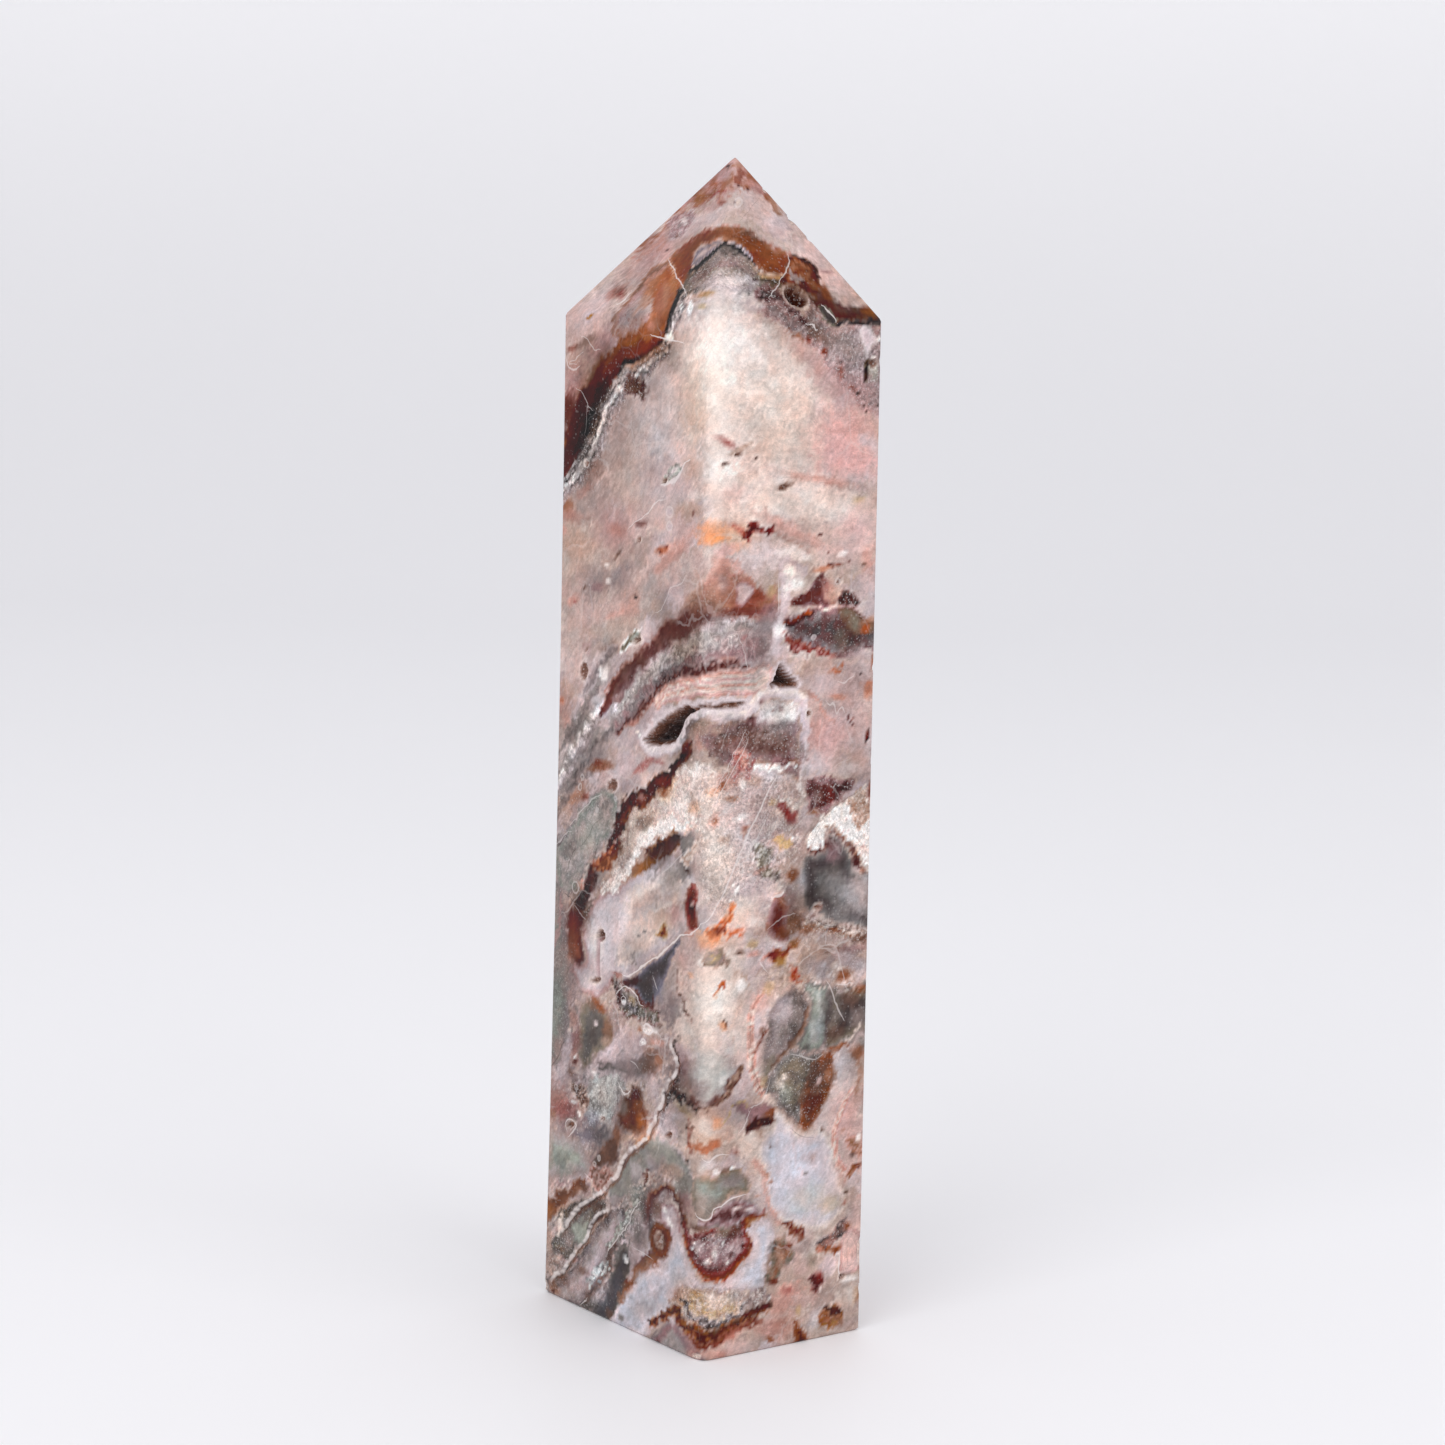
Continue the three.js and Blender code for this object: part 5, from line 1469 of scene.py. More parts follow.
        (11.4, 108, 2, 1.4, PALE_LILAC), (-2, 106, 2.8, 1.4, SAND, 0.8, 20),
        (1.6, 105.6, 2, 1, SAND, 0.7), (-3, 103.2, 1.4, 1.4, CLAY, 0.6, 40),
    ),
    Patch(((5.6, 106.4), (7.4, 106.9), (8.8, 107.8), (9.4, 108), (9.7, 106.4), (10.2, 105.4),
        (8.8, 105.1), (7, 105.6), (5.4, 105.4)), ((0, PLUM), (0.5, WINE)), wander=0.8, mottle=(DUSK, 0.35,
        0)),
    *ovals(Wash,
        (11.6, 105, 0.9, 0.35, BARK, 0.8, -10), (2.9, 104.8, 0.9, 0.5, BARK, 0.7),
        (14.6, 108.6, 0.5, 0.8, PLUM, 0.7, 40), (13, 108.4, 0.4, 0.3, MAROON),
        (10.5, 110, 0.5, 0.8, MAROON, 0.6, -30),
    ),
    Patch(((5.6, 102.4), (6.4, 103), (7.2, 101.8), (7.9, 101), (8.4, 100.2), (7.4, 99.8), (6.4, 101)),
        ((0, SALMON), (0.4, PEACH)), soft=0.3, wander=0.6, mottle=(RED, 0.35, 3)),
    *ovals(Wash,
        (17.4, 101.5, 1.2, 1, PALE_LILAC, 0.6), (17.4, 99.6, 1.4, 0.5, FAWN, 0.6),
    ),
    Vein(((4.2, 107.4, 0.05), (3.4, 105, 0.08), (2.6, 102, 0.05)), strength=0.3),
    Vein(((7.6, 105.2, 0.04), (5.6, 102.6, 0.09), (3.6, 99, 0.09), (0.4, 94, 0.05)), strength=0.6),
    # Pink crystal that hangs from the shelf, and the white frill beside it
    Patch(((5.8, 102.8), (7, 102.6), (8.2, 101.4), (9.2, 100.4), (8.6, 98.4), (7.4, 97.4), (6.4, 98),
        (5.6, 96.6), (4.6, 97.8), (5.8, 99.6), (4.8, 100.6)), ((0, ROSE), (0.6, PINK), (1.2, SALMON)),
        soft=0.4, wander=0.9, grain=Grain.CRYSTALS, mottle=(RED, 0.3, 3)),
    Wash(6.6, 102, (0.9, 0.5), SALMON),
    Band(((9.2, 99, 0.35), (11, 99.4, 0.5), (13, 99.1, 0.5), (15, 99.2, 0.55), (17.2, 98.8, 0.4)),
        ((-1, WHITE), (0.2, MILK), (1, PINK)), soft=0.4, wander=0.9, grain=Grain.CRYSTALS),
    # The dark speckled quartz over them
    Band(((1.6, 103, 1.4), (5, 104.4, 1.7), (9, 104.6, 1.9), (13, 104, 2), (17, 102.6, 2),
        (19, 101.2, 1.4)), ((-1, PLUM), (0, COCOA), (1, GREIGE)), soft=1.1, wander=1.0, strength=0.55,
        grain=Grain.SUGAR, mottle=(DOVE, 0.35, 3)),
    # The long grey lens left of the maroon arch, with its white rim
    Patch(((-25.4, 117), (-23.6, 118.6), (-22, 120), (-20.4, 120.8), (-19.2, 119.4), (-20.4, 118),
        (-22.4, 117.8), (-23.8, 116.6), (-25, 115.8)), ((-0.25, WHITE), (0.15, MILK), (0.4, OLIVE),
        (0.9, SAGE)), soft=0.25, wander=0.4),
    Band(((-26, 108.4, 1.2), (-24, 111.4, 1.5), (-21.6, 113.6, 1.3)), ((0, PLUM),), soft=0.9, wander=1.1,
        strength=0.6, mottle=(TAUPE, 0.4, 2)),
    # Rosy haze over the orange lens, and the soft halves of the maroon arch
    *ovals(Wash,
        (2.6, 128.4, 6, 3.2, CLAY, 0.45), (8, 125.2, 4, 1.6, RED, 0.3),
        (28.6, 126.4, 2, 1.1, MAROON, 0.6),
    ),
    Band(((-26, 109.6, 1.2), (-23.4, 112, 1.8), (-20, 114.8, 2.2), (-15, 118.6, 2.4), (-10, 121.4, 2.6),
        (-5, 123.6, 2.6), (0, 124.4, 2.4)), ((-1, DUSK), (0, PLUM), (1, COCOA)), soft=2.0, wander=1.0,
        strength=0.45),
    # White needles below it
    Band(((-25.4, 106.4, 0.7), (-21.4, 110.2, 1.0), (-17, 113.2, 1.1), (-13, 115.6, 1.2),
        (-9, 117.4, 1.2), (-4, 118.8, 1.2), (1, 119.6, 1.2), (6, 120.2, 0.9)), ((0, WHITE),), soft=0.8,
        wander=1.3, strength=0.4, grain=Grain.SILK, mottle=(SMOKE, 0.45, 3)),
    # Pale crystals under the cornered cavity
    *ovals(Wash,
        (13.4, 108, 3.6, 1.8, FROST, 0.55), (11.4, 109.4, 2, 0.8, WHITE, 0.5),
        (16.8, 107.6, 1.5, 1.5, WHITE, 0.5), (14, 106, 2.4, 0.7, SMOKE, 0.4),
    ),
)


HEART = (
    Streaks(((-49, 60), (-49, 104), (-38, 104), (-24, 92), (-30, 80), (-34, 66)),
        (Cloud(GREIGE, 40, 12, 3.6, 381, 0.0, 0.7), Cloud(SLATE, 44, 12, 1.3, 383, 0.35, 0.65),
        Cloud(PALE_LILAC, 40, 12, 1.2, 389, 0.3, 0.75), Cloud(FAWN, 36, 6, 1.6, 397, 0.6, 0.5)),
        grain=Grain.BROKEN),
    # Ground tones of the broken middle part
    *ovals(Wash,
        (-42, 96, 5, 5, DOVE), (-38, 94, 3, 2, SMOKE, 0.5), (-41, 97, 2, 3.4, PALE_LILAC, 0.6, -30),
        (-33, 98, 5, 1.6, GREIGE, 0.7, 20), (-24, 97, 6, 4, LILAC, 0.7, 20),
        (-14, 97, 4, 3, LILAC, 0.7, 30), (-22, 94, 4, 1.4, HAZE, 0.35, 15),
        (-43.5, 88, 4, 2.6, SAND, 0.9, 25), (-38, 90.6, 4, 1.6, FAWN, 0.75, 35),
        (-31, 96.4, 4.4, 1.0, RUST, 0.7, 12), (-32, 96.9, 1.6, 0.7, BRICK, 0.7),
        (-35.5, 90.6, 1.4, 0.7, BRICK, 0.7, 10), (-18, 98, 4, 0.8, RED, 0.5, 30),
        (-13.6, 99, 1.4, 0.5, RED, 0.4), (-27, 86, 3, 3, PEWTER, 0.8, 40),
        (-24, 76, 5, 1.6, CREAM, 0.7, 30), (-24, 78.6, 5, 1.6, BEIGE, 0.7, 25),
    ),
    # Grey-green strip and veined slate along the left edge
    Patch(((-48.5, 82), (-45, 81), (-43, 78), (-42.6, 73), (-42, 69), (-40.8, 63), (-39.6, 57),
        (-40.4, 50), (-42, 45), (-49, 42)), ((0, GREIGE), (1.4, PEWTER), (3, SAGE)), soft=0.9, wander=0.8,
        mottle=(TAUPE, 0.35, 2), grain=Grain.FAINT_SUGAR),
    Patch(((-44.5, 81.5), (-40.6, 84.6), (-37.4, 88), (-33, 91.4), (-28.6, 93), (-25.6, 91.6),
        (-25.4, 88), (-28, 84), (-31.6, 81.6), (-34.4, 79.6), (-37, 75.6), (-40.4, 72.6), (-44.6, 74.6),
        (-45.4, 78)), ((0, GREIGE), (1, SAGE), (2.4, PEWTER)), soft=0.5, wander=0.8, mottle=(DOVE, 0.45,
        1), grain=Grain.FAINT_SUGAR),
    *ovals(Wash,
        (-34, 84, 5, 2.2, SAGE, 0.6, 42), (-36, 79.5, 4, 1.6, DOVE, 0.6, 40),
        (-40.5, 81, 2.6, 1.4, SLATE, 0.4, 40),
    ),
    Vein(((-45, 80.4, 0.06), (-43.4, 82, 0.1), (-41.6, 83.5, 0.12), (-39.6, 84, 0.06)), strength=0.4),
    Vein(((-45, 80.2, 0.1), (-43.6, 81.4, 0.14), (-42.2, 83, 0.1)), white=False, strength=0.55),
    Vein(((-41.5, 76.6, 0.05), (-40, 79.2, 0.08), (-38, 82.2, 0.08), (-37.8, 84.6, 0.04)), white=False,
        strength=0.6),
    Vein(((-36.6, 82, 0.05), (-34.4, 83.6, 0.08), (-33, 85.6, 0.07), (-30, 87.6, 0.05)), white=False,
        strength=0.5),
    Vein(((-32.6, 79.8, 0.04), (-31.8, 82, 0.08), (-30.6, 84.4, 0.05)), white=False, strength=0.5),
    Vein(((-40.4, 85, 0.05), (-38, 86.7, 0.1), (-35.4, 88.9, 0.1), (-32.8, 90.6, 0.12),
        (-30.6, 91.4, 0.05)), strength=0.55),
    Vein(((-35, 88.2, 0.08), (-33.4, 90, 0.1), (-31, 90.8, 0.06)), white=False, strength=0.5),
    Vein(((-42.2, 72.8, 0.06), (-40, 72.4, 0.1), (-38, 71.4, 0.08)), white=False, strength=0.6),
    Bubble(-38.3, 74.3, 1.0, SAGE),
    Bubble(-37.2, 92.1, 0.55, PEWTER),
    Bubble(-36.4, 93.7, 0.5, PEWTER),
    Bubble(-26.2, 91.4, 0.45, HAZE),
    Bubble(-31.8, 88.7, 0.45, DOVE),
    # Dark red-brown band and its chain of dark patches
    Band(((-5.6, 101.8, 1.2), (-7.4, 99.8, 1.3), (-9.8, 97.6, 1.3), (-12.6, 95.8, 1.5), (-16, 93.9, 1.4),
        (-19.6, 91.8, 1.6), (-22.8, 90.2, 1.5), (-24.6, 87.6, 1.4), (-25.4, 84.8, 1.5), (-27, 82.4, 1.3)),
        ((-1, UMBER), (-0.4, UMBER), (0.1, BRICK), (0.6, RUST), (1, FAWN)), soft=0.4, wander=1.0,
        mottle=(BARK, 0.35, 0)),
    *ovals(Wash,
        (-15, 94.6, 3.4, 0.8, BARK, 0.4, 32), (-9, 98.4, 2.6, 0.7, BARK, 0.4, 50),
        (-6.4, 102.6, 1.4, 1.1, BRICK, 0.8, 20), (-13, 95.8, 1.6, 0.9, RUST, 0.7, 20),
        (-18.6, 92.6, 1, 0.6, ROSE, 0.7), (-24.9, 84.6, 0.5, 0.35, PINK, 0.9),
        (-26.3, 83.8, 0.4, 0.3, PINK, 0.9),
    ),
    Band(((-27, 82, 1.1), (-28.8, 80.3, 1.5), (-31, 79.2, 1.3), (-32.8, 78.6, 0.5)), ((-1, BRICK),
        (0, RUST), (1, RUST)), soft=0.5, wander=1.0, mottle=(PEACH, 0.25, 3), grain=Grain.FAINT_SPECKS),
    Patch(((-33.4, 78.8), (-32.2, 77.8), (-31.6, 76.4), (-32.8, 74.8), (-34.2, 72.6), (-35.6, 70.8),
        (-37.2, 70.4), (-38.6, 71.4), (-36.6, 73.6), (-35.4, 75.8), (-34.4, 77.4)), ((0, PLUM),
        (0.6, WINE), (1.3, BARK)), soft=0.5, wander=0.6, mottle=(MAROON, 0.3, 1)),
    *ovals(Wash,
        (-36.2, 74.7, 0.7, 0.6, SALMON, 0.9), (-36, 75.8, 0.7, 0.3, SALMON, 0.8, -20),
    ),
    Patch(((-39.6, 70.6), (-37.4, 70.4), (-35.6, 69.4), (-36.6, 66.6), (-35.6, 63.6), (-35.4, 62),
        (-37, 60.4), (-39, 61.4), (-40.6, 63.6), (-41.2, 66.4), (-40.8, 69)), ((0, PLUM), (1, MAROON),
        (2, BRICK)), soft=0.9, wander=0.5),
    *ovals(Wash,
        (-38.8, 66.8, 3.0, 5.4, BRICK, 0.75, -12), (-39.6, 63.4, 2.4, 3, FAWN, 0.5),
        (-41.6, 66, 1.2, 5, GREIGE, 0.7), (-40.8, 66.2, 0.5, 0.5, PINK), (-43, 60, 3, 4, PEWTER, 0.6),
    ),
    Vein(((-38.6, 71.1, 0.05), (-37, 70.2, 0.14), (-35.2, 69.3, 0.1)), strength=0.35),
    Band(((-43.2, 72, 0.3), (-42.8, 69, 0.3), (-43.8, 66, 0.5), (-44.8, 63, 0.6)), ((0, ROSE),), soft=0.4,
        strength=0.7),
    # Lilac shell round the chain
    Patch(((-36, 69), (-34, 70.6), (-31.6, 73.2), (-28.6, 74.4), (-25.6, 76), (-22, 78.4), (-19.4, 78),
        (-20, 73), (-22, 66), (-24.4, 61.4), (-28, 58.4), (-31, 56.4), (-34.6, 56.4), (-37.6, 57.6),
        (-38.8, 60.4), (-36.4, 60.6), (-34.6, 62.6), (-35.6, 65.6)), ((0, ROSE), (1, LILAC),
        (2.4, PALE_LILAC)), soft=0.7, wander=0.6),
    *ovals(Wash,
        (-31.5, 65.5, 2.6, 2.6, MILK), (-35.2, 57.8, 2.4, 1, PALE_LILAC, 0.8, 15),
        (-32, 75.5, 1.8, 1.2, GREIGE, 0.5),
    ),
    # White crystal mass
    Patch(((-8.4, 98.4), (-6.4, 99.8), (-3, 99.6), (0, 100.6), (2.4, 98), (2.8, 94), (2, 90),
        (-0.6, 87.4), (-3.2, 89), (-5.4, 88.2), (-6.6, 87.4), (-8.6, 88.4), (-10.4, 87.6), (-11.6, 86.4),
        (-13.6, 86.2), (-15.2, 84.8), (-16.8, 84.4), (-18.6, 82), (-20.6, 80), (-22.4, 78.2),
        (-25.4, 76.6), (-28.6, 75.2), (-30.8, 75), (-28.6, 77), (-26.6, 79.2), (-25.4, 81), (-24.6, 83),
        (-24.6, 85.4), (-22.6, 87.4), (-21, 89.6), (-18.4, 90.8), (-15.6, 92), (-13.6, 93.8),
        (-11.2, 94.6), (-9.8, 96.2)), ((0, SAND), (0.5, CREAM), (1.2, MILK), (2.6, CREAM)), wander=1.2,
        mottle=(PINK, 0.35, 3), grain=Grain.CRYSTALS),
    *ovals(Wash,
        (-2.5, 96, 4, 3, MILK, 0.6), (-12, 87.6, 3.4, 0.9, WHITE, 0.85, 15),
        (-18, 86.4, 2, 1.4, WHITE, 0.7, 30), (-19, 87.6, 1.6, 1, TAUPE, 0.5, 20),
        (-9.4, 90.8, 2.4, 1.6, PINK, 0.5), (-2, 91.4, 1.6, 0.4, CLAY, 0.6),
        (-4.4, 94.6, 0.7, 0.5, FAWN, 0.5), (-11.6, 91.6, 1.2, 0.9, DOVE, 0.6), (0, 92, 2, 5, CREAM, 0.6),
    ),
    # Shadowed amber-brown under it
    Patch(((-9.6, 88.2), (-8.2, 87.6), (-7.4, 86), (-8, 85), (-10, 84), (-12.6, 82.8), (-15, 81.4),
        (-17.6, 80.2), (-20.4, 78.6), (-21, 79.4), (-19.2, 80.8), (-17, 81.6), (-16.8, 84.2), (-15, 84.6),
        (-13.4, 86), (-11.8, 86.2), (-10.6, 87.4)), ((0, AMBER), (0.5, COCOA), (1.2, WINE)), soft=0.5,
        wander=0.8, mottle=(PLUM, 0.4, 1)),
    Band(((-11.6, 84.4, 0.6), (-14, 83, 0.8), (-16.4, 81.9, 0.7), (-18.6, 80.4, 0.5), (-20.6, 79, 0.3)),
        ((-1, UMBER), (0, AMBER), (1, OCHRE)), soft=0.5, wander=1.0),
    *ovals(Wash,
        (-9.2, 86.4, 1.5, 1.2, SMOKE, 0.6, 20), (-11, 84.6, 2.6, 1, DUSK, 0.7, 25),
    ),
    Patch(((-7.8, 87.2), (-6, 87.6), (-4.2, 88.2), (-2.9, 87.2), (-5, 85.2), (-6.8, 83.9), (-7.6, 85)),
        ((0, GREIGE), (0.8, PEWTER)), soft=0.3),
    # Smooth pale lozenge
    Patch(((-7.2, 83), (-5.6, 82.2), (-4, 81.6), (-3, 80.4), (-3.6, 78.6), (-5.4, 77.8), (-6, 75),
        (-5.6, 72.4), (-6.4, 71.2), (-9.4, 69.4), (-13, 66.8), (-17, 64.4), (-21, 61.8), (-24.6, 61.2),
        (-27, 63), (-27, 68), (-25, 73), (-22, 77.4), (-18, 79.6), (-14.6, 81.2), (-11.6, 82.8),
        (-9.4, 83.8)), ((0, LILAC), (1.4, PALE_LILAC), (3, CREAM), (5, BEIGE)), soft=0.8, wander=0.4,
        grain=Grain.CLEAR),
    Streaks(((-8, 83), (-4, 80), (-6, 72), (-12, 67), (-20, 62.4), (-26, 62), (-26, 70), (-21, 78),
        (-14, 81)), (Cloud(CREAM, 28, 12, 2.2, 301, 0.0, 0.6), Cloud(DOVE, 28, 10, 1.8, 303, 0.1, 0.7),
        Cloud(MILK, 28, 9, 1.1, 307, 0.5, 0.5)), soft=1.2),
    *ovals(Wash,
        (-20, 80, 5, 0.9, SAND, 0.7, 35), (-16, 76, 8, 1.0, TAUPE, 0.4, 28),
        (-9, 80.4, 4.5, 1.8, PEWTER, 0.7, 28), (-6.4, 82.2, 2.2, 1.1, SLATE, 0.55, -30),
        (-10, 77.4, 4, 1.2, DOVE, 0.8, 28), (-19, 69, 6, 3, BEIGE, 0.5, 30),
        (-18, 73.4, 6, 1, DOVE, 0.6, 28), (-25, 70, 3.5, 4.5, PALE_LILAC, 0.85, 20),
        (-28, 68, 3, 4, PALE_LILAC), (-8.4, 74, 2.6, 2.6, PINK), (-8.6, 74.4, 2, 1.6, ROSE, 0.5, 40),
        (-5.4, 81.8, 0.9, 0.4, BARK, 0.6, -20),
    ),
    Patch(((-13.8, 69.6), (-12.6, 69.4), (-11.2, 69.8), (-10.9, 71.4), (-11.6, 72.3), (-12.4, 71.2)),
        ((0, KHAKI), (0.5, AMBER), (0.9, UMBER)), soft=0.6, wander=0.5),
    *ovals(Wash,
        (-18.6, 69, 0.6, 0.2, SLATE, 0.7, 20), (-17.2, 69.9, 0.5, 0.25, SLATE, 0.6, 20),
    ),
    Vein(((-13.6, 79.6, 0.05), (-10.5, 81.6, 0.1), (-8, 83.6, 0.12), (-6, 85, 0.08)), strength=0.35,
        wander=0.1),
    Patch(((-7.2, 83.6), (-5.8, 84.8), (-4.4, 86.6), (-3.2, 87.4), (-2, 86.6), (-3, 84.6), (-4.2, 83.2),
        (-5.6, 82.4)), ((0, MILK), (0.6, SAND), (1.1, CREAM)), soft=0.3, wander=0.8),
    # Dark red oval on the front edge
    Patch(((-4.6, 79.6), (-3.2, 79.8), (-2.3, 78.8), (-2.5, 77.2), (-2.9, 76), (-2.6, 74.4), (-2.2, 73),
        (-3.2, 71.9), (-4.6, 72), (-5.4, 73.4), (-5.8, 75.4), (-5.8, 77.4)), ((0, CLAY), (0.6, RED),
        (1.3, MAROON)), soft=0.5, wander=0.5),
    *ovals(Wash,
        (-4, 75.6, 1, 1.5, WINE, 0.9), (-4, 75.9, 0.8, 0.4, BARK, 0.7), (-3.4, 73.4, 1.2, 0.9, BRICK),
        (-4.4, 78.4, 0.9, 0.8, BRICK, 0.7), (-3.9, 76.6, 0.6, 0.3, WHITE),
    ),
    Vein(((-4.4, 79.9, 0.06), (-2.9, 80, 0.1), (-1.9, 79, 0.1), (-2.3, 77.2, 0.06)), strength=0.5),
    # Smoky triangle under the white line
    Patch(((-7, 70.4), (-9, 69), (-11.6, 67), (-14.4, 65.2), (-17.6, 63.4), (-20.4, 61.4), (-23.4, 60.8),
        (-22.6, 59.6), (-20.4, 59.9), (-19, 59.4), (-17.8, 58), (-16, 57.2), (-14.6, 57.6), (-13.4, 59.2),
        (-12, 61.4), (-10.6, 64), (-9, 66.6), (-7.8, 68.6)), ((0, HAZE), (1, STORM), (2.2, SMOKE)),
        soft=0.4, wander=0.4),
    *ovals(Wash,
        (-20.5, 60.8, 2.2, 0.8, WINE, 0.8, 25), (-13, 61, 1.6, 2.4, HAZE, 0.6, 30),
    ),
    Band(((-19.6, 59.6, 0.25), (-18.4, 58.3, 0.35), (-16.8, 57.4, 0.4), (-15, 57.4, 0.3),
        (-13.8, 59, 0.2)), ((0, MAROON),), soft=0.4, strength=0.8),
    Wash(-23, 60.2, (1.2, 0.6), MAROON, 0.7, 20),
    Vein(((-14.6, 62.6, 0.08), (-14, 61.6, 0.12), (-13.5, 60.7, 0.08)), wander=0.05, strength=0.6),
    Vein(((-1, 74.4, 0.05), (-3, 72, 0.14), (-5, 71.3, 0.12), (-6.6, 71, 0.12), (-8, 70, 0.14),
        (-9.6, 69, 0.16), (-11.4, 67.6, 0.14), (-13.2, 66.2, 0.2), (-15.2, 65.3, 0.12), (-17.4, 64, 0.16),
        (-19.4, 62.9, 0.14), (-21.4, 61.8, 0.16), (-23.6, 61.4, 0.08))),
    Band(((-5.6, 71.5, 0.3), (-4, 71.5, 0.4), (-2.4, 72.1, 0.3)), ((0, SALMON),), soft=0.3, strength=0.8),
    # Shiny crystals below it
    Patch(((-26, 61), (-24.4, 60.4), (-22.8, 59.4), (-20.8, 59.2), (-19, 58.4), (-16.4, 56.8),
        (-13.4, 56.6), (-12.6, 55), (-15, 54.6), (-18.4, 54.6), (-21.4, 54.4), (-23.6, 55), (-25.4, 56.4),
        (-26.4, 58.6)), ((0, MAROON), (0.5, OLIVE), (1.6, SMOKE)), wander=1.1, mottle=(PALE_LILAC, 0.4,
        3), grain=Grain.CRYSTALS),
    Vein(((-25.6, 57.6, 0.06), (-24.4, 59, 0.16), (-22, 59.6, 0.12), (-19.6, 58.8, 0.16),
        (-18.4, 57.6, 0.1), (-17.4, 57.2, 0.05)), wander=0.5),
    Vein(((-24.2, 57.4, 0.06), (-23.2, 56.4, 0.2), (-22.6, 57.4, 0.12), (-23.4, 58, 0.06)), wander=0.4),
    Vein(((-17.6, 53.6, 0.08), (-16, 54.2, 0.2), (-14.4, 53.4, 0.16), (-15.8, 52.6, 0.2),
        (-17.4, 53.2, 0.08)), wander=0.4),
    Vein(((-18.2, 50.4, 0.06), (-17.4, 51.6, 0.18), (-16.6, 50.8, 0.1), (-17.8, 50.2, 0.06)), wander=0.3),
    *ovals(Wash,
        (-24.8, 57.4, 0.8, 1.6, WINE), (-20.8, 57.6, 1.2, 0.8, KHAKI, 0.6),
        (-24.2, 57, 1.2, 1.2, WINE, 0.7), (-23, 56.8, 0.8, 0.4, WHITE, 0.9, -20),
        (-18, 56, 1.2, 0.6, OLIVE, 0.7), (-15.6, 53.2, 2.2, 0.6, WHITE, 0.85, 5),
        (-17.2, 50.8, 0.8, 0.4, WHITE), (-18.2, 53, 0.6, 0.4, FAWN),
        (-12.6, 54.6, 1.1, 0.5, COCOA, 0.6, 20), (-13, 51.6, 2.4, 0.8, SALMON, 0.6),
        (-25, 61.2, 1.6, 0.5, CLAY),
    ),
    # Brown specks in a chain
    Band(((-8, 64.8, 0.3), (-7.6, 63.2, 0.35), (-7.2, 61.6, 0.25), (-6.4, 60.6, 0.5), (-5.6, 59.2, 0.3),
        (-4.8, 58, 0.5), (-4.2, 57.4, 0.3)), ((0, COCOA),), soft=0.3, wander=1.3, strength=0.85,
        mottle=(ROSE, 0.45, 3)),
    *ovals(Wash,
        (-5.6, 58.4, 0.7, 0.4, BARK, 0.7, -20), (-5.4, 66.5, 2, 3, PINK),
        (-1.6, 67.2, 1, 0.6, MILK, 0.9), (-4, 64.6, 0.9, 0.5, PEACH, 0.6), (-1, 69.6, 3, 1, SALMON, 0.5),
        (-9.6, 62, 1.8, 4.2, DOVE, 0.8, -20), (-9.2, 58.6, 2.4, 3, GREIGE, 0.75),
        (-6, 54.4, 3, 2.2, CREAM),
    ),
)

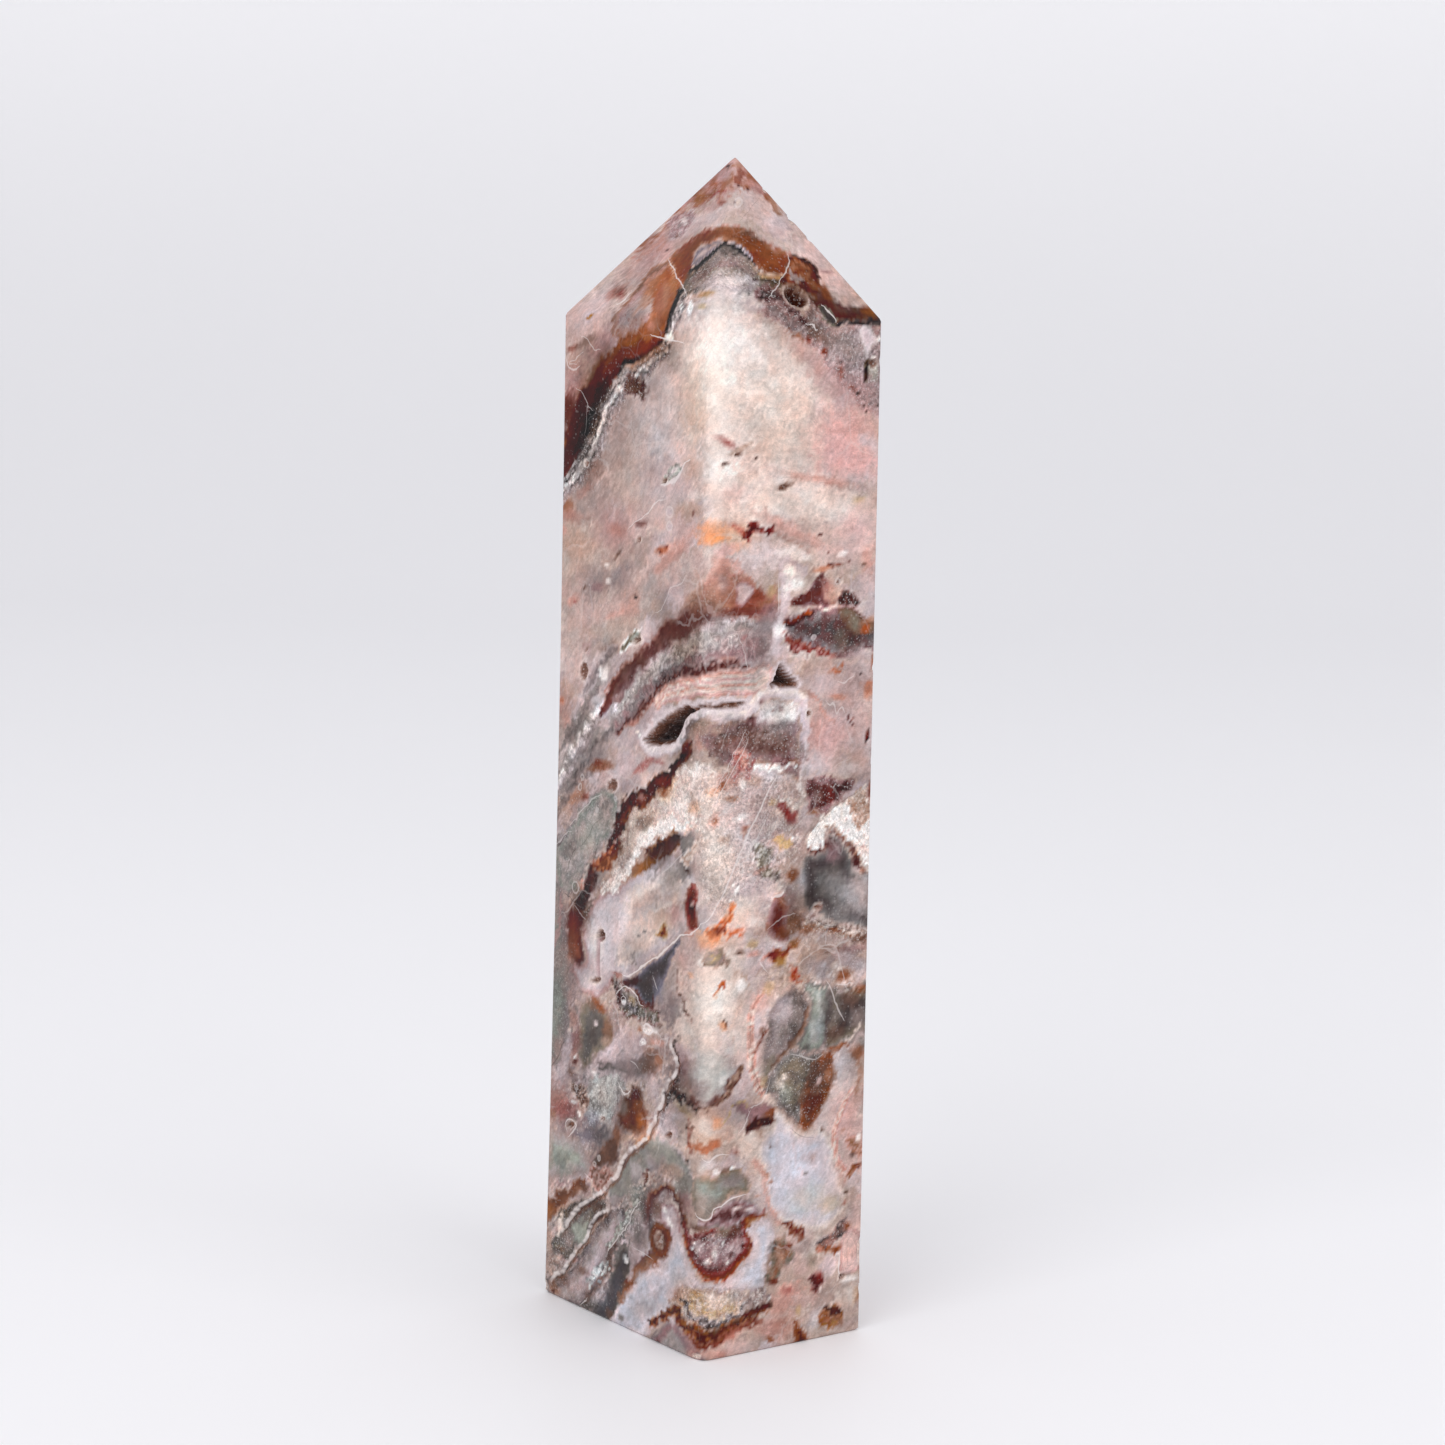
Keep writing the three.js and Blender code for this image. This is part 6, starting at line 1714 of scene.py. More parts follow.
GLOWING_EDGE = (
    # Broken crystal under the shelf: pale ground with short streaks of white, lilac, sand and clay
    Streaks(((-3, 98.6), (1, 100), (8, 98.6), (18, 98.2), (19.4, 92), (18.4, 84), (14.4, 79), (8, 78),
        (2, 75.4), (-1, 79), (-3, 87), (-6, 90)), (Cloud(LILAC, 42, 6, 3.4, 401, -0.1, 0.7),
        Cloud(CREAM, 42, 5, 2.4, 403, 0.1, 0.8), Cloud(GREIGE, 40, 4, 2.0, 409, 0.4, 0.6),
        Cloud(WHITE, 46, 3, 0.9, 411, 0.35, 0.9), Cloud(CLAY, 36, 2.4, 1.0, 419, 0.6, 0.6)), soft=1.6,
        grain=Grain.CRYSTALS),
    Streaks(((12, 78), (19, 84), (20, 74), (34, 70), (35, 60), (24, 60), (12, 62), (9, 70)),
        (Cloud(LILAC, -20, 7, 3.0, 421, 0.0, 0.7), Cloud(CREAM, -30, 5, 1.6, 423, 0.2, 0.7),
        Cloud(TAUPE, -16, 5, 1.6, 431, 0.35, 0.6), Cloud(WHITE, -40, 3, 0.8, 433, 0.5, 0.8),
        Cloud(CLAY, 20, 2.4, 1.0, 439, 0.65, 0.6)), soft=1.8, grain=Grain.BROKEN),
    # Cream, frost and ivory down the front edge from 50 to 100 high are a painted highlight of the
    # rounded edge
    *ovals(Wash,
        (1.5, 88, 6, 12, CREAM, 0.6), (2.2, 62, 6.4, 8, CREAM, 0.95), (1, 61, 4.6, 6, IVORY, 0.9),
        (0.6, 53.6, 3.6, 3.4, CREAM, 0.7), (0.4, 51.2, 4.2, 2.2, FROST, 0.6),
        (0.2, 55.2, 2, 1.4, IVORY, 0.7), (8, 88, 5, 6, PALE_LILAC, 0.7, 30), (2, 84, 3, 7, CREAM, 0.7),
        (8, 93, 6, 4, PINK, 0.6), (9, 78, 5, 4, LILAC), (8, 75.6, 3.4, 2.6, CREAM),
        (9.6, 73.4, 1.6, 1.2, MILK), (4.6, 97.6, 4, 1.6, CLAY, 0.7, 20),
        (2.8, 96.3, 0.7, 0.7, RUST, 0.85), (4.8, 94.2, 1.4, 0.6, FAWN),
        (1.2, 90.4, 1.6, 1.3, SALMON, 0.8, 30), (1.4, 90.6, 0.9, 0.6, RUST, 0.7, 30),
        (3.4, 87.4, 1.4, 0.9, SAND, 0.7), (6.4, 91, 1.8, 0.6, WHITE, 0.6, 10),
        (6.8, 96.6, 0.7, 1, WHITE, 0.8, 20), (9.4, 97, 2, 1, SAND, 0.6),
        (13, 98, 5, 1.2, PALE_LILAC, 0.8, -10),
    ),
    Band(((9.4, 99.4, 0.3), (11, 99, 0.4), (13, 99, 0.4), (15, 99.1, 0.4), (17.4, 98.8, 0.3)),
        ((0, WHITE),), soft=0.3, wander=0.8, grain=Grain.CRYSTALS),
    *ovals(Wash,
        (12, 93.4, 3, 2, TAUPE, 0.6), (13, 93.2, 1, 0.6, KHAKI, 0.6),
    ),
    Patch(((14, 92.4), (15.2, 93), (16.6, 92), (18.2, 91.2), (18.6, 90), (17.2, 89.6), (15.6, 90.6),
        (14.4, 91.2)), ((0, CLAY), (0.6, RED)), soft=0.6, wander=0.9, mottle=(DUSK, 0.4, 0)),
    Patch(((6.2, 89.2), (7.4, 90), (8.8, 89.6), (8.6, 88.4), (7.6, 87.6), (6.4, 88)), ((0, PALE_LILAC),
        (0.5, CLAY)), soft=0.4, mottle=(CREAM, 0.5, 3)),
    *ovals(Wash,
        (14.6, 89.2, 3, 1.6, HAZE, 0.35), (13.4, 89, 1.6, 0.7, WHITE, 0.5, 30),
    ),
    Patch(((13, 86), (14.2, 87), (16, 86.8), (17.8, 86), (17.6, 85), (15.6, 84.8), (14, 85.2)),
        ((0, SAND), (0.6, KHAKI)), soft=0.6, wander=0.9, grain=Grain.FAINT_SUGAR),
    Patch(((9.6, 86.4), (11, 86.6), (12.4, 85.6), (13.2, 83.6), (14.6, 81.6), (15.6, 79.4), (14, 79.2),
        (12.4, 80.6), (10.6, 81.6), (9.6, 83.6)), ((0, GREIGE), (0.8, OLIVE)), soft=0.5, wander=1.1,
        mottle=(WHITE, 0.45, 3), grain=Grain.CRYSTALS),
    *ovals(Wash,
        (12.6, 84.6, 1, 1, OLIVE, 0.6), (14.2, 80.6, 1.2, 0.7, SLATE, 0.6, -30),
        (11, 82, 2.2, 0.5, CLAY, 0.5, 20), (17.6, 80.6, 1.8, 1, RUST), (17, 76, 2, 3, DUSK, 0.5),
        (17.8, 72.6, 2.4, 1.8, FAWN, 0.85), (18, 69, 1.4, 1, AMBER),
    ),
    # Red wedge with amber
    Patch(((13.4, 76.4), (14.2, 77.4), (15, 78), (16.2, 77.2), (16.8, 75), (16.6, 72), (17, 70),
        (15.4, 69.6), (13.4, 70.4), (12.2, 71.8), (12.4, 74)), ((0, ROSE), (0.5, DUSK), (1.5, MAROON)),
        soft=0.4, wander=0.4, mottle=(FAWN, 0.3, 2)),
    Wash(15.6, 71.2, (1.4, 1.4), RUST, 0.6),
    Patch(((11, 66.6), (12.4, 67.8), (14, 68.4), (16, 68.6), (17, 69.4), (17.6, 68), (16, 66.4),
        (14.2, 65.9), (12.4, 66.4)), ((0, SALMON), (0.5, BRICK), (1, RED)), soft=0.5, mottle=(AMBER, 0.3,
        1)),
    *ovals(Wash,
        (15.4, 66.2, 1.4, 0.8, OCHRE, 0.8, 20), (12.6, 69.8, 1.6, 0.9, PALE_LILAC, 0.7),
    ),
    Vein(((13.6, 77, 0.15), (14.6, 77.4, 0.3), (16, 78, 0.12))),
    Vein(((12.4, 72.2, 0.06), (14, 72.8, 0.12), (16, 73.8, 0.12), (18, 74.2, 0.08)), strength=0.4),
    # Orange-red speckles on the edge
    Patch(((0.4, 73.4), (2, 74), (3.6, 74.8), (4.6, 76), (5.8, 76.6), (5.8, 75.4), (4.6, 74.2),
        (4.2, 72.6), (3.4, 71.4), (1.6, 71), (0, 71.8)), ((0, PEACH), (0.6, EMBER), (1.3, BRICK)),
        soft=0.6, wander=1.1, mottle=(CREAM, 0.3, 3)),
    *ovals(Wash,
        (2.4, 72.4, 1.5, 0.8, BRICK, 0.7), (0, 71, 3, 1.5, PEACH, 0.6),
    ),
    Band(((4.4, 71, 0.3), (5.6, 72.4, 0.4), (7, 71.8, 0.3), (7.6, 72.6, 0.2)), ((0, EMBER),), soft=0.5,
        wander=1.0, strength=0.7),
    Patch(((0, 69), (1.4, 69.6), (3.4, 69.4), (4.4, 68), (4, 66.6), (2.4, 66.2), (0.6, 66), (-0.6, 67.2)),
        ((0, SAND), (0.8, TAUPE), (1.4, KHAKI)), soft=0.5, wander=0.9, mottle=(OLIVE, 0.35, 0),
        grain=Grain.FAINT_SPECKS),
    Patch(((1.8, 62.2), (2.8, 63), (3.4, 64), (4.6, 64.4), (4, 63), (3, 62), (2.4, 61.6)), ((0, PEACH),
        (0.4, EMBER)), wander=1.0),
    Band(((2.8, 58.5, 0.15), (3.2, 57.5, 0.3), (4, 56.7, 0.15)), ((0, BARK),), soft=0.2, strength=0.9),
    *ovals(Wash,
        (3.6, 56.6, 1.2, 0.6, PEACH, 0.7, -40), (7, 68.6, 1.1, 0.4, BARK),
        (9.4, 69.8, 1.4, 0.8, KHAKI, 0.7), (9.6, 68, 1.4, 0.6, SALMON, 0.7),
        (7, 63.2, 1, 1.4, WHITE, 0.85),
    ),
    Band(((6, 65.6, 0.2), (7.4, 65, 0.3), (8.4, 63.6, 0.3), (9, 62, 0.2)), ((0, SAND),), soft=0.4,
        wander=1.0, strength=0.6),
    Wash(13, 62, (1.2, 1.2), KHAKI, 0.6),
    Vein(((10.8, 66.8, 0.05), (11.8, 65.4, 0.12), (12.4, 64.6, 0.05)), strength=0.6),
    # Long white fractures
    Vein(((8, 104, 0.05), (6.6, 101.4, 0.1), (4.6, 98.4, 0.1), (2.6, 95.4, 0.12), (1.4, 93.2, 0.05)),
        wander=0.12, strength=0.6),
    Vein(((12.6, 92, 0.04), (10.4, 88, 0.1), (8, 84, 0.1), (6, 80.4, 0.05)), wander=0.12, strength=0.5),
    Vein(((14, 97.6, 0.05), (12.2, 95, 0.14), (10.6, 92, 0.14), (9, 89.4, 0.16), (7.4, 86.6, 0.14),
        (6, 84, 0.18), (4.6, 81, 0.2), (3, 78, 0.16), (1.6, 76.2, 0.14), (0.2, 74.4, 0.1),
        (-1.4, 73.6, 0.05)), wander=0.15, strength=0.85),
    Vein(((6, 84.6, 0.1), (7.6, 84.4, 0.14), (9, 86, 0.12), (9.8, 86.8, 0.06)), strength=0.5),
    Vein(((6, 83.6, 0.1), (7, 83, 0.2), (7.2, 82, 0.1)), strength=0.6),
    Band(((5.2, 79.6, 0.2), (6.2, 79.2, 0.4), (5.6, 78.4, 0.2)), ((0, WHITE),), soft=0.3, strength=0.8),
    # Plum island with white crystal and smoky window on the narrow face
    *ovals(Wash,
        (21, 99.6, 5, 1.4, PALE_LILAC), (20, 90, 2, 3, LILAC, 0.8, -30),
    ),
    Patch(((20, 95.4), (21, 96.6), (23, 97.2), (25, 97), (27.4, 96.8), (30.2, 95.8), (29.4, 94.2),
        (28, 93), (26.2, 91.8), (24.6, 90.8), (22.8, 90.4), (21.2, 91.4), (20.2, 93)), ((0, ROSE),
        (0.8, DUSK), (1.8, MAROON)), soft=0.7, wander=1.0, mottle=(PLUM, 0.4, 1), grain=Grain.SUGAR),
    *ovals(Wash,
        (27.6, 94.6, 2.2, 1.2, WINE, 0.85, 20), (25.4, 93.6, 0.8, 1.6, RED, 0.5),
        (22, 91, 1.5, 0.5, FAWN), (22.4, 93.6, 1.2, 1.2, TAUPE, 0.5), (29, 98, 3, 1, PALE_LILAC, 0.6),
        (31, 94.4, 3, 0.9, LILAC, 0.9, 25),
    ),
    Patch(((20.2, 86.2), (21.4, 87.6), (23, 89), (24.6, 90.4), (26.4, 91.4), (29, 92.4), (31.6, 93.6),
        (33.4, 94.6), (38, 95.4), (38, 80.6), (34.2, 80.6), (32.6, 82.4), (31, 84.2), (29, 86),
        (27.2, 87.6), (25.6, 88.6), (24.8, 87.2), (24.4, 85), (23.4, 84.2), (21.6, 84.6)), ((0, CREAM),
        (0.4, WHITE)), soft=0.25, mottle=(CREAM, 0.25, 3), grain=Grain.CRYSTALS),
    Streaks(((24, 88), (28, 91.6), (38, 95), (38, 81), (33, 81.6), (29, 86)),
        (Cloud(PINK, -52, 4, 0.9, 441, 0.25, 0.8), Cloud(SAND, -52, 3, 0.7, 443, 0.5, 0.8),
        Cloud(FAWN, -50, 1.6, 0.6, 449, 0.75, 0.8)), soft=0.8),
    Patch(((30, 92.2), (32, 93.4), (33.8, 94), (34.4, 91), (33.8, 88), (32, 86.6), (30.6, 89)),
        ((0, CREAM), (0.8, SAND)), soft=0.6, wander=1.2, mottle=(FAWN, 0.35, 3), grain=Grain.CRYSTALS),
    Wash(34.2, 93.8, (0.7, 1.6), BRICK, 0.85),
    Vein(((20.4, 86.8, 0.04), (22.4, 88.6, 0.08), (25, 90.8, 0.08), (28.4, 92.6, 0.06), (32, 94, 0.05)),
        white=False, strength=0.4, wander=0.1),
    Vein(((21.6, 85.6, 0.05), (23.2, 88, 0.08), (24.6, 89.8, 0.04)), white=False, strength=0.4,
        wander=0.1),
    Band(((20.6, 84.8, 0.3), (22, 84.1, 0.45), (24, 84.2, 0.5), (25, 84.8, 0.3)), ((0, MAROON),),
        soft=0.4, wander=1.1, mottle=(SAND, 0.3, 3)),
    Band(((26, 88.2, 0.3), (27.2, 86.8, 0.5), (28.8, 85.6, 0.4), (30.4, 84.2, 0.5), (31.6, 82.6, 0.7),
        (32.6, 80.8, 0.5), (33.6, 79.8, 0.3)), ((-1, PLUM), (1, SAND)), soft=0.4, wander=0.9,
        mottle=(FAWN, 0.35, 3)),
    *ovals(Wash,
        (31, 82, 0.9, 1, WINE, 0.85), (32.8, 80.2, 0.8, 0.5, EMBER, 0.6),
    ),
    Patch(((19.8, 82), (20.4, 83.8), (22, 83.6), (24, 84), (25.2, 85.2), (25.6, 86.8), (27, 86),
        (29, 84.4), (30, 82.4), (30.6, 80.4), (33, 79.4), (38, 79.6), (38, 70.6), (33, 70.6),
        (29.4, 71.6), (26, 72.4), (23.6, 73.8), (21, 74.6), (20, 77)), ((0, PEWTER), (1.6, SMOKE),
        (3, SLATE)), soft=0.7, wander=0.5),
    *ovals(Wash,
        (32, 75.6, 4.4, 3.2, DOVE, 0.9, -20), (33, 78.4, 2.6, 2, DOVE),
        (28, 73.4, 3, 1.4, PEWTER, 0.7, -15), (27, 79, 3, 2, PEWTER, 0.6),
        (26.4, 84, 2, 1.6, DUSK, 0.75), (25.6, 85.4, 1, 1.2, PLUM, 0.6),
        (23.2, 74.6, 0.8, 0.6, MAROON, 0.95), (22.1, 73.6, 0.5, 0.25, MAROON),
        (19.6, 79, 1.2, 2.4, PALE_LILAC, 0.6),
    ),
    # Layered brown lines under the window
    Band(((20.4, 72.2, 0.8), (22.4, 71.6, 0.9), (25, 70.8, 1.1), (28, 70.2, 1.2), (31, 69.4, 1.1),
        (36, 68.8, 1.0)), ((-1, PINK), (-0.4, SAND), (0, FAWN), (0.5, CREAM), (1, COCOA)), soft=0.5,
        mottle=(CREAM, 0.3, 3), grain=Grain.SUGAR),
    *ovals(Wash,
        (20.8, 71.2, 1.8, 0.8, FAWN), (26.6, 70.6, 1.8, 0.5, RUST, 0.7, -12),
        (32.8, 68.8, 2.4, 0.9, COCOA, 0.75),
    ),
    Vein(((22.2, 73, 0.05), (24.6, 71.6, 0.08), (27.4, 71, 0.08), (30.4, 70.2, 0.05)), white=False,
        strength=0.5, wander=0.2),
    *ovals(Wash,
        (26.4, 67.2, 3.4, 0.9, COCOA, 0.5), (31, 67, 3, 0.9, DUSK, 0.6), (22, 67, 3, 2, SAND, 0.7),
        (30, 65, 4, 1.4, LILAC, 0.8, -20), (33, 63.4, 2.4, 2, PALE_LILAC),
    ),
    Patch(((17.2, 65), (18.4, 65.6), (19.8, 64.8), (20, 63.4), (18.8, 62.5), (17.6, 63)), ((0, SALMON),
        (0.5, EMBER)), soft=0.4, wander=0.9, mottle=(PINK, 0.35, 3)),
    *ovals(Wash,
        (23.4, 64.4, 3, 2, LILAC, 0.7, -20), (29, 62.6, 1.8, 1, RUST, 0.8, 15),
        # The ivory at the front edge is a painted highlight
        (2, 60, 3.4, 3, IVORY, 0.6), (0.4, 80.6, 2.4, 4, PEWTER, 0.4, 20),
    ),
    # White rims and crystals of the sugar quartz
    Band(((-29.4, 74.4, 0.4), (-25.4, 76.8, 0.5), (-22.4, 79.2, 0.6), (-20.2, 82, 0.8),
        (-18.2, 84.8, 0.9), (-15, 86.8, 1.0), (-12, 88.4, 1.1), (-9.4, 89.4, 1.0), (-7, 88.8, 0.7)),
        ((0, WHITE),), soft=0.5, wander=1.3, strength=0.8, grain=Grain.SUGAR),
    *ovals(Wash,
        (-9, 92.4, 4, 2.4, WHITE, 0.5, 20), (-4, 98.8, 2.6, 1.4, WHITE, 0.6),
        (-12.8, 94.2, 2, 0.9, PINK, 0.5, 20), (-17.4, 88.6, 2.6, 1, TAUPE, 0.5, 20),
        (-23.4, 80.8, 2.6, 1.3, TAUPE, 0.5, 40), (-17.8, 80.8, 3.4, 0.9, AMBER, 0.7, 27),
        (-12.4, 84.4, 3.6, 1.3, WINE, 0.5, 25), (-8.4, 87, 1.6, 0.8, SMOKE, 0.6, 20),
        (-4, 92.6, 1.8, 1.2, PEACH, 0.45, 20), (0.8, 95.4, 1.7, 0.9, PEACH, 0.4),
        # The ivory over the front edge is a painted highlight
        (0, 86, 3, 5, IVORY, 0.35, 20),
    ),
)


LOWER_LEFT = (
    Streaks(((-49, 16), (-49, 62), (-40, 64), (-24, 60), (-10, 58), (-6, 40), (-8, 24), (-24, 20),
        (-34, 18)), (Cloud(GREIGE, 32, 12, 4.5, 351, -0.1, 0.7), Cloud(DUSK, 40, 9, 3.0, 353, 0.2, 0.5),
        Cloud(SLATE, 36, 10, 1.6, 359, 0.35, 0.6), Cloud(COCOA, 44, 6, 2.0, 367, 0.5, 0.5),
        Cloud(PALE_LILAC, 36, 9, 1.1, 373, 0.45, 0.7)), grain=Grain.BROKEN),
    Streaks(((-48, -2), (-48, 13), (-42, 16), (-34, 20), (-26, 22), (-20, 25), (-14, 29), (-10, 25),
        (-16, 20), (-20, 16), (-22, 10), (-26, 3), (-28, -2)), (Cloud(GREIGE, 36, 8, 2.6, 311, -0.3, 0.6),
        Cloud(SLATE, 40, 11, 1.7, 313, 0.0, 0.7), Cloud(COCOA, 36, 8, 1.6, 317, 0.3, 0.6),
        Cloud(LILAC, 39, 12, 1.6, 337, 0.3, 0.6)), soft=1.4, grain=Grain.SPARKLING),
    # Ground tones, top to bottom
    *ovals(Wash,
        (-30, 47.5, 7, 2.4, LILAC, 0.8, 10), (-22, 50, 6, 2.4, LILAC),
        (-41, 44, 2.4, 5, LILAC, 0.8, -10), (-43, 40, 3, 2.4, LILAC, 0.7),
        (-38, 45, 1.6, 3, CLAY, 0.7, -15), (-44, 35, 5, 3.4, CLAY, 0.8, 10),
        (-41, 34.6, 5, 1.6, RED, 0.45, 12), (-45.4, 32.8, 1.6, 0.8, FAWN, 0.7),
        (-34, 50, 4, 5, GREIGE, 0.8, 30),
    ),
    Patch(((-36.6, 52.6), (-35.4, 54.8), (-33, 56), (-30.4, 56.2), (-28.4, 54.4), (-26.4, 52),
        (-25.8, 49.6), (-28, 48), (-31, 46), (-33.6, 43.4), (-35.6, 42.4), (-37, 45), (-37, 49)),
        ((0, TAUPE), (1.0, OLIVE), (2.6, SLATE)), soft=1.0, wander=0.8),
    *ovals(Wash,
        (-30.6, 55, 2.4, 1.0, RUST, 0.85, -25), (-32.8, 54.6, 2, 1.0, COCOA, 0.6),
        (-27.6, 51, 1.6, 2.2, FAWN, 0.7, 20), (-28.4, 49.2, 1.6, 0.8, SAND, 0.7, 20),
        (-31.6, 51.6, 0.7, 0.5, PALE_LILAC), (-34, 47, 1.6, 3, SLATE, 0.7, -20),
    ),
    Vein(((-36.6, 53, 0.04), (-36.9, 50, 0.1), (-37.2, 46.4, 0.05)), white=False, strength=0.4),
    *ovals(Wash,
        (-34.6, 47, 3, 2.4, SLATE, 0.5, 30), (-38.6, 51, 1.4, 1.6, CLAY, 0.6),
    ),
    Vein(((-35.8, 50.6, 0.05), (-36.4, 53, 0.08), (-35, 54.9, 0.05)), white=False, strength=0.3),
    Patch(((-49, 50), (-44, 49.6), (-41.6, 48), (-42, 44), (-44.4, 41.6), (-49, 39.6)), ((0, GREIGE),
        (1.2, SAGE)), soft=0.8, grain=Grain.FAINT_SUGAR),
    Vein(((-45.4, 41.4, 0.06), (-43.6, 43.4, 0.12), (-42, 45.6, 0.1), (-41.6, 46.6, 0.05)), white=False,
        strength=0.7),
    *ovals(Wash,
        (-37.6, 47.6, 1.6, 2.4, MAROON, 0.45, -25), (-38, 43.6, 0.9, 0.5, MAROON, 0.7, 35),
        (-38, 44.4, 0.7, 0.3, WHITE, 0.8, 40), (-39.4, 41.4, 1, 0.7, COCOA, 0.6),
    ),
    Patch(((-38.6, 39.6), (-36.6, 40.2), (-34.4, 40.4), (-33.4, 38.6), (-33.8, 36.4), (-36, 36),
        (-37.8, 37.4)), ((0, SAND), (0.6, COCOA)), soft=0.5, wander=1.1, mottle=(CREAM, 0.35, 3),
        grain=Grain.SUGAR),
    *ovals(Wash,
        (-37.4, 38.6, 0.7, 0.5, BARK, 0.7, -30), (-38.4, 36.4, 1.2, 0.3, WHITE, 0.7, -5),
        (-36.4, 34.6, 1, 0.5, WHITE, 0.85, -40),
    ),
    Bubble(-37.5, 39.2, 0.5, COCOA),
    Vein(((-40.4, 30.7, 0.06), (-41, 32, 0.1), (-39.4, 33, 0.1), (-37.4, 32.4, 0.12), (-38.4, 31, 0.12),
        (-40, 29.8, 0.08)), strength=0.8, wander=0.2),
    # Slate, mint and pale blue
    Patch(((-33.8, 41), (-31.4, 42.6), (-29.4, 43.2), (-26.6, 44), (-24, 44.6), (-22.4, 42), (-24, 39),
        (-25.6, 36.4), (-26.6, 35), (-29.6, 34.4), (-32.8, 33), (-34.4, 34.6), (-33.4, 37.4)), ((0, DOVE),
        (0.9, FROST), (3, FROST)), soft=0.5, wander=1.0, mottle=(PEWTER, 0.3, 0), grain=Grain.SUGAR),
    *ovals(Wash,
        (-31.8, 42.6, 1.2, 0.5, WHITE, 0.6, -15), (-31, 37, 2, 0.9, SLATE, 0.5, 10),
        (-32.6, 34.4, 3, 1.6, HAZE, 0.5, 20), (-30.6, 32.4, 4, 1.8, STORM, 0.7, 15),
        (-35.6, 30.6, 4.4, 1.8, HAZE, 0.6, 15),
    ),
    Patch(((-47.8, 29.4), (-44, 30), (-40, 30.4), (-36, 29.6), (-33.4, 27.4), (-32.6, 25.4), (-35, 24),
        (-38, 23.2), (-41, 22.4), (-44, 21.2), (-48, 19.6)), ((0, TAUPE), (1.4, DOVE), (3, MINT)),
        soft=1.0),
    *ovals(Wash,
        (-41.5, 24.6, 3.4, 2.4, SAGE, 0.7), (-46, 27, 1.6, 4, BEIGE, 0.6),
    ),
    # Brown oval and its speckled tail
    Patch(((-28.6, 31.4), (-26.4, 33.6), (-24.6, 35.2), (-23.6, 33.4), (-24, 30.6), (-25, 28.2),
        (-27, 27), (-29.6, 26.4), (-32, 25.4), (-32.4, 27.6), (-30.6, 29.4)), ((0, GREIGE), (1, COCOA)),
        soft=0.8, mottle=(FAWN, 0.35, 2)),
    Patch(((-32.6, 26.4), (-30, 26.6), (-27.4, 26.6), (-25.6, 26.2), (-27.4, 24.2), (-29.4, 22.6),
        (-31.8, 22.4), (-33.6, 24)), ((0, CLAY), (0.8, COCOA)), soft=0.6, wander=1.0, mottle=(PINK, 0.45,
        3), grain=Grain.SPECKS),
    Wash(-30.6, 28, (1.6, 0.7), SLATE, 0.5, 25),
    Bubble(-30.2, 28.2, 0.5, CREAM),
    Bubble(-31.6, 26.8, 0.5, TAUPE),
    Vein(((-34.6, 24.4, 0.06), (-33.4, 23.9, 0.16), (-32.6, 23.4, 0.06)), strength=0.6),
    # Slate band and orange-brown spot left of the crack
    Band(((-30, 44.2, 1.0), (-26, 44.8, 1.4), (-22.4, 45.4, 1.8), (-18.6, 46.6, 2.2), (-15.6, 47.6, 2.2),
        (-13, 48.8, 1.8)), ((-1, LILAC), (-0.2, SLATE), (0.6, GREIGE), (1, LILAC)), soft=1.4, wander=0.9,
        mottle=(GREIGE, 0.3, 2)),
    *ovals(Wash,
        (-22, 46, 5, 1.8, GREIGE, 0.6, 12), (-14.6, 47.8, 3.0, 2.4, COCOA, 0.85, 20),
        (-15.6, 50.2, 2.0, 1.2, FAWN, 0.5, 20), (-12.6, 48.4, 1.4, 1.4, FAWN, 0.7),
        (-18, 50.6, 3, 1.4, LILAC, 0.6), (-14.2, 43.6, 2, 2.4, LILAC, 0.8, 30),
        (-24, 38, 2, 4, GREIGE, 0.6),
    ),
    Patch(((-24.4, 37.4), (-23, 40.4), (-21, 42.2), (-18.8, 43.2), (-17.2, 42.4), (-16.6, 40),
        (-15.6, 38), (-16.4, 35.6), (-18.6, 34.8), (-21.4, 34.8), (-23.8, 35.2)), ((0, TAUPE),
        (0.9, COCOA), (2.4, COCOA)), soft=1.0, mottle=(UMBER, 0.3, 2)),
    *ovals(Wash,
        (-18.2, 38.4, 2.4, 2.6, RUST, 0.85, 30), (-17.8, 37.4, 1.2, 1.2, AMBER, 0.8, 30),
        (-19, 41.4, 1.6, 1, UMBER, 0.6, 30), (-22.6, 38.4, 1.2, 1.6, PEWTER, 0.6, 20),
        (-22, 36.6, 1.4, 1, BRICK, 0.6, 30), (-17.2, 33.8, 2.4, 0.9, PEACH, 0.6, 30),
        (-18.6, 33, 1.2, 0.6, AMBER, 0.6, 30), (-22.4, 33.4, 1.6, 1, SAND, 0.7, 30),
    ),
    Vein(((-24.4, 42.6, 0.05), (-22.8, 40.9, 0.16), (-21.6, 41.4, 0.14), (-20.8, 42.2, 0.05))),
    Vein(((-21, 47.2, 0.05), (-19.8, 46.8, 0.14), (-18.4, 46.4, 0.06)), strength=0.5),
    Band(((-7.6, 53.6, 0.4), (-8.2, 50.4, 0.6), (-7, 48.4, 0.5), (-8.6, 45, 0.8), (-10.4, 42.6, 0.7),
        (-11.2, 40, 0.6), (-12.6, 37.8, 0.5)), ((-1, SMOKE), (0, PITCH), (1, SMOKE)), soft=0.4,
        wander=1.2, strength=0.85, mottle=(DOVE, 0.4, 3), grain=Grain.CRYSTALS),
    # Dark haze left of the front edge above the crack's head
    *ovals(Wash,
        (-6, 48.6, 2.4, 3, DUSK, 0.7, 20), (-8.4, 45, 1.6, 1.2, COCOA, 0.7, -30),
    ),
    Band(((-9, 44.6, 0.4), (-7.4, 43.8, 0.5), (-5.4, 43.2, 0.5), (-3.6, 42.6, 0.4), (-1.4, 42.2, 0.35),
        (0.8, 42.2, 0.25)), ((-1, COCOA), (1, WINE)), soft=0.5, wander=1.0, mottle=(BARK, 0.4, 0)),
    *ovals(Wash,
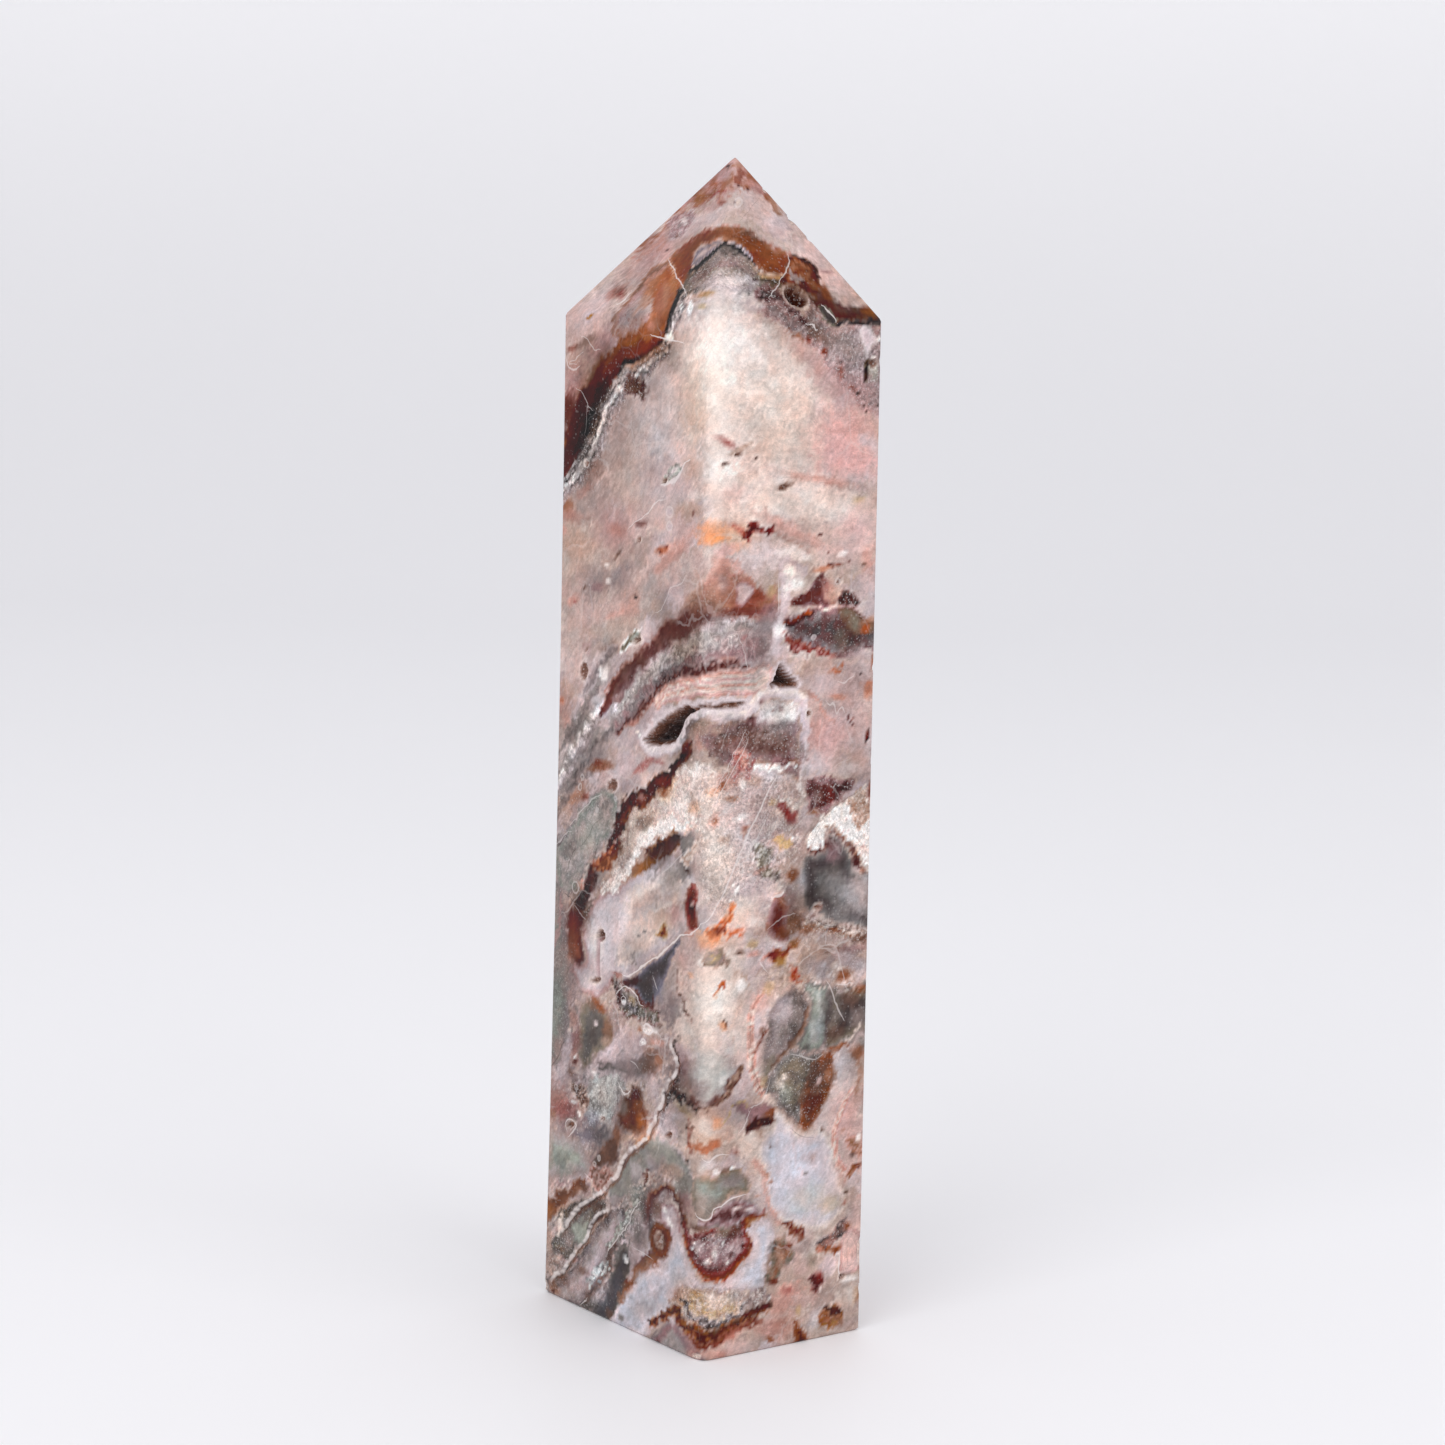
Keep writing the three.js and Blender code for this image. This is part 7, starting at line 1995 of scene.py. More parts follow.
        (-2.6, 43.8, 1.8, 1, MAROON, 0.7), (-2.8, 45.6, 1.2, 0.7, ROSE),
        (-2.6, 45.6, 0.6, 0.4, WHITE, 0.9), (-5.6, 41.6, 3, 0.8, KHAKI, 0.5, -20),
        (-10, 38.6, 4, 3.2, LILAC, 0.85), (-7, 40.4, 2, 0.8, PALE_LILAC, 0.7),
    ),
    # Grey-green flow right of the crack
    Band(((-26, 22.4, 1.6), (-22.6, 26, 2.2), (-18.6, 29.6, 2.6), (-14, 32.6, 2.6), (-9.6, 33, 2.6),
        (-5.6, 31.4, 2.2), (-3.2, 29, 1.4)), ((-1, GREIGE), (-0.3, DOVE), (0.5, PEWTER), (1, LILAC)),
        soft=0.9, wander=0.9, mottle=(SAGE, 0.4, 2)),
    *ovals(Wash,
        (-9, 30.6, 3.4, 1.6, SAND, 0.6), (-8, 33, 4.6, 1, SAGE, 0.6, -10),
        (-19, 28.6, 2, 1.6, PALE_LILAC, 0.6, 30),
    ),
    Band(((-16.6, 26.6, 0.3), (-16.2, 27.8, 0.5), (-15.7, 29.4, 0.4)), ((0, WINE),), wander=0.9),
    *ovals(Wash,
        (-22.4, 28.8, 1.6, 0.6, WINE, 0.6, 45), (-19, 23.4, 3, 3, MINT, 0.6, 20),
        (-18.6, 21.8, 2.4, 0.6, FROST, 0.6, 20), (-16.4, 22.6, 1.8, 2.6, SLATE),
        (-14.4, 24.4, 0.8, 2, WINE, 0.75, -20), (-12.8, 23.2, 1.6, 2, COCOA, 0.7),
    ),
    # Purple-brown arch
    Band(((-15.4, 21.6, 0.7), (-14.6, 24.4, 0.9), (-12.8, 26.4, 0.8), (-10.6, 27.4, 0.7),
        (-8.4, 27.4, 0.8), (-6.6, 26, 0.9), (-5.4, 23.8, 0.9), (-4.6, 21.4, 0.8)), ((-1, GREIGE),
        (-0.2, MAROON), (0.4, FAWN), (1, SAND)), soft=0.6, mottle=(PLUM, 0.35, 1)),
    *ovals(Wash,
        (-5, 26.4, 2, 2, DUSK, 0.7), (-7.6, 28.6, 0.9, 0.4, WHITE, 0.5),
    ),
    Patch(((-11.4, 24.6), (-9.6, 24.4), (-8, 24.4), (-6.6, 23.4), (-6, 20.4), (-7, 18.4), (-9.4, 20.2),
        (-11.8, 21.6)), ((0, DUSK), (0.8, LILAC)), soft=0.6, wander=0.6),
    *ovals(Wash,
        (-10.6, 23.6, 0.9, 0.5, WHITE, 0.8, -35), (-9, 21.6, 1.4, 0.6, WHITE, 0.8, -35),
    ),
    # Concentric eye
    Patch(((-15, 18.2), (-14.2, 20.2), (-12.2, 21), (-9.8, 20.6), (-8.4, 19), (-8.8, 16.8), (-10.6, 15),
        (-12.8, 14.4), (-14.6, 15.8)), ((0, COCOA), (0.8, RUST), (2.2, UMBER)), soft=0.6, wander=0.5),
    *ovals(Wash,
        (-12.2, 17.8, 1.8, 1.9, COCOA, 0.9), (-12.2, 17.8, 1.0, 1.1, TAUPE),
    ),
    Bubble(-12.1, 17.8, 0.5, PITCH),
    *ovals(Wash,
        (-15.2, 22.6, 1.4, 3.4, PLUM, 0.7, -12), (-14.6, 20, 1, 2, SMOKE, 0.5, -10),
        (-17.4, 17, 2, 2.4, GREIGE), (-16.2, 17.4, 1.4, 1.8, TAUPE, 0.6),
    ),
    Band(((-18, 11.8, 0.8), (-16.4, 13.2, 0.9), (-14.6, 14.2, 0.8), (-13.2, 14.4, 0.5)), ((-1, RUST),
        (0, FAWN), (1, PLUM)), soft=0.6, wander=0.8),
    *ovals(Wash,
        (-13.6, 13.4, 0.9, 0.7, RUST, 0.85), (-20, 12.4, 2.6, 1.6, GREIGE, 0.7, 35),
    ),
    # Red smile over the front edge
    Patch(((-4.6, 22.4), (-3.6, 20.6), (-2, 21.4), (-0.4, 22), (2, 22.2), (4, 22), (6, 22.4), (8, 23.6),
        (9, 22), (9.4, 19.6), (8.6, 17.4), (6.6, 15.6), (4.4, 14.6), (1.4, 14.6), (-1, 15.6), (-3, 17.2),
        (-4.4, 19.6)), ((0, RED), (1.2, PLUM), (2.6, DUSK)), soft=0.6, wander=0.6, mottle=(LILAC, 0.25,
        1), grain=Grain.FAINT_SUGAR),
    *ovals(Wash,
        (6, 22, 3, 1.2, COCOA, 0.7, 10), (-1, 19.6, 1.8, 1, PALE_LILAC, 0.6, -25),
        (-1.4, 18.8, 1, 0.5, WHITE, 0.6, -30),
    ),
    Streaks(((-4, 21), (1, 21.6), (4, 21.4), (6.4, 19.6), (5.4, 16.4), (1.6, 15.8), (-2, 17)),
        (Cloud(LILAC, 60, 3, 1.6, 451, 0.0, 0.6), Cloud(PINK, 65, 2.4, 0.8, 457, 0.3, 0.9),
        Cloud(WHITE, 60, 1.8, 0.7, 461, 0.45, 1.0)), soft=1.0, grain=Grain.CRYSTALS),
    *ovals(Wash,
        (2.8, 18.4, 1.2, 1.4, LILAC, 0.5), (2.4, 18.2, 0.6, 0.9, WHITE, 0.8, 20),
        (0.8, 16.9, 0.8, 0.5, WHITE, 0.7), (5.8, 18.6, 1.4, 0.6, PALE_LILAC, 0.6, -30),
    ),
    Band(((-5.2, 22.6, 0.4), (-4.7, 20.6, 0.5), (-3.6, 18.2, 0.55), (-2.2, 16.4, 0.6), (-0.4, 15.2, 0.6),
        (2, 14.2, 0.7), (4.4, 13.9, 0.75), (6.4, 15.2, 0.7), (8.2, 16.4, 0.7), (9.6, 17.6, 0.7)),
        ((-1, EMBER), (-0.3, RUST), (0.2, BRICK), (1, RED)), soft=0.4, wander=0.6),
    Band(((9.8, 17.6, 0.5), (9.6, 19.4, 0.6), (9, 21.4, 0.7), (8.8, 23, 0.9), (10.6, 23.6, 0.8),
        (12.6, 23.6, 0.5)), ((-1, AMBER), (0.3, BRICK), (1, RED)), soft=0.5),
    Patch(((1.6, 25.6), (4, 26.4), (6.4, 26.9), (9, 26.6), (11, 25.2), (12, 24), (9.6, 23.6), (7, 22.6),
        (4, 22.2), (1, 22.4), (-1.6, 23), (-1.2, 24.4)), ((0, GREIGE), (0.8, DUSK), (1.6, PLUM)),
        soft=0.6, wander=0.8, mottle=(LILAC, 0.3, 0)),
    *ovals(Wash,
        (4, 21.8, 1.4, 1, OLIVE, 0.7), (-1.4, 22.4, 2.4, 0.8, COCOA), (7, 25.2, 1.4, 0.4, WHITE, 0.5),
        (9.4, 24.8, 1.2, 0.35, WHITE, 0.5), (7.4, 24.2, 2, 0.6, WINE, 0.6), (11.2, 26.8, 0.6, 0.3, FAWN),
    ),
    # Olive-green patch above it
    *ovals(Wash,
        (-2, 34, 3.4, 1.8, BEIGE, 0.9), (1, 33.4, 2, 1, PALE_LILAC),
    ),
    Patch(((-2.4, 30), (-0.4, 31.2), (2.4, 31.2), (4.4, 32), (6.6, 32.4), (8.4, 31), (10, 28.6),
        (9.2, 27.6), (7, 27.6), (5, 27), (2.6, 26.2), (1.8, 24.8), (0.8, 24.2), (-0.6, 24.4), (-2.2, 25),
        (-3, 27.4)), ((0, SAND), (0.7, OLIVE), (2, SAGE)), soft=0.4, wander=0.8, mottle=(PEWTER, 0.35,
        2)),
    *ovals(Wash,
        (-5.4, 28.6, 2.4, 1.6, SAGE, 0.6), (6, 30, 3, 1.4, GREIGE, 0.6),
        (-0.8, 26.6, 1.4, 2.4, BEIGE, 0.5), (-0.6, 29.6, 1.6, 1.2, SAGE, 0.7),
    ),
    Vein(((-2, 24.8, 0.06), (-0.6, 24.2, 0.14), (0.8, 24.1, 0.14), (1.9, 24.6, 0.14), (2, 25.8, 0.1),
        (3.6, 26.1, 0.12), (5.2, 26.9, 0.12), (7, 27.3, 0.1), (8.8, 27.5, 0.05)), wander=0.2),
    Vein(((-0.4, 34.2, 0.08), (0.6, 33.7, 0.1), (1.8, 34.3, 0.14), (2.6, 34.7, 0.14), (4, 34.8, 0.08),
        (5, 34.6, 0.05)), wander=0.3, strength=0.8),
    *ovals(Wash,
        (2.6, 31.9, 0.9, 0.5, WHITE, 0.7, -30), (4.4, 32, 1.2, 0.4, COCOA, 0.6, 15),
        (5.8, 32.3, 0.5, 0.25, WHITE, 0.9), (-0.6, 32.6, 1.4, 0.7, WHITE, 0.4, 20),
    ),
    # Peach glow with orange arcs above that
    *ovals(Wash,
        (1, 38.4, 5, 3, PEACH, 0.35), (0, 39.4, 4.4, 2, CREAM), (2, 42, 3, 1.4, SAND, 0.6),
    ),
    Band(((-4, 35.8, 0.5), (-1.6, 36.2, 0.6), (0.6, 35.9, 0.6), (2.6, 36.3, 0.6), (3.6, 37, 0.3)),
        ((0, EMBER),), soft=0.8, wander=0.8, strength=0.65),
    Band(((-4.4, 39.6, 0.2), (-4, 38, 0.25), (-4.2, 36.4, 0.3), (-3.2, 34.9, 0.3)), ((0, BRICK),),
        soft=0.5, wander=0.9, strength=0.6),
    *ovals(Wash,
        (-4.4, 33.2, 0.5, 0.4, BARK, 0.7), (-4.8, 39, 0.4, 0.3, BARK, 0.7),
        (-3, 39.2, 0.4, 0.3, COCOA, 0.7), (2.8, 40.4, 1, 1, PEACH, 0.6), (6.6, 35, 1.4, 0.8, ROSE),
        (6.8, 34.8, 0.6, 0.5, BRICK, 0.5),
    ),
    # Pale blue-white agate around the smile
    Patch(((-8, 20), (-6, 20.6), (-5.2, 18.6), (-4, 16.4), (-2, 14.4), (0, 13.4), (3, 12.8), (6, 13.4),
        (8.6, 15.2), (10, 16.8), (10.2, 19.2), (9.4, 21), (11.8, 22.8), (13.6, 22.4), (14.6, 20),
        (14, 16.4), (13.6, 12.6), (11.6, 10), (8, 11.4), (4, 11.6), (0, 12.4), (-4, 12), (-6.6, 10.4),
        (-8.4, 8), (-10.6, 5.6), (-14, 2.4), (-16, 0), (-28, -2), (-24.6, 4.4), (-21, 7.6), (-18, 10.4),
        (-14, 12.8), (-11.4, 14.6), (-9, 17)), ((0, LILAC), (0.9, PALE_LILAC), (2, BLUE_MILK)), soft=0.6,
        wander=0.5),
    *ovals(Wash,
        (-17, 5, 5, 2.6, DOVE, 0.6, 30), (-11.6, 6.6, 1.4, 0.6, PALE_LILAC, 0.8, 10),
        (-23.2, 1.6, 0.9, 0.7, PEWTER),
    ),
    # Fan of gold sugar at the foot of the front edge
    Patch(((-10.4, 6.4), (-8.4, 8.2), (-6.6, 10.2), (-4.6, 11.6), (-2, 12.4), (1, 12), (4, 11.4),
        (7, 11.2), (8.6, 9.6), (8.6, 7.6), (6.6, 6.2), (3.4, 5.8), (0, 6), (-3, 6.4), (-5.6, 6.8),
        (-8, 6.2)), ((0, TAUPE), (0.9, CREAM), (2.2, KHAKI)), soft=0.6, wander=0.9, mottle=(SAND, 0.4, 0),
        grain=Grain.SUGAR),
    Wash(11, 8.6, (3, 1.4), TAUPE, 0.7),
    Streaks(((-6, 10.4), (-2, 12.4), (6, 11.6), (9, 9.4), (6, 6.4), (-3, 7)),
        (Cloud(CREAM, 74, 3, 0.9, 463, 0.1, 0.8), Cloud(COCOA, 70, 2, 0.7, 467, 0.55, 0.7),
        Cloud(WHITE, 74, 2, 0.6, 479, 0.6, 0.8)), soft=1.0, grain=Grain.CRYSTALS),
    *ovals(Wash,
        (-6.4, 9.2, 1.6, 1.6, FAWN, 0.5, 40), (-1.6, 11.4, 2, 0.8, OCHRE, 0.5),
        (3, 9.6, 2.6, 1.4, CREAM, 0.7), (7, 10, 1.6, 1.4, DOVE),
    ),
    Band(((-5, 9.6, 0.4), (-3.8, 7.8, 0.7), (-2, 6.8, 0.8), (0, 6.6, 0.8), (2.4, 6.2, 0.8), (4.6, 6, 0.8),
        (6.8, 6.8, 0.7), (8.4, 8, 0.6)), ((-1, COCOA), (-0.2, SMOKE), (1, DOVE)), soft=0.5, wander=1.1,
        mottle=(PALE_LILAC, 0.3, 3), grain=Grain.CRYSTALS),
    Band(((-14, 3, 0.6), (-11, 4.8, 0.7), (-8.6, 6.6, 0.8), (-6.8, 7.6, 0.6), (-6, 6, 0.9),
        (-3.4, 4.8, 1.1), (-0.6, 4.4, 1.2), (2.6, 4.4, 1.2), (5.6, 5, 1.1), (8.6, 6, 0.9),
        (10.6, 6.6, 0.9), (14, 7.4, 0.6)), ((-1, RUST), (-0.2, UMBER), (0.6, COCOA), (1, SAND)), soft=0.5,
        wander=1.0, mottle=(AMBER, 0.35, 0), grain=Grain.SPECKS),
    Band(((-4.6, 3.4, 0.4), (-1.4, 2.6, 0.6), (2, 2.6, 0.5), (5, 3.4, 0.4), (9, 4.6, 0.5),
        (13, 5.2, 0.4)), ((0, BRICK),), soft=0.5, wander=0.9, strength=0.85),
    *ovals(Wash,
        (4.4, 0.8, 1.2, 0.6, BRICK, 0.7), (2, 1, 5, 1, SALMON, 0.6), (6.6, 3.4, 2, 0.8, SALMON, 0.6, 20),
        (7.5, 1.2, 4, 1.4, PINK),
    ),
    Patch(((-14.4, 0), (-12, 2.6), (-9.4, 4.8), (-7.6, 5.8), (-5.8, 4.2), (-3.2, 2.8), (-1, 1.6), (0, -1),
        (-14, -2)), ((0, GREIGE), (1, DUSK), (2.2, DOVE)), soft=0.6, wander=0.5),
    *ovals(Wash,
        (-8, 5.2, 0.9, 1, PALE_LILAC, 0.7), (-3.4, 2.6, 3, 0.7, ROSE, 0.8, -25),
        (-2.4, 0.8, 2, 0.9, SALMON, 0.6), (-12.2, 0.2, 0.3, 0.8, MAROON),
    ),
    # Slate-violet wedge and rust at its edge
    Patch(((-32, 0), (-29, 2.6), (-27.4, 5.2), (-26.4, 8.6), (-25.2, 11.2), (-23.4, 13.6), (-22, 14.6),
        (-20.6, 12.4), (-21.2, 9.8), (-20.8, 8.2), (-22.4, 5.2), (-24.4, 3), (-26.6, 0), (-29, -2)),
        ((0, PEWTER), (0.7, SLATE), (1.8, STORM)), soft=0.4),
    *ovals(Wash,
        (-26.6, 5, 2.4, 4.4, STORM, 0.7, -38), (-29.6, 1.6, 3, 1.6, STORM, 0.6, 20),
        (-21.4, 7.4, 1.3, 1.8, FAWN, 0.85, -25),
    ),
    Band(((-23, 4.6, 0.5), (-21.4, 7.4, 0.7), (-19, 10, 0.8), (-16, 12.6, 0.9), (-13, 14, 0.7)),
        ((-1, TAUPE), (0, FAWN), (1, COCOA)), soft=0.8, wander=0.8, strength=0.8, mottle=(RUST, 0.4, 2)),
    *ovals(Wash,
        (-21.6, 8.6, 0.6, 0.4, BRICK, 0.7, 20), (-21.9, 12.3, 0.8, 0.6, WHITE, 0.85, -40),
        (-23.6, 5, 1, 1.2, FAWN, 0.7, 30),
    ),
    Band(((-23.8, 13.6, 0.3), (-22.6, 15.6, 0.4), (-21.6, 17.4, 0.7), (-20.8, 19.2, 0.9)), ((0, LILAC),),
        soft=0.5, wander=1.2, mottle=(SLATE, 0.4, 3), grain=Grain.CRYSTALS),
    Wash(-18.6, 17.6, (1.2, 1.8), PEWTER, 0.7),
    # Orange-brown band at the left edge
    Band(((-48.6, 13.6, 1.6), (-45.4, 16, 1.7), (-42.4, 18.2, 1.4), (-39.4, 19.8, 1.1),
        (-36.8, 21.4, 1.1), (-34.6, 22.4, 0.8)), ((-1, FAWN), (-0.3, FAWN), (0.4, RUST), (1, FAWN)),
        soft=0.9, wander=0.8, mottle=(COCOA, 0.35, 2)),
    *ovals(Wash,
        (-46.6, 15, 2.4, 1.2, AMBER, 0.7, 35), (-41, 19.2, 1.6, 0.7, COCOA, 0.6, 10),
        (-35, 22, 1.6, 0.8, COCOA, 0.7), (-46, 10, 2.6, 2.6, SAND), (-44, 11.6, 2, 1.6, PINK, 0.6),
    ),
    # Silver druse below it, between crack and branch
    Patch(((-42.6, 15.4), (-39.4, 17), (-35.6, 19), (-32.4, 20.2), (-29, 21), (-28, 19.8), (-30.6, 18.2),
        (-32.8, 15.6), (-34.4, 12.6), (-37, 10.4), (-39.4, 8), (-42, 8.4), (-44.4, 8), (-45.4, 9.8),
        (-43.2, 12)), ((0, SLATE), (0.8, OLIVE), (2, PEWTER)), soft=0.5, wander=0.8, mottle=(SLATE, 0.5,
        1), grain=Grain.SUGAR),
    Patch(((-38.4, 14.6), (-36, 15.6), (-33.6, 15.8), (-33.4, 13.6), (-35.4, 11.4), (-37.6, 12),
        (-38.6, 13.2)), ((0, SAGE), (1, MINT)), soft=0.8),
    Band(((-39, 16, 0.5), (-36, 17.6, 0.8), (-33, 19, 1.0), (-30, 20, 0.8)), ((0, SMOKE),), soft=0.6,
        wander=0.9, strength=0.8, mottle=(OLIVE, 0.4, 0)),
    Band(((-33.4, 14.4, 0.3), (-31.8, 16.4, 0.5), (-29.4, 18.4, 0.6)), ((0, SMOKE),), soft=0.5,
        strength=0.8),
    Wash(-30.8, 19, (2, 1), COCOA, 0.6, 30),
    Band(((-42.8, 11.2, 0.4), (-42.2, 13, 0.6), (-41.4, 15, 0.4)), ((0, CREAM),), soft=0.4, wander=0.9),
    *ovals(Wash,
        (-42.4, 9, 2, 0.5, COCOA, 0.5, 15), (-39.4, 11.4, 2.4, 1.4, TAUPE, 0.6),
    ),
    # Grey druse right of the branch
    Patch(((-26.4, 20), (-23.4, 20.8), (-22, 18.4), (-23.2, 15.4), (-24.8, 13), (-26.8, 10.4),
        (-28.6, 7.4), (-31, 4.4), (-34, 2.4), (-37, 0), (-48, -2), (-48, 1.4), (-44, 2.4), (-40.6, 4),
        (-38, 6.4), (-35, 10), (-32.4, 13.4), (-30.6, 15.8), (-28, 18.4)), ((0, SMOKE), (0.8, GREIGE),
        (2, DOVE), (3.4, GREIGE)), soft=0.5, wander=0.8, mottle=(TAUPE, 0.35, 1),
        grain=Grain.FAINT_SUGAR),
    # Its diagonal streaks, from the branch of the crack towards the slate wedge
    Band(((-35.4, 5, 1.2), (-32, 9, 1.5), (-28.4, 13.4, 1.5), (-25.4, 17.2, 1.0)), ((-1, GREIGE),
        (0, LILAC), (1, DOVE)), soft=0.7, wander=0.8, grain=Grain.FAINT_LINES),
    Band(((-34, 2, 0.8), (-30.4, 5.6, 1.0), (-27.4, 10, 0.8), (-25.6, 13.4, 0.6)), ((0, COCOA),),
        soft=0.6, wander=0.9, strength=0.7, mottle=(SMOKE, 0.4, 0)),
    Band(((-27.4, 13.2, 0.5), (-24.6, 15.4, 0.9), (-22, 18, 1.2), (-20, 20.8, 1.1), (-18, 23.2, 0.8)),
        ((-1, PEWTER), (0, FROST), (1, MINT)), soft=0.4, wander=1.2, mottle=(SLATE, 0.4, 3),
        grain=Grain.CRYSTALS),
    Band(((-33.4, 5, 0.5), (-31.4, 6.6, 0.9), (-29.4, 8.4, 0.8), (-28.2, 10.2, 0.4)), ((0, FROST),),
        soft=0.3, wander=1.3, mottle=(SMOKE, 0.5, 3), grain=Grain.CRYSTALS),
    Vein(((-32.4, 5.4, 0.06), (-31.6, 7.2, 0.14), (-30.6, 6.6, 0.12), (-29.8, 8.4, 0.14), (-28.8, 8, 0.1),
        (-28.4, 9.6, 0.06)), wander=0.5, strength=0.8),
    Vein(((-27.6, 11.4, 0.05), (-26.2, 13.4, 0.14), (-25, 14.4, 0.12), (-23.8, 16, 0.14),
        (-21.6, 17.6, 0.1), (-20, 20.4, 0.14), (-18.6, 22.6, 0.1), (-17.4, 23.4, 0.05)), wander=0.5,
        strength=0.8),
    Vein(((-35.6, 0.6, 0.06), (-34.4, 1.8, 0.16), (-33.6, 2.2, 0.06)), strength=0.8),
    Vein(((-19.8, 14.8, 0.04), (-16.6, 14.6, 0.1), (-14, 14.2, 0.04)), strength=0.5, wander=0.1),
    *ovals(Wash,
        (-37.4, 8.4, 1.1, 0.6, ROSE, 0.9), (-36.8, 8.9, 0.4, 0.3, WINE, 0.9),
        (-35, 6.8, 1.8, 0.9, COCOA, 0.6), (-41, 3.6, 2, 1.2, COCOA, 0.6, 10),
        (-36.6, 3.4, 3, 1.4, LILAC, 0.5), (-33, 1, 3, 1, SLATE, 0.7, 20), (-29, 1, 2, 1, STORM, 0.6),
        (-44.2, 1.4, 1.8, 1.4, FAWN), (-44.4, 0.8, 0.5, 0.5, UMBER, 0.7), (-47, 5, 2, 3, BEIGE),
        (-26.6, 1.4, 1.2, 1.2, COCOA, 0.6),
    ),
)

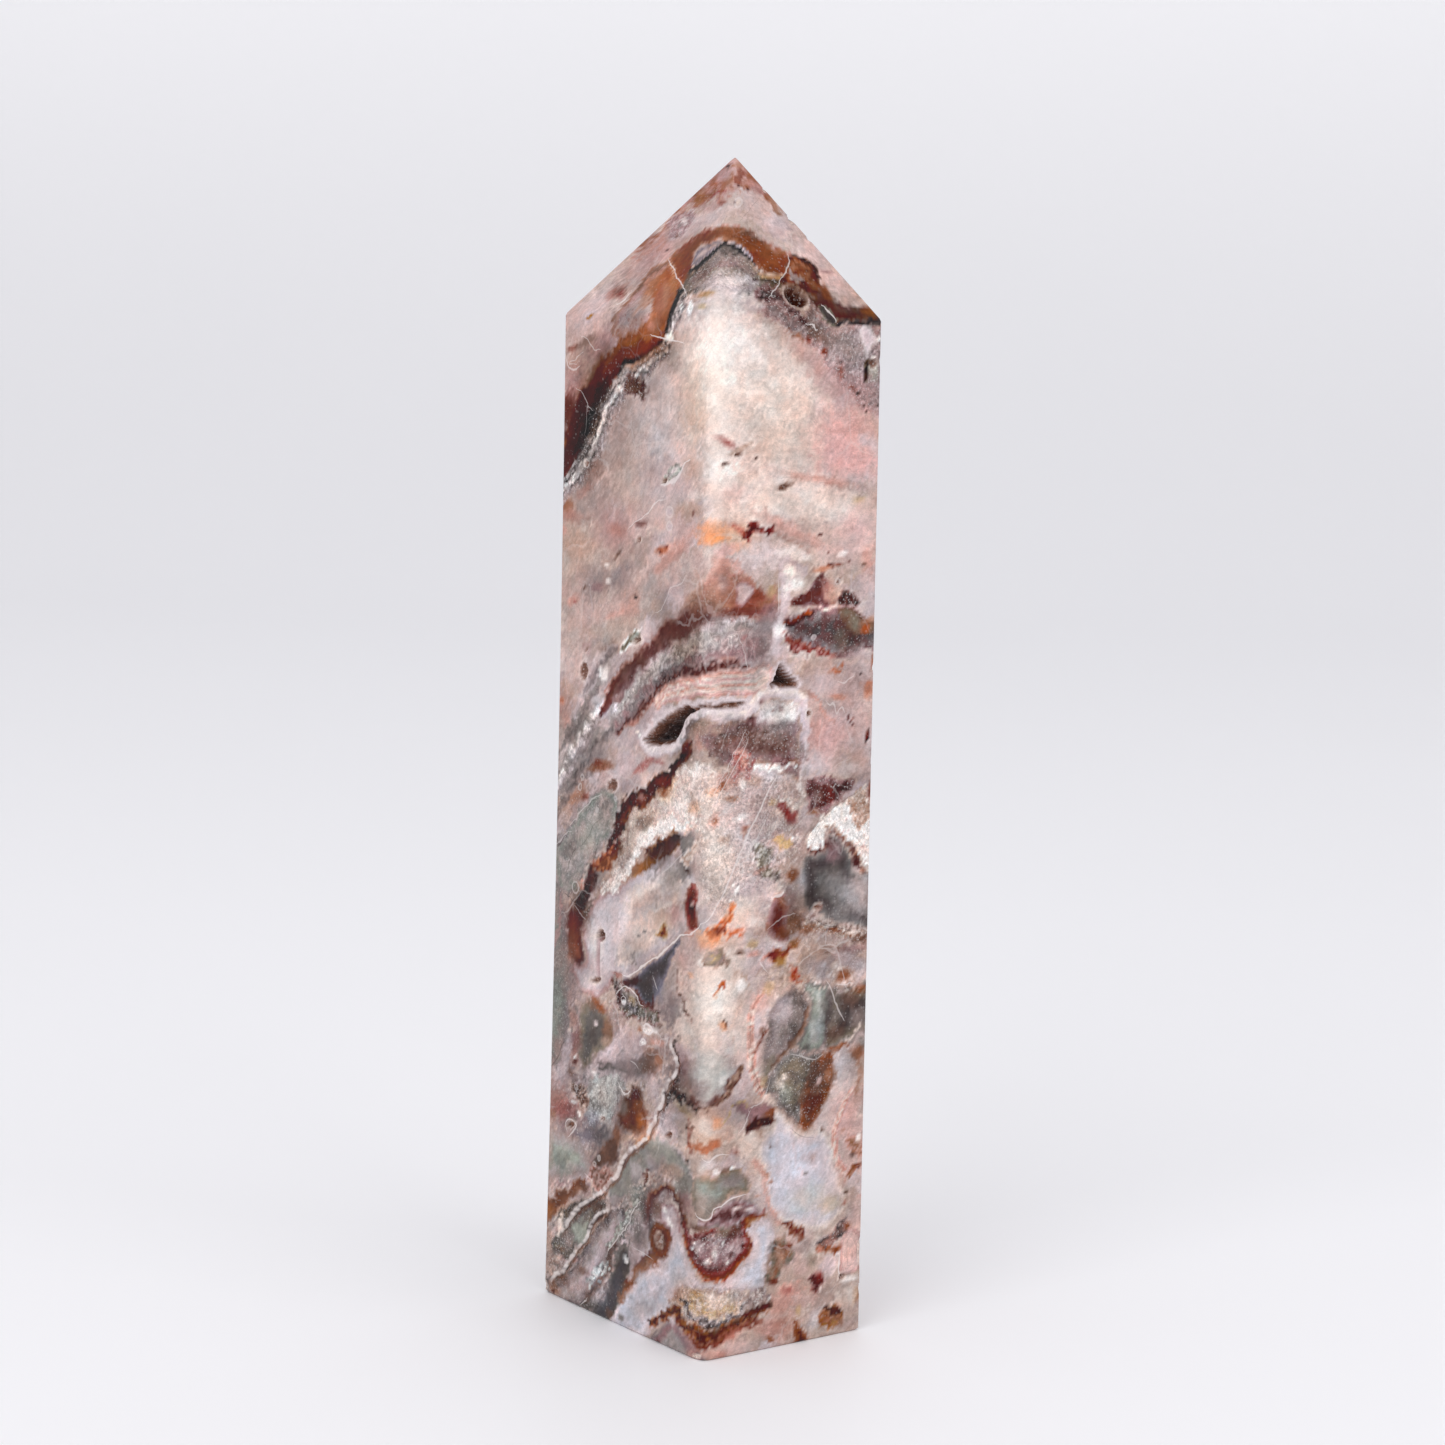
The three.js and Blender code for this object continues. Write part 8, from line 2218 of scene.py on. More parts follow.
LOWER_RIGHT = (
    *ovals(Wash,
        (27, 47, 4, 3, LILAC, 0.7), (29, 44, 3, 5, CREAM, 0.75), (30, 38, 4, 6, BLUSH, 0.7),
        (25, 38, 3, 4, PALE_LILAC, 0.6), (32, 34, 2.4, 5, PINK, 0.7), (10, 52, 3, 6, PINK, 0.7),
        (7, 55, 3, 4, CREAM, 0.7), (8.4, 46.6, 1.8, 4, LILAC, 0.7, -20), (10, 35.6, 4, 3, CREAM),
        (13, 30, 3, 4, CREAM, 0.6), (13, 26, 2.4, 3, LILAC, 0.6),
    ),
    # Eye on the front edge
    Patch(((-4.4, 48), (-3, 50.6), (0, 52.4), (3.4, 52), (6, 50.6), (7.2, 49), (6.2, 46.4), (3.6, 44.4),
        (1, 42.8), (-1.4, 43.4), (-3.4, 45.6)), ((0, TAUPE), (1.2, DOVE), (2.6, FROST)), soft=0.9,
        wander=0.6),
    *ovals(Wash,
        (1.2, 50.2, 2.4, 1.8, FROST, 0.9), (1.4, 50.4, 1.0, 0.7, WHITE, 0.9, 30),
        (3.6, 47.4, 1, 0.7, WHITE, 0.6, 10), (-1, 46.4, 2, 1.6, GREIGE, 0.6),
    ),
    Band(((0.4, 42.4, 0.5), (2.2, 43.8, 0.7), (4, 45, 0.8), (5.6, 46.6, 0.8), (7, 48.4, 0.7),
        (7.8, 50, 0.3)), ((-1, SAND), (-0.3, COCOA), (0.3, SAND), (0.7, COCOA), (1, TAUPE)), soft=0.4,
        mottle=(MAROON, 0.25, 0), grain=Grain.FAINT_SPECKS),
    Wash(1.8, 44, (1.2, 0.8), PLUM, 0.6, 30),
    # Pink lines that hang beside it
    Band(((12, 61.4, 0.5), (9.8, 59, 0.8), (9.2, 55.6, 0.9), (9.6, 51.6, 1.0), (10, 48.4, 1.1),
        (11, 45.8, 1.0), (12.4, 43.6, 0.6)), ((-1, CREAM), (-0.7, SALMON), (-0.45, CREAM), (-0.1, CLAY),
        (0.15, CREAM), (0.5, SALMON), (0.75, CREAM), (1, PINK)), soft=0.4, wander=0.3,
        grain=Grain.FAINT_LINES),
    Wash(11, 60, (2.4, 2), SALMON, 0.45, 30),
    Band(((7.4, 60.6, 0.2), (6, 58, 0.25), (5, 55, 0.25), (6.2, 52.4, 0.2)), ((0, SAND),), soft=0.5,
        strength=0.5),
    Wash(11.8, 54.8, (0.8, 0.8), COCOA, 0.7, 30),
    Band(((10.4, 51.4, 0.2), (11.2, 53, 0.25), (12.4, 54.6, 0.2)), ((0, BRICK),), strength=0.7),
    # Grey-blue wedge
    Patch(((12.2, 49.4), (12.4, 52), (13.2, 55), (13, 58), (15.4, 60), (18, 61.4), (20.4, 60.6),
        (21.2, 57.8), (21, 55.4), (19.4, 53.8), (17.6, 51.6), (15.4, 49.8), (13.4, 46.8), (12.4, 46.6)),
        ((0, TAUPE), (0.9, GREIGE), (2.6, DOVE)), soft=0.8, wander=0.6, mottle=(SLATE, 0.35, 2),
        grain=Grain.FAINT_SUGAR),
    *ovals(Wash,
        (15.4, 51.4, 2.4, 2.4, TAUPE, 0.7, 40), (16.4, 57.4, 2, 2, LILAC, 0.7, -30),
        (19.4, 56.4, 1.2, 2, DOVE, 0.6), (13.6, 48.4, 1.4, 2.2, OLIVE, 0.8, -10),
        (12.6, 46.2, 1.2, 1.2, KHAKI, 0.6),
    ),
    Band(((14.2, 48.8, 0.3), (16, 50.4, 0.45), (17.8, 52, 0.5), (19.4, 53.8, 0.5), (20.8, 55.2, 0.5),
        (21.3, 57.4, 0.5)), ((-1, SAND), (1, COCOA)), soft=0.4),
    # Mint and olive-grey to its right
    Patch(((20.4, 61.6), (23, 62), (25.6, 60.6), (26.4, 57.4), (26, 53.6), (24.4, 50.6), (21.4, 50.4),
        (19.2, 51.4), (20.6, 53.6), (21.8, 56), (21.6, 58.8)), ((0, PEWTER), (1, MINT), (2.4, FROST)),
        soft=0.7),
    Wash(22.4, 54.4, (0.8, 1.4), WHITE, 0.45),
    Patch(((25.4, 60.6), (28, 60.8), (31, 61), (33, 60.6), (38, 60.4), (38, 51), (33, 52.4), (31, 50.6),
        (28, 50.2), (25.4, 50.6), (25, 53.6), (25.8, 57)), ((0, GREIGE), (1.2, OLIVE), (3, SMOKE)),
        soft=0.8, mottle=(PEWTER, 0.4, 2)),
    *ovals(Wash,
        (25.6, 56.6, 1.4, 3.4, SMOKE, 0.6), (30.6, 58.4, 2.6, 1.8, COCOA, 0.6),
        (33, 60, 2, 0.8, RUST, 0.7, -10), (32.4, 55, 2, 2, TAUPE, 0.6), (27.6, 53, 2, 1.6, COCOA, 0.6),
        (33.6, 50.6, 1.4, 1.6, PEWTER, 0.7), (32.4, 48.8, 1.8, 1.2, RUST, 0.7),
        (21, 51, 0.8, 0.8, SLATE, 0.7),
    ),
    Vein(((25.2, 62, 0.05), (26.2, 60.6, 0.12), (27.2, 58.2, 0.14), (28.4, 56, 0.14), (29.2, 54.8, 0.06)),
        wander=0.15, strength=0.6),
    Vein(((27.4, 61.3, 0.06), (29, 61, 0.14), (31, 61.2, 0.06)), strength=0.6),
    Band(((27.6, 50.4, 0.2), (30, 50.8, 0.3), (31.4, 52, 0.25), (32.4, 54, 0.2)), ((0, CREAM),),
        strength=0.75),
    Band(((26, 50.2, 0.3), (28, 50.3, 0.4), (30, 50.3, 0.3)), ((0, RUST),), soft=0.5, strength=0.7),
    # Green-grey sugar and red-brown lobe
    Patch(((13.6, 47.4), (15, 49.2), (17.6, 51), (20, 50.4), (22.6, 49.8), (25, 50), (24, 46.6),
        (22.2, 43), (20.6, 40), (19.2, 38.6), (17.4, 40), (15.6, 41.4), (14.2, 43.4), (12.8, 44.6)),
        ((0, TAUPE), (1, PEWTER), (2.4, OLIVE)), soft=0.6, wander=0.8, mottle=(SLATE, 0.4, 1),
        grain=Grain.SUGAR),
    *ovals(Wash,
        (16.6, 43.6, 1.6, 1.4, MINT, 0.6), (15.4, 45.4, 1.4, 0.7, WHITE, 0.5, -40),
        (16.4, 46.4, 0.9, 0.6, WHITE, 0.6),
    ),
    Patch(((19.4, 38.8), (20.4, 40), (19.8, 42.6), (21, 45.6), (22.6, 48), (24.6, 49.4), (26.8, 50),
        (27, 47.6), (27.5, 46), (27, 43.6), (25.6, 41), (23.6, 38.6), (21.4, 36.6), (20, 37)), ((0, FAWN),
        (1, RUST), (2.2, COCOA)), soft=0.8, mottle=(COCOA, 0.4, 1), grain=Grain.FAINT_SUGAR),
    *ovals(Wash,
        (22.2, 41, 1.6, 2.4, MAROON, 0.6, 20), (22.4, 46, 1.8, 2.2, SMOKE, 0.6),
        (26.2, 46, 1.2, 1.2, FAWN), (23.8, 41.6, 1.4, 1.2, MAROON, 0.7, 40),
        (24, 45, 0.6, 0.9, PINK, 0.8, -40), (20.6, 43, 1, 1.6, SLATE, 0.5),
    ),
    Vein(((18, 50.1, 0.05), (20.6, 49.4, 0.14), (22.6, 48.6, 0.1), (24.6, 49.4, 0.06)), strength=0.6),
    # Maroon leaf with a khaki lip
    Patch(((5.6, 42.8), (7, 43.6), (8.6, 43.8), (10, 42.6), (12, 42.8), (13.6, 42), (14.6, 40.4),
        (13, 39), (10.6, 38.2), (8.4, 38.6), (8.6, 40.6), (7, 41.4)), ((0, TAUPE), (0.8, DUSK)), soft=0.5,
        wander=0.6),
    Patch(((8, 38.6), (9.4, 40), (11.4, 40.6), (13, 40.4), (14.4, 41), (14.6, 39.8), (13, 38.9),
        (10.8, 38.4), (9, 38)), ((0, MAROON), (0.5, WINE)), soft=0.5, wander=0.6, mottle=(FAWN, 0.3, 1)),
    *ovals(Wash,
        (13.6, 40.8, 1.4, 0.6, RUST, 0.8, 10), (11.6, 37.6, 1.4, 0.8, SAND, 0.7, -30),
    ),
    Band(((4.2, 40.2, 0.15), (5, 41.6, 0.2), (6, 42.8, 0.2), (8, 43.9, 0.2), (9, 43, 0.15)),
        ((0, KHAKI),), soft=0.3, strength=0.8),
    Vein(((7, 37.8, 0.08), (8.4, 39.6, 0.1), (9.4, 41.4, 0.08), (9.8, 42.4, 0.05)), strength=0.5),
    Vein(((9.6, 42.3, 0.08), (11, 42.4, 0.12), (12.2, 43.2, 0.12), (13, 44.6, 0.12), (13.6, 46.2, 0.06)),
        strength=0.5),
    # Pale blue-white agate on the narrow face
    Patch(((14.4, 41), (16.4, 39.6), (17.8, 38), (20, 36.2), (23, 36.4), (25.4, 36), (27, 33), (27.4, 30),
        (28.6, 27.4), (30, 24.4), (29.4, 21.4), (26, 19.6), (22, 19.8), (19.6, 20.4), (17.4, 21.6),
        (15.4, 22.4), (14, 25), (12.8, 28), (12.6, 31), (11.4, 34), (12, 37), (14.4, 38.4)), ((0, CREAM),
        (1, PALE_LILAC), (2.4, BLUE_MILK)), soft=0.7, wander=0.5, grain=Grain.CLEAR),
    *ovals(Wash,
        (15.6, 34, 3, 4, BLUE_MILK), (17, 26.6, 3.4, 3.4, BLUE_MILK, 0.7),
        (22, 24.8, 4.4, 2.6, FROST, 0.7), (26.4, 24.2, 3.4, 3, CREAM, 0.6),
        (27, 23.2, 2.4, 1.6, KHAKI, 0.35), (27, 28, 1.8, 3, PALE_LILAC, 0.7),
        (22.6, 32.2, 2, 1.3, LILAC), (22.9, 31.9, 0.9, 0.6, TAUPE, 0.6, 20),
    ),
    Vein(((18.2, 37.4, 0.05), (19.4, 36.4, 0.1), (21, 35.6, 0.08), (23, 35.4, 0.05)), white=False,
        strength=0.35, wander=0.1),
    Band(((18.2, 37.4, 0.2), (18.8, 34, 0.25), (19.4, 31, 0.25), (20.4, 29.6, 0.2)), ((0, LILAC),),
        soft=0.4, strength=0.6),
    *ovals(Wash,
        (24.9, 36.4, 0.35, 0.5, COCOA, 0.85), (26.3, 32.6, 0.5, 0.3, ROSE, 0.7),
        (21.4, 29.4, 0.3, 0.25, SLATE, 0.7), (13.8, 35, 0.4, 0.3, COCOA, 0.7),
        (14, 29, 0.5, 0.35, FAWN, 0.7), (12.9, 30.3, 0.9, 0.5, FAWN, 0.7, -40),
    ),
    Band(((10.6, 33, 0.5), (12, 30.8, 0.5), (13, 28, 0.5), (14, 25, 0.5), (15.4, 22, 0.5),
        (17.4, 20.6, 0.4)), ((0, SALMON),), soft=0.7, strength=0.55),
    # Pink lines near the right edge
    Band(((31.4, 42.6, 0.5), (29.2, 39.6, 0.6), (27.8, 36.4, 0.7), (27.6, 33.4, 0.7), (28.4, 30.6, 0.6),
        (30, 28.8, 0.5)), ((-1, CREAM), (-0.4, SALMON), (0, CREAM), (0.5, SALMON), (1, BLUSH)), soft=0.4,
        wander=0.3, grain=Grain.FAINT_LINES),
    Band(((32.8, 49, 0.4), (33.2, 45.4, 0.4), (32.6, 42, 0.4)), ((0, FAWN),), soft=0.5, strength=0.5),
    Patch(((30.6, 33.4), (31.6, 34.6), (33.4, 33.8), (34.4, 31.4), (33.6, 30.6), (32, 31.4)),
        ((0, SALMON), (0.6, FAWN)), soft=0.5, wander=0.9, mottle=(PINK, 0.35, 3)),
    Patch(((30.4, 27.4), (31.4, 26.8), (32.6, 28), (34.2, 29.4), (33.6, 30.2), (32, 29.8), (30.8, 28.8)),
        ((0, SALMON), (0.5, RUST)), soft=0.45, wander=0.9, mottle=(SAND, 0.35, 3)),
    *ovals(Wash,
        (33, 34, 0.6, 0.8, WHITE), (31.7, 31.2, 0.7, 0.4, BARK, 0.5), (29.4, 35.6, 0.4, 0.3, FAWN, 0.9),
        (30.3, 24.9, 0.6, 0.35, COCOA), (30, 23, 0.5, 0.5, CLAY), (33.6, 23.6, 0.7, 0.4, SALMON, 0.7),
        (32.6, 20, 2, 4, PINK),
    ),
    # Rust and brown below it
    Wash(16, 18, (1.6, 1.4), PALE_LILAC, 0.5),
    Patch(((14.2, 18.6), (15.6, 19), (17.6, 18.4), (18.8, 17), (18.6, 14.6), (16.8, 13.4), (15.8, 11.6),
        (14, 11), (13, 12.4), (13.6, 15.6)), ((0, TAUPE), (0.7, OLIVE), (1.6, FAWN)), soft=0.6,
        wander=0.9, mottle=(SAND, 0.4, 1), grain=Grain.FAINT_SPECKS),
    *ovals(Wash,
        (14.6, 17.6, 1, 1, SLATE, 0.6, -20), (14.9, 11.6, 1, 0.6, BRICK, 0.8, -20),
        (17.8, 17.2, 1.1, 0.6, BRICK, 0.8, 10),
    ),
    Patch(((16.6, 21), (18, 21.6), (19.4, 20.4), (20.9, 19.4), (21, 18.2), (19.6, 18.4), (18, 19.6)),
        ((0, FAWN), (0.5, BRICK)), soft=0.45, wander=0.9, mottle=(SAND, 0.3, 3)),
    Wash(21, 17, (2.4, 1.6), TAUPE, 0.7),
    Patch(((23.8, 16.6), (25.2, 17.6), (27.4, 18.2), (29, 19.6), (30.6, 20), (31.4, 18.8), (30, 17.2),
        (28, 16.2), (26.4, 15.4), (25, 15.4)), ((0, GREIGE), (0.7, SMOKE)), soft=0.5, wander=0.8,
        mottle=(CLAY, 0.35, 1), grain=Grain.SUGAR),
    Band(((24.4, 16, 0.4), (26, 15.2, 0.4), (28, 15, 0.4), (30, 15.4, 0.3), (31.2, 17, 0.2)),
        ((0, RUST),), soft=0.45, wander=0.8, mottle=(SALMON, 0.35, 1)),
    *ovals(Wash,
        (31, 18.9, 0.7, 0.7, RUST), (27, 12.6, 2.4, 1.8, LILAC, 0.9), (23, 14, 1.2, 1.6, OLIVE, 0.5),
    ),
    Patch(((22.6, 10.6), (23.6, 11.6), (25.4, 11.2), (25.8, 9.8), (24.8, 8.4), (23.2, 8.8)), ((0, ROSE),
        (0.5, MAROON)), soft=0.6, mottle=(RED, 0.4, 1)),
    *ovals(Wash,
        (25, 8.7, 0.5, 0.4, WHITE, 0.7), (19, 9.6, 2.4, 1.4, SALMON), (18.2, 9.4, 1.2, 0.6, RED, 0.5),
        (21, 12.8, 2, 1.4, PINK, 0.7), (17, 7.4, 3, 2, SALMON, 0.7), (14, 3.4, 3, 1.6, SALMON, 0.75),
        (14.4, 1.6, 0.9, 0.5, RUST, 0.8, -40), (17.4, 2.4, 2.4, 2.4, CLAY, 0.6),
    ),
    Patch(((19.6, 4.4), (20.4, 3.6), (21.4, 2), (22.6, 0), (22.4, -1), (20.2, -1), (19.8, 1.4)),
        ((0, FAWN), (0.5, RUST), (1, UMBER)), soft=0.4, wander=0.5),
    *ovals(Wash,
        (20.4, 5.6, 0.6, 1, KHAKI, 0.7), (24, 3.6, 1.6, 2, PALE_LILAC, 0.6, -30),
    ),
    Bubble(24.2, 3.7, 0.5, LILAC),
    Patch(((25.2, 3.4), (26.2, 5), (28.2, 5.4), (29.8, 4.2), (31.2, 3), (30.6, 1.6), (28.4, 1.6),
        (26.4, 1.4), (25, 2)), ((0, SAND), (0.5, OCHRE), (1, FAWN)), soft=0.5, wander=0.8, mottle=(RUST,
        0.35, 1)),
    Band(((26.4, 5.2, 0.3), (27.8, 4.6, 0.6), (29.2, 3.8, 0.5), (30, 3.2, 0.2)), ((0, UMBER),), soft=0.5,
        wander=0.6),
    *ovals(Wash,
        (33.2, 6.4, 1, 1.4, AMBER, 0.6), (32, 6.8, 1.6, 2, CREAM, 0.6), (31, 1.6, 3, 1, TAUPE, 0.7),
    ),
    Patch(((29.4, 15), (30, 17), (31.6, 18.4), (33.6, 17), (34.6, 14), (34.6, 11.4), (33.2, 10.8),
        (31.2, 10.4), (29.8, 10.6), (29.4, 12.6)), ((0, ROSE), (0.6, PINK)), soft=0.5, wander=0.3,
        grain=Grain.FAINT_LINES),
    Vein(((29.3, 14.6, 0.05), (29.2, 12.8, 0.16), (29.2, 11, 0.14), (29.6, 10.2, 0.06)), wander=0.15),
    *ovals(Wash,
        (31.6, 9.4, 2, 0.6, MILK), (30, 10.2, 0.7, 0.35, COCOA),
    ),
    Patch(((10.6, 10), (12, 11), (13.6, 10.2), (14.4, 8.4), (13.4, 7), (11, 6.4), (9, 6.6), (8.8, 8.4)),
        ((0, GREIGE), (0.8, TAUPE)), soft=0.5, wander=0.8, mottle=(WHITE, 0.3, 3), grain=Grain.CRYSTALS),
    Band(((8.8, 7, 0.4), (10.6, 7.2, 0.6), (12.4, 7.4, 0.7), (14.4, 7.6, 0.5)), ((-1, RUST), (0, MAROON),
        (1, COCOA)), soft=0.5),
)


ALL_MARKS = (
    MILKY_FIELD, POINT_GROUND, CHEVRON, POINT_DETAIL, LOWER_LEFT, LOWER_RIGHT, HEART, GLOWING_EDGE,
    ARCHES,
)


# Soft ovals on features that lighten or darken what is painted; those round the cavities and
# the large pit darken it as painted shade
TONE_AND_SHADE_OVALS = (
    *ovals(ToneAndShade,
        (-6.2, 118.2, 3.8, 3, 0.87, 0.02, 20), (-6.4, 106.2, 3.4, 2.4, 0.8, 0.01),
        (-12.4, 95.4, 3.2, 2.6, 0.93, 0.06, 20), (30.6, 88.4, 3, 2.8, 1.13, -0.02),
        (-6.4, 46.4, 3, 2.6, 0.92), (6.4, 136.8, 3.2, 2.6, 1.0, 0.08),
        (-17.6, 35.4, 3, 2.2, 1.06, 0.09, 15), (-41.6, 17.2, 3, 2, 0.96, 0.07, 30),
        (-36.4, 149.4, 2.6, 2.4, 0.93, 0.02, 40), (-17.4, 119.8, 3.2, 2, 1.06, 0.0, 30),
        (-11.4, 113.4, 2.8, 2.2, 0.9, 0.0, 25), (18.4, 95.4, 2.6, 2.4, 0.92),
        (-23.4, 77.4, 3, 2.8, 0.93), (-35.6, 155.6, 2.6, 3.4, 0.95, 0.09, 50),
        (-17.8, 95.6, 3, 2, 1.14, 0.02, 20), (-24.4, 5.6, 3, 4, 1.13), (-30.6, 5, 3, 4, 1.1, -0.02),
        (-17.6, 5.4, 3.4, 3, 1.08, -0.01), (-24, 53.6, 3, 2.4, 1.1), (-5.6, 28.6, 2.6, 2.4, 0.88),
        (17.4, 5, 3, 2.6, 0.9, 0.02), (-17.4, 118.6, 3.4, 2.4, 1.1, -0.02, 30),
        (-18.6, 106.6, 3, 2.4, 0.88), (-42.6, 95, 2.6, 3, 1.1), (6.6, 35.4, 3, 2, 0.91, 0.01),
        (12.4, 10.6, 3, 2.4, 0.91), (-36, 59.4, 2.6, 2.6, 0.91), (-30, 106.6, 3.4, 2, 1.07, -0.04),
        (-36.4, 162, 3.2, 2.6, 0.82, 0.03, 35), (30.6, 173.4, 4.4, 2, 0.84, 0.0, -15),
        (29.6, 23, 3, 3, 0.88), (-43, 29.6, 3, 3, 1.12), (0.6, 101.4, 3, 2, 0.91, 0.02),
        (5.6, 161.4, 6, 5, 0.95, 0.01), (-29.4, 17.6, 3.4, 2.4, 0.88), (6, 106.6, 3, 1.6, 0.87),
        (-5.4, 155, 4, 4, 0.94, 0.04), (18.4, 53.4, 2.6, 2.8, 0.86, 0.01),
        (-18.6, 89.6, 3, 2, 0.92, 0.02), (-6.4, 76.6, 3, 2, 0.89, 0.04),
        (5.4, 191.4, 4, 2.4, 0.93, 0.03), (-11.4, 71.6, 3, 2.4, 0.92, 0.03),
        (12.6, 172.6, 4, 2, 0.9, 0.0, -25), (17.4, 131.4, 3.4, 3, 0.94, 0.02),
        (23.6, 167.4, 3.4, 2.4, 1.12, 0.0, -30), (30.6, 95.4, 3, 2, 0.91, -0.01),
        (-36.4, 46.4, 2.6, 2.4, 1.14), (-41.4, 77.6, 3, 2.6, 1.12), (-12.4, 112.4, 3, 2, 0.9),
        (-18.6, 101, 3, 1.8, 0.92), (-30.6, 35, 2.8, 2.4, 1.11, -0.01), (17.6, 41.6, 2.6, 2.6, 0.89),
        (-17.4, 17.4, 3, 2.4, 0.89), (-12.6, 125.4, 3, 3, 0.88, 0.0, 20), (-37, 41.4, 3.4, 2.8, 0.86),
        (6, 41.4, 3.4, 3, 0.88, -0.01), (12.6, 36, 3, 2.4, 0.9), (5.4, 148.6, 3.6, 2, 1.1, -0.01),
        (18.4, 149.4, 4, 3, 0.92), (29.6, 46.6, 3, 3.4, 0.88, -0.04),
        (-30.4, 76.6, 2.6, 2.6, 0.85, 0.0, 30), (-42.6, 17, 2.6, 2, 0.9, 0.06),
        (-6, 11.6, 3, 3, 0.93, 0.03), (-12, 179.4, 2.8, 3, 0.9, 0.13, 35),
        (-18.6, 65.4, 4, 2.4, 0.86, -0.01), (12.4, 71.4, 3, 2.4, 0.9, 0.03),
        (18.4, 64, 3.4, 3, 0.9, 0.04), (24.6, 64.4, 3, 3, 0.88), (30.4, 112.6, 4, 3, 0.9),
        (18.4, 113.4, 3, 2.4, 0.91, 0.02), (-18.4, 112.6, 3, 2.4, 0.87, 0.01),
        (-12.6, 47, 2.4, 2.4, 1.13), (12.4, 107.4, 3, 1.8, 1.12), (-5, 5, 4, 2.6, 1.12, -0.01),
        (-18.6, 161.4, 5, 2.6, 0.9, 0.0, 20), (2, 173, 7, 4, 0.95), (23.6, 80.6, 5, 4.4, 1.12, -0.02),
        (14.4, 74.6, 1.8, 3.6, 1.2), (-2.6, 161, 6, 8, 0.97, 0.02), (12.4, 155.4, 10, 5, 0.96, 0.01),
        (4.6, 73.4, 3.4, 4.4, 1.08, 0.03), (30, 75, 5, 5, 1.1, -0.02), (-43, 11, 3, 3, 1.08),
        (0.6, 29, 4, 2.4, 1.14), (-35.4, 113.4, 4, 3, 1.12), (17.6, 46.6, 2.4, 3, 1.12, 0.01),
        (24.6, 46.4, 2.6, 2, 1.05), (5.6, 113.4, 4.4, 2.4, 0.9), (-12, 78, 3.4, 2, 1.1, -0.01),
        (-6, 24, 3.4, 2.4, 0.9, 0.02), (29.6, 15.6, 4, 3, 1.1, 0.02), (22.6, 119.6, 3.4, 2, 1.15, -0.01),
        (-12.4, 95.2, 3.2, 2.2, 0.82, 0.13, 20), (30, 138, 6, 4, 1.05, -0.02),
        (12.4, 89.4, 4, 3, 0.92, 0.01), (18.6, 89.4, 3, 2.4, 0.9, 0.02),
        (-0.4, 185.4, 6, 1.6, 0.88, 0.08), (12.4, 179, 3.6, 2.4, 0.82, 0.1, -25),
        (18.8, 177.2, 3.6, 2.4, 0.8, 0.08, -40), (18, 173, 10, 2.6, 0.83, 0.02, -28),
        (-5.6, 179.8, 3.6, 4, 0.82, 0.05), (-16.6, 176.2, 4, 7, 1.18, 0.0, -20),
        (-18.8, 167.2, 4.6, 1.8, 0.94, 0.14, 20), (-12.6, 166.6, 3.6, 3, 0.77, 0.03, 15),
        (-29.2, 164.6, 4.4, 3.2, 0.84, 0.06, 30), (-36.8, 166.4, 5.4, 3, 0.88, 0.03, 20),
        (-36.2, 157.4, 3.4, 6, 0.82, 0.1, -35), (-36.6, 149, 3.8, 3.4, 0.76, 0.0, 30),
        (-9.6, 160.6, 7, 5, 0.93, 0.03), (23.4, 125.6, 4, 3.4, 1.22),
        (-6.6, 119.4, 5, 3, 0.84, 0.04, 15), (-11.8, 114, 4, 1.8, 0.9, 0.0, 15),
        (-5.6, 107, 4, 2.8, 0.68, 0.0, 40), (-6.6, 100.8, 2.8, 2.2, 0.72, 0.04),
        (18.6, 107, 2, 4, 1.1, -0.02), (-29.4, 106.4, 4, 3.4, 1.18, 0.0, 30),
        (30.2, 98.4, 4, 5, 0.89, 0.02), (-23.6, 84.6, 2.8, 5, 0.76, 0.03, -30),
        (-17.6, 88.8, 4, 1.6, 0.87, 0.04, 30), (-33.4, 85, 6.4, 3.4, 1.14, 0.0, 30),
        (-6.6, 90, 3.4, 2.4, 1.15), (-12.6, 82.8, 4, 1.9, 0.76, 0.0, 25), (18.4, 76, 3.4, 6, 0.73, 0.01),
        (25.4, 70.2, 4, 2.4, 0.86), (31, 65, 4, 2, 0.89), (-36.2, 71, 3, 3.4, 0.62, 0.08, 40),
        (-18.6, 71.4, 5, 3.4, 1.16, -0.01, 30), (12.4, 59, 3, 3.4, 1.11),
        (-32, 54.6, 5, 4.4, 1.18, 0.01), (-26.8, 47, 5, 2.4, 1.15), (23.6, 53.4, 2.8, 3, 0.87, -0.01),
        (-6, 44, 3.6, 5, 0.77, 0.01), (-11.6, 35.6, 4.4, 2.8, 1.18),
        (-30.4, 23.4, 3.4, 2.4, 1.22, -0.01), (-29.6, 5.4, 3.4, 3, 1.18, -0.02),
    ),
)

# Relief: cavities, pits, chips and the open crack, in the chart's own coordinates

# A cavity's own brown-grey inside, turning to bark brown deeper in as painted shade
CAVITY_COLOURS_AND_SHADE = ((0.0, TAUPE), (0.5, COCOA), (1.2, SMOKE), (2.2, BARK))
LONG_CAVITY = Hollow(
    ((-18.5, 102.3), (-16.4, 101.3), (-14.2, 101.4), (-11.4, 102), (-9.3, 102.8), (-7.8, 104.4),
     (-6, 107), (-4, 108.2), (-2, 108.9), (0, 109.2), (2.7, 109), (4.8, 108.9), (6.4, 109.3),
     (7.9, 110.2), (6.2, 110.3), (4.4, 110.2), (2.4, 110.1), (0, 110.2), (-2.4, 109.9),
     (-4.6, 109.3), (-6.6, 109.5), (-8.4, 108.6), (-10.2, 107.8), (-12.2, 106.9), (-14.4, 105.5),
     (-16.7, 103.6)),
    depth=6.0, wall=2.0, rim=0.7, inside=CAVITY_COLOURS_AND_SHADE,
)
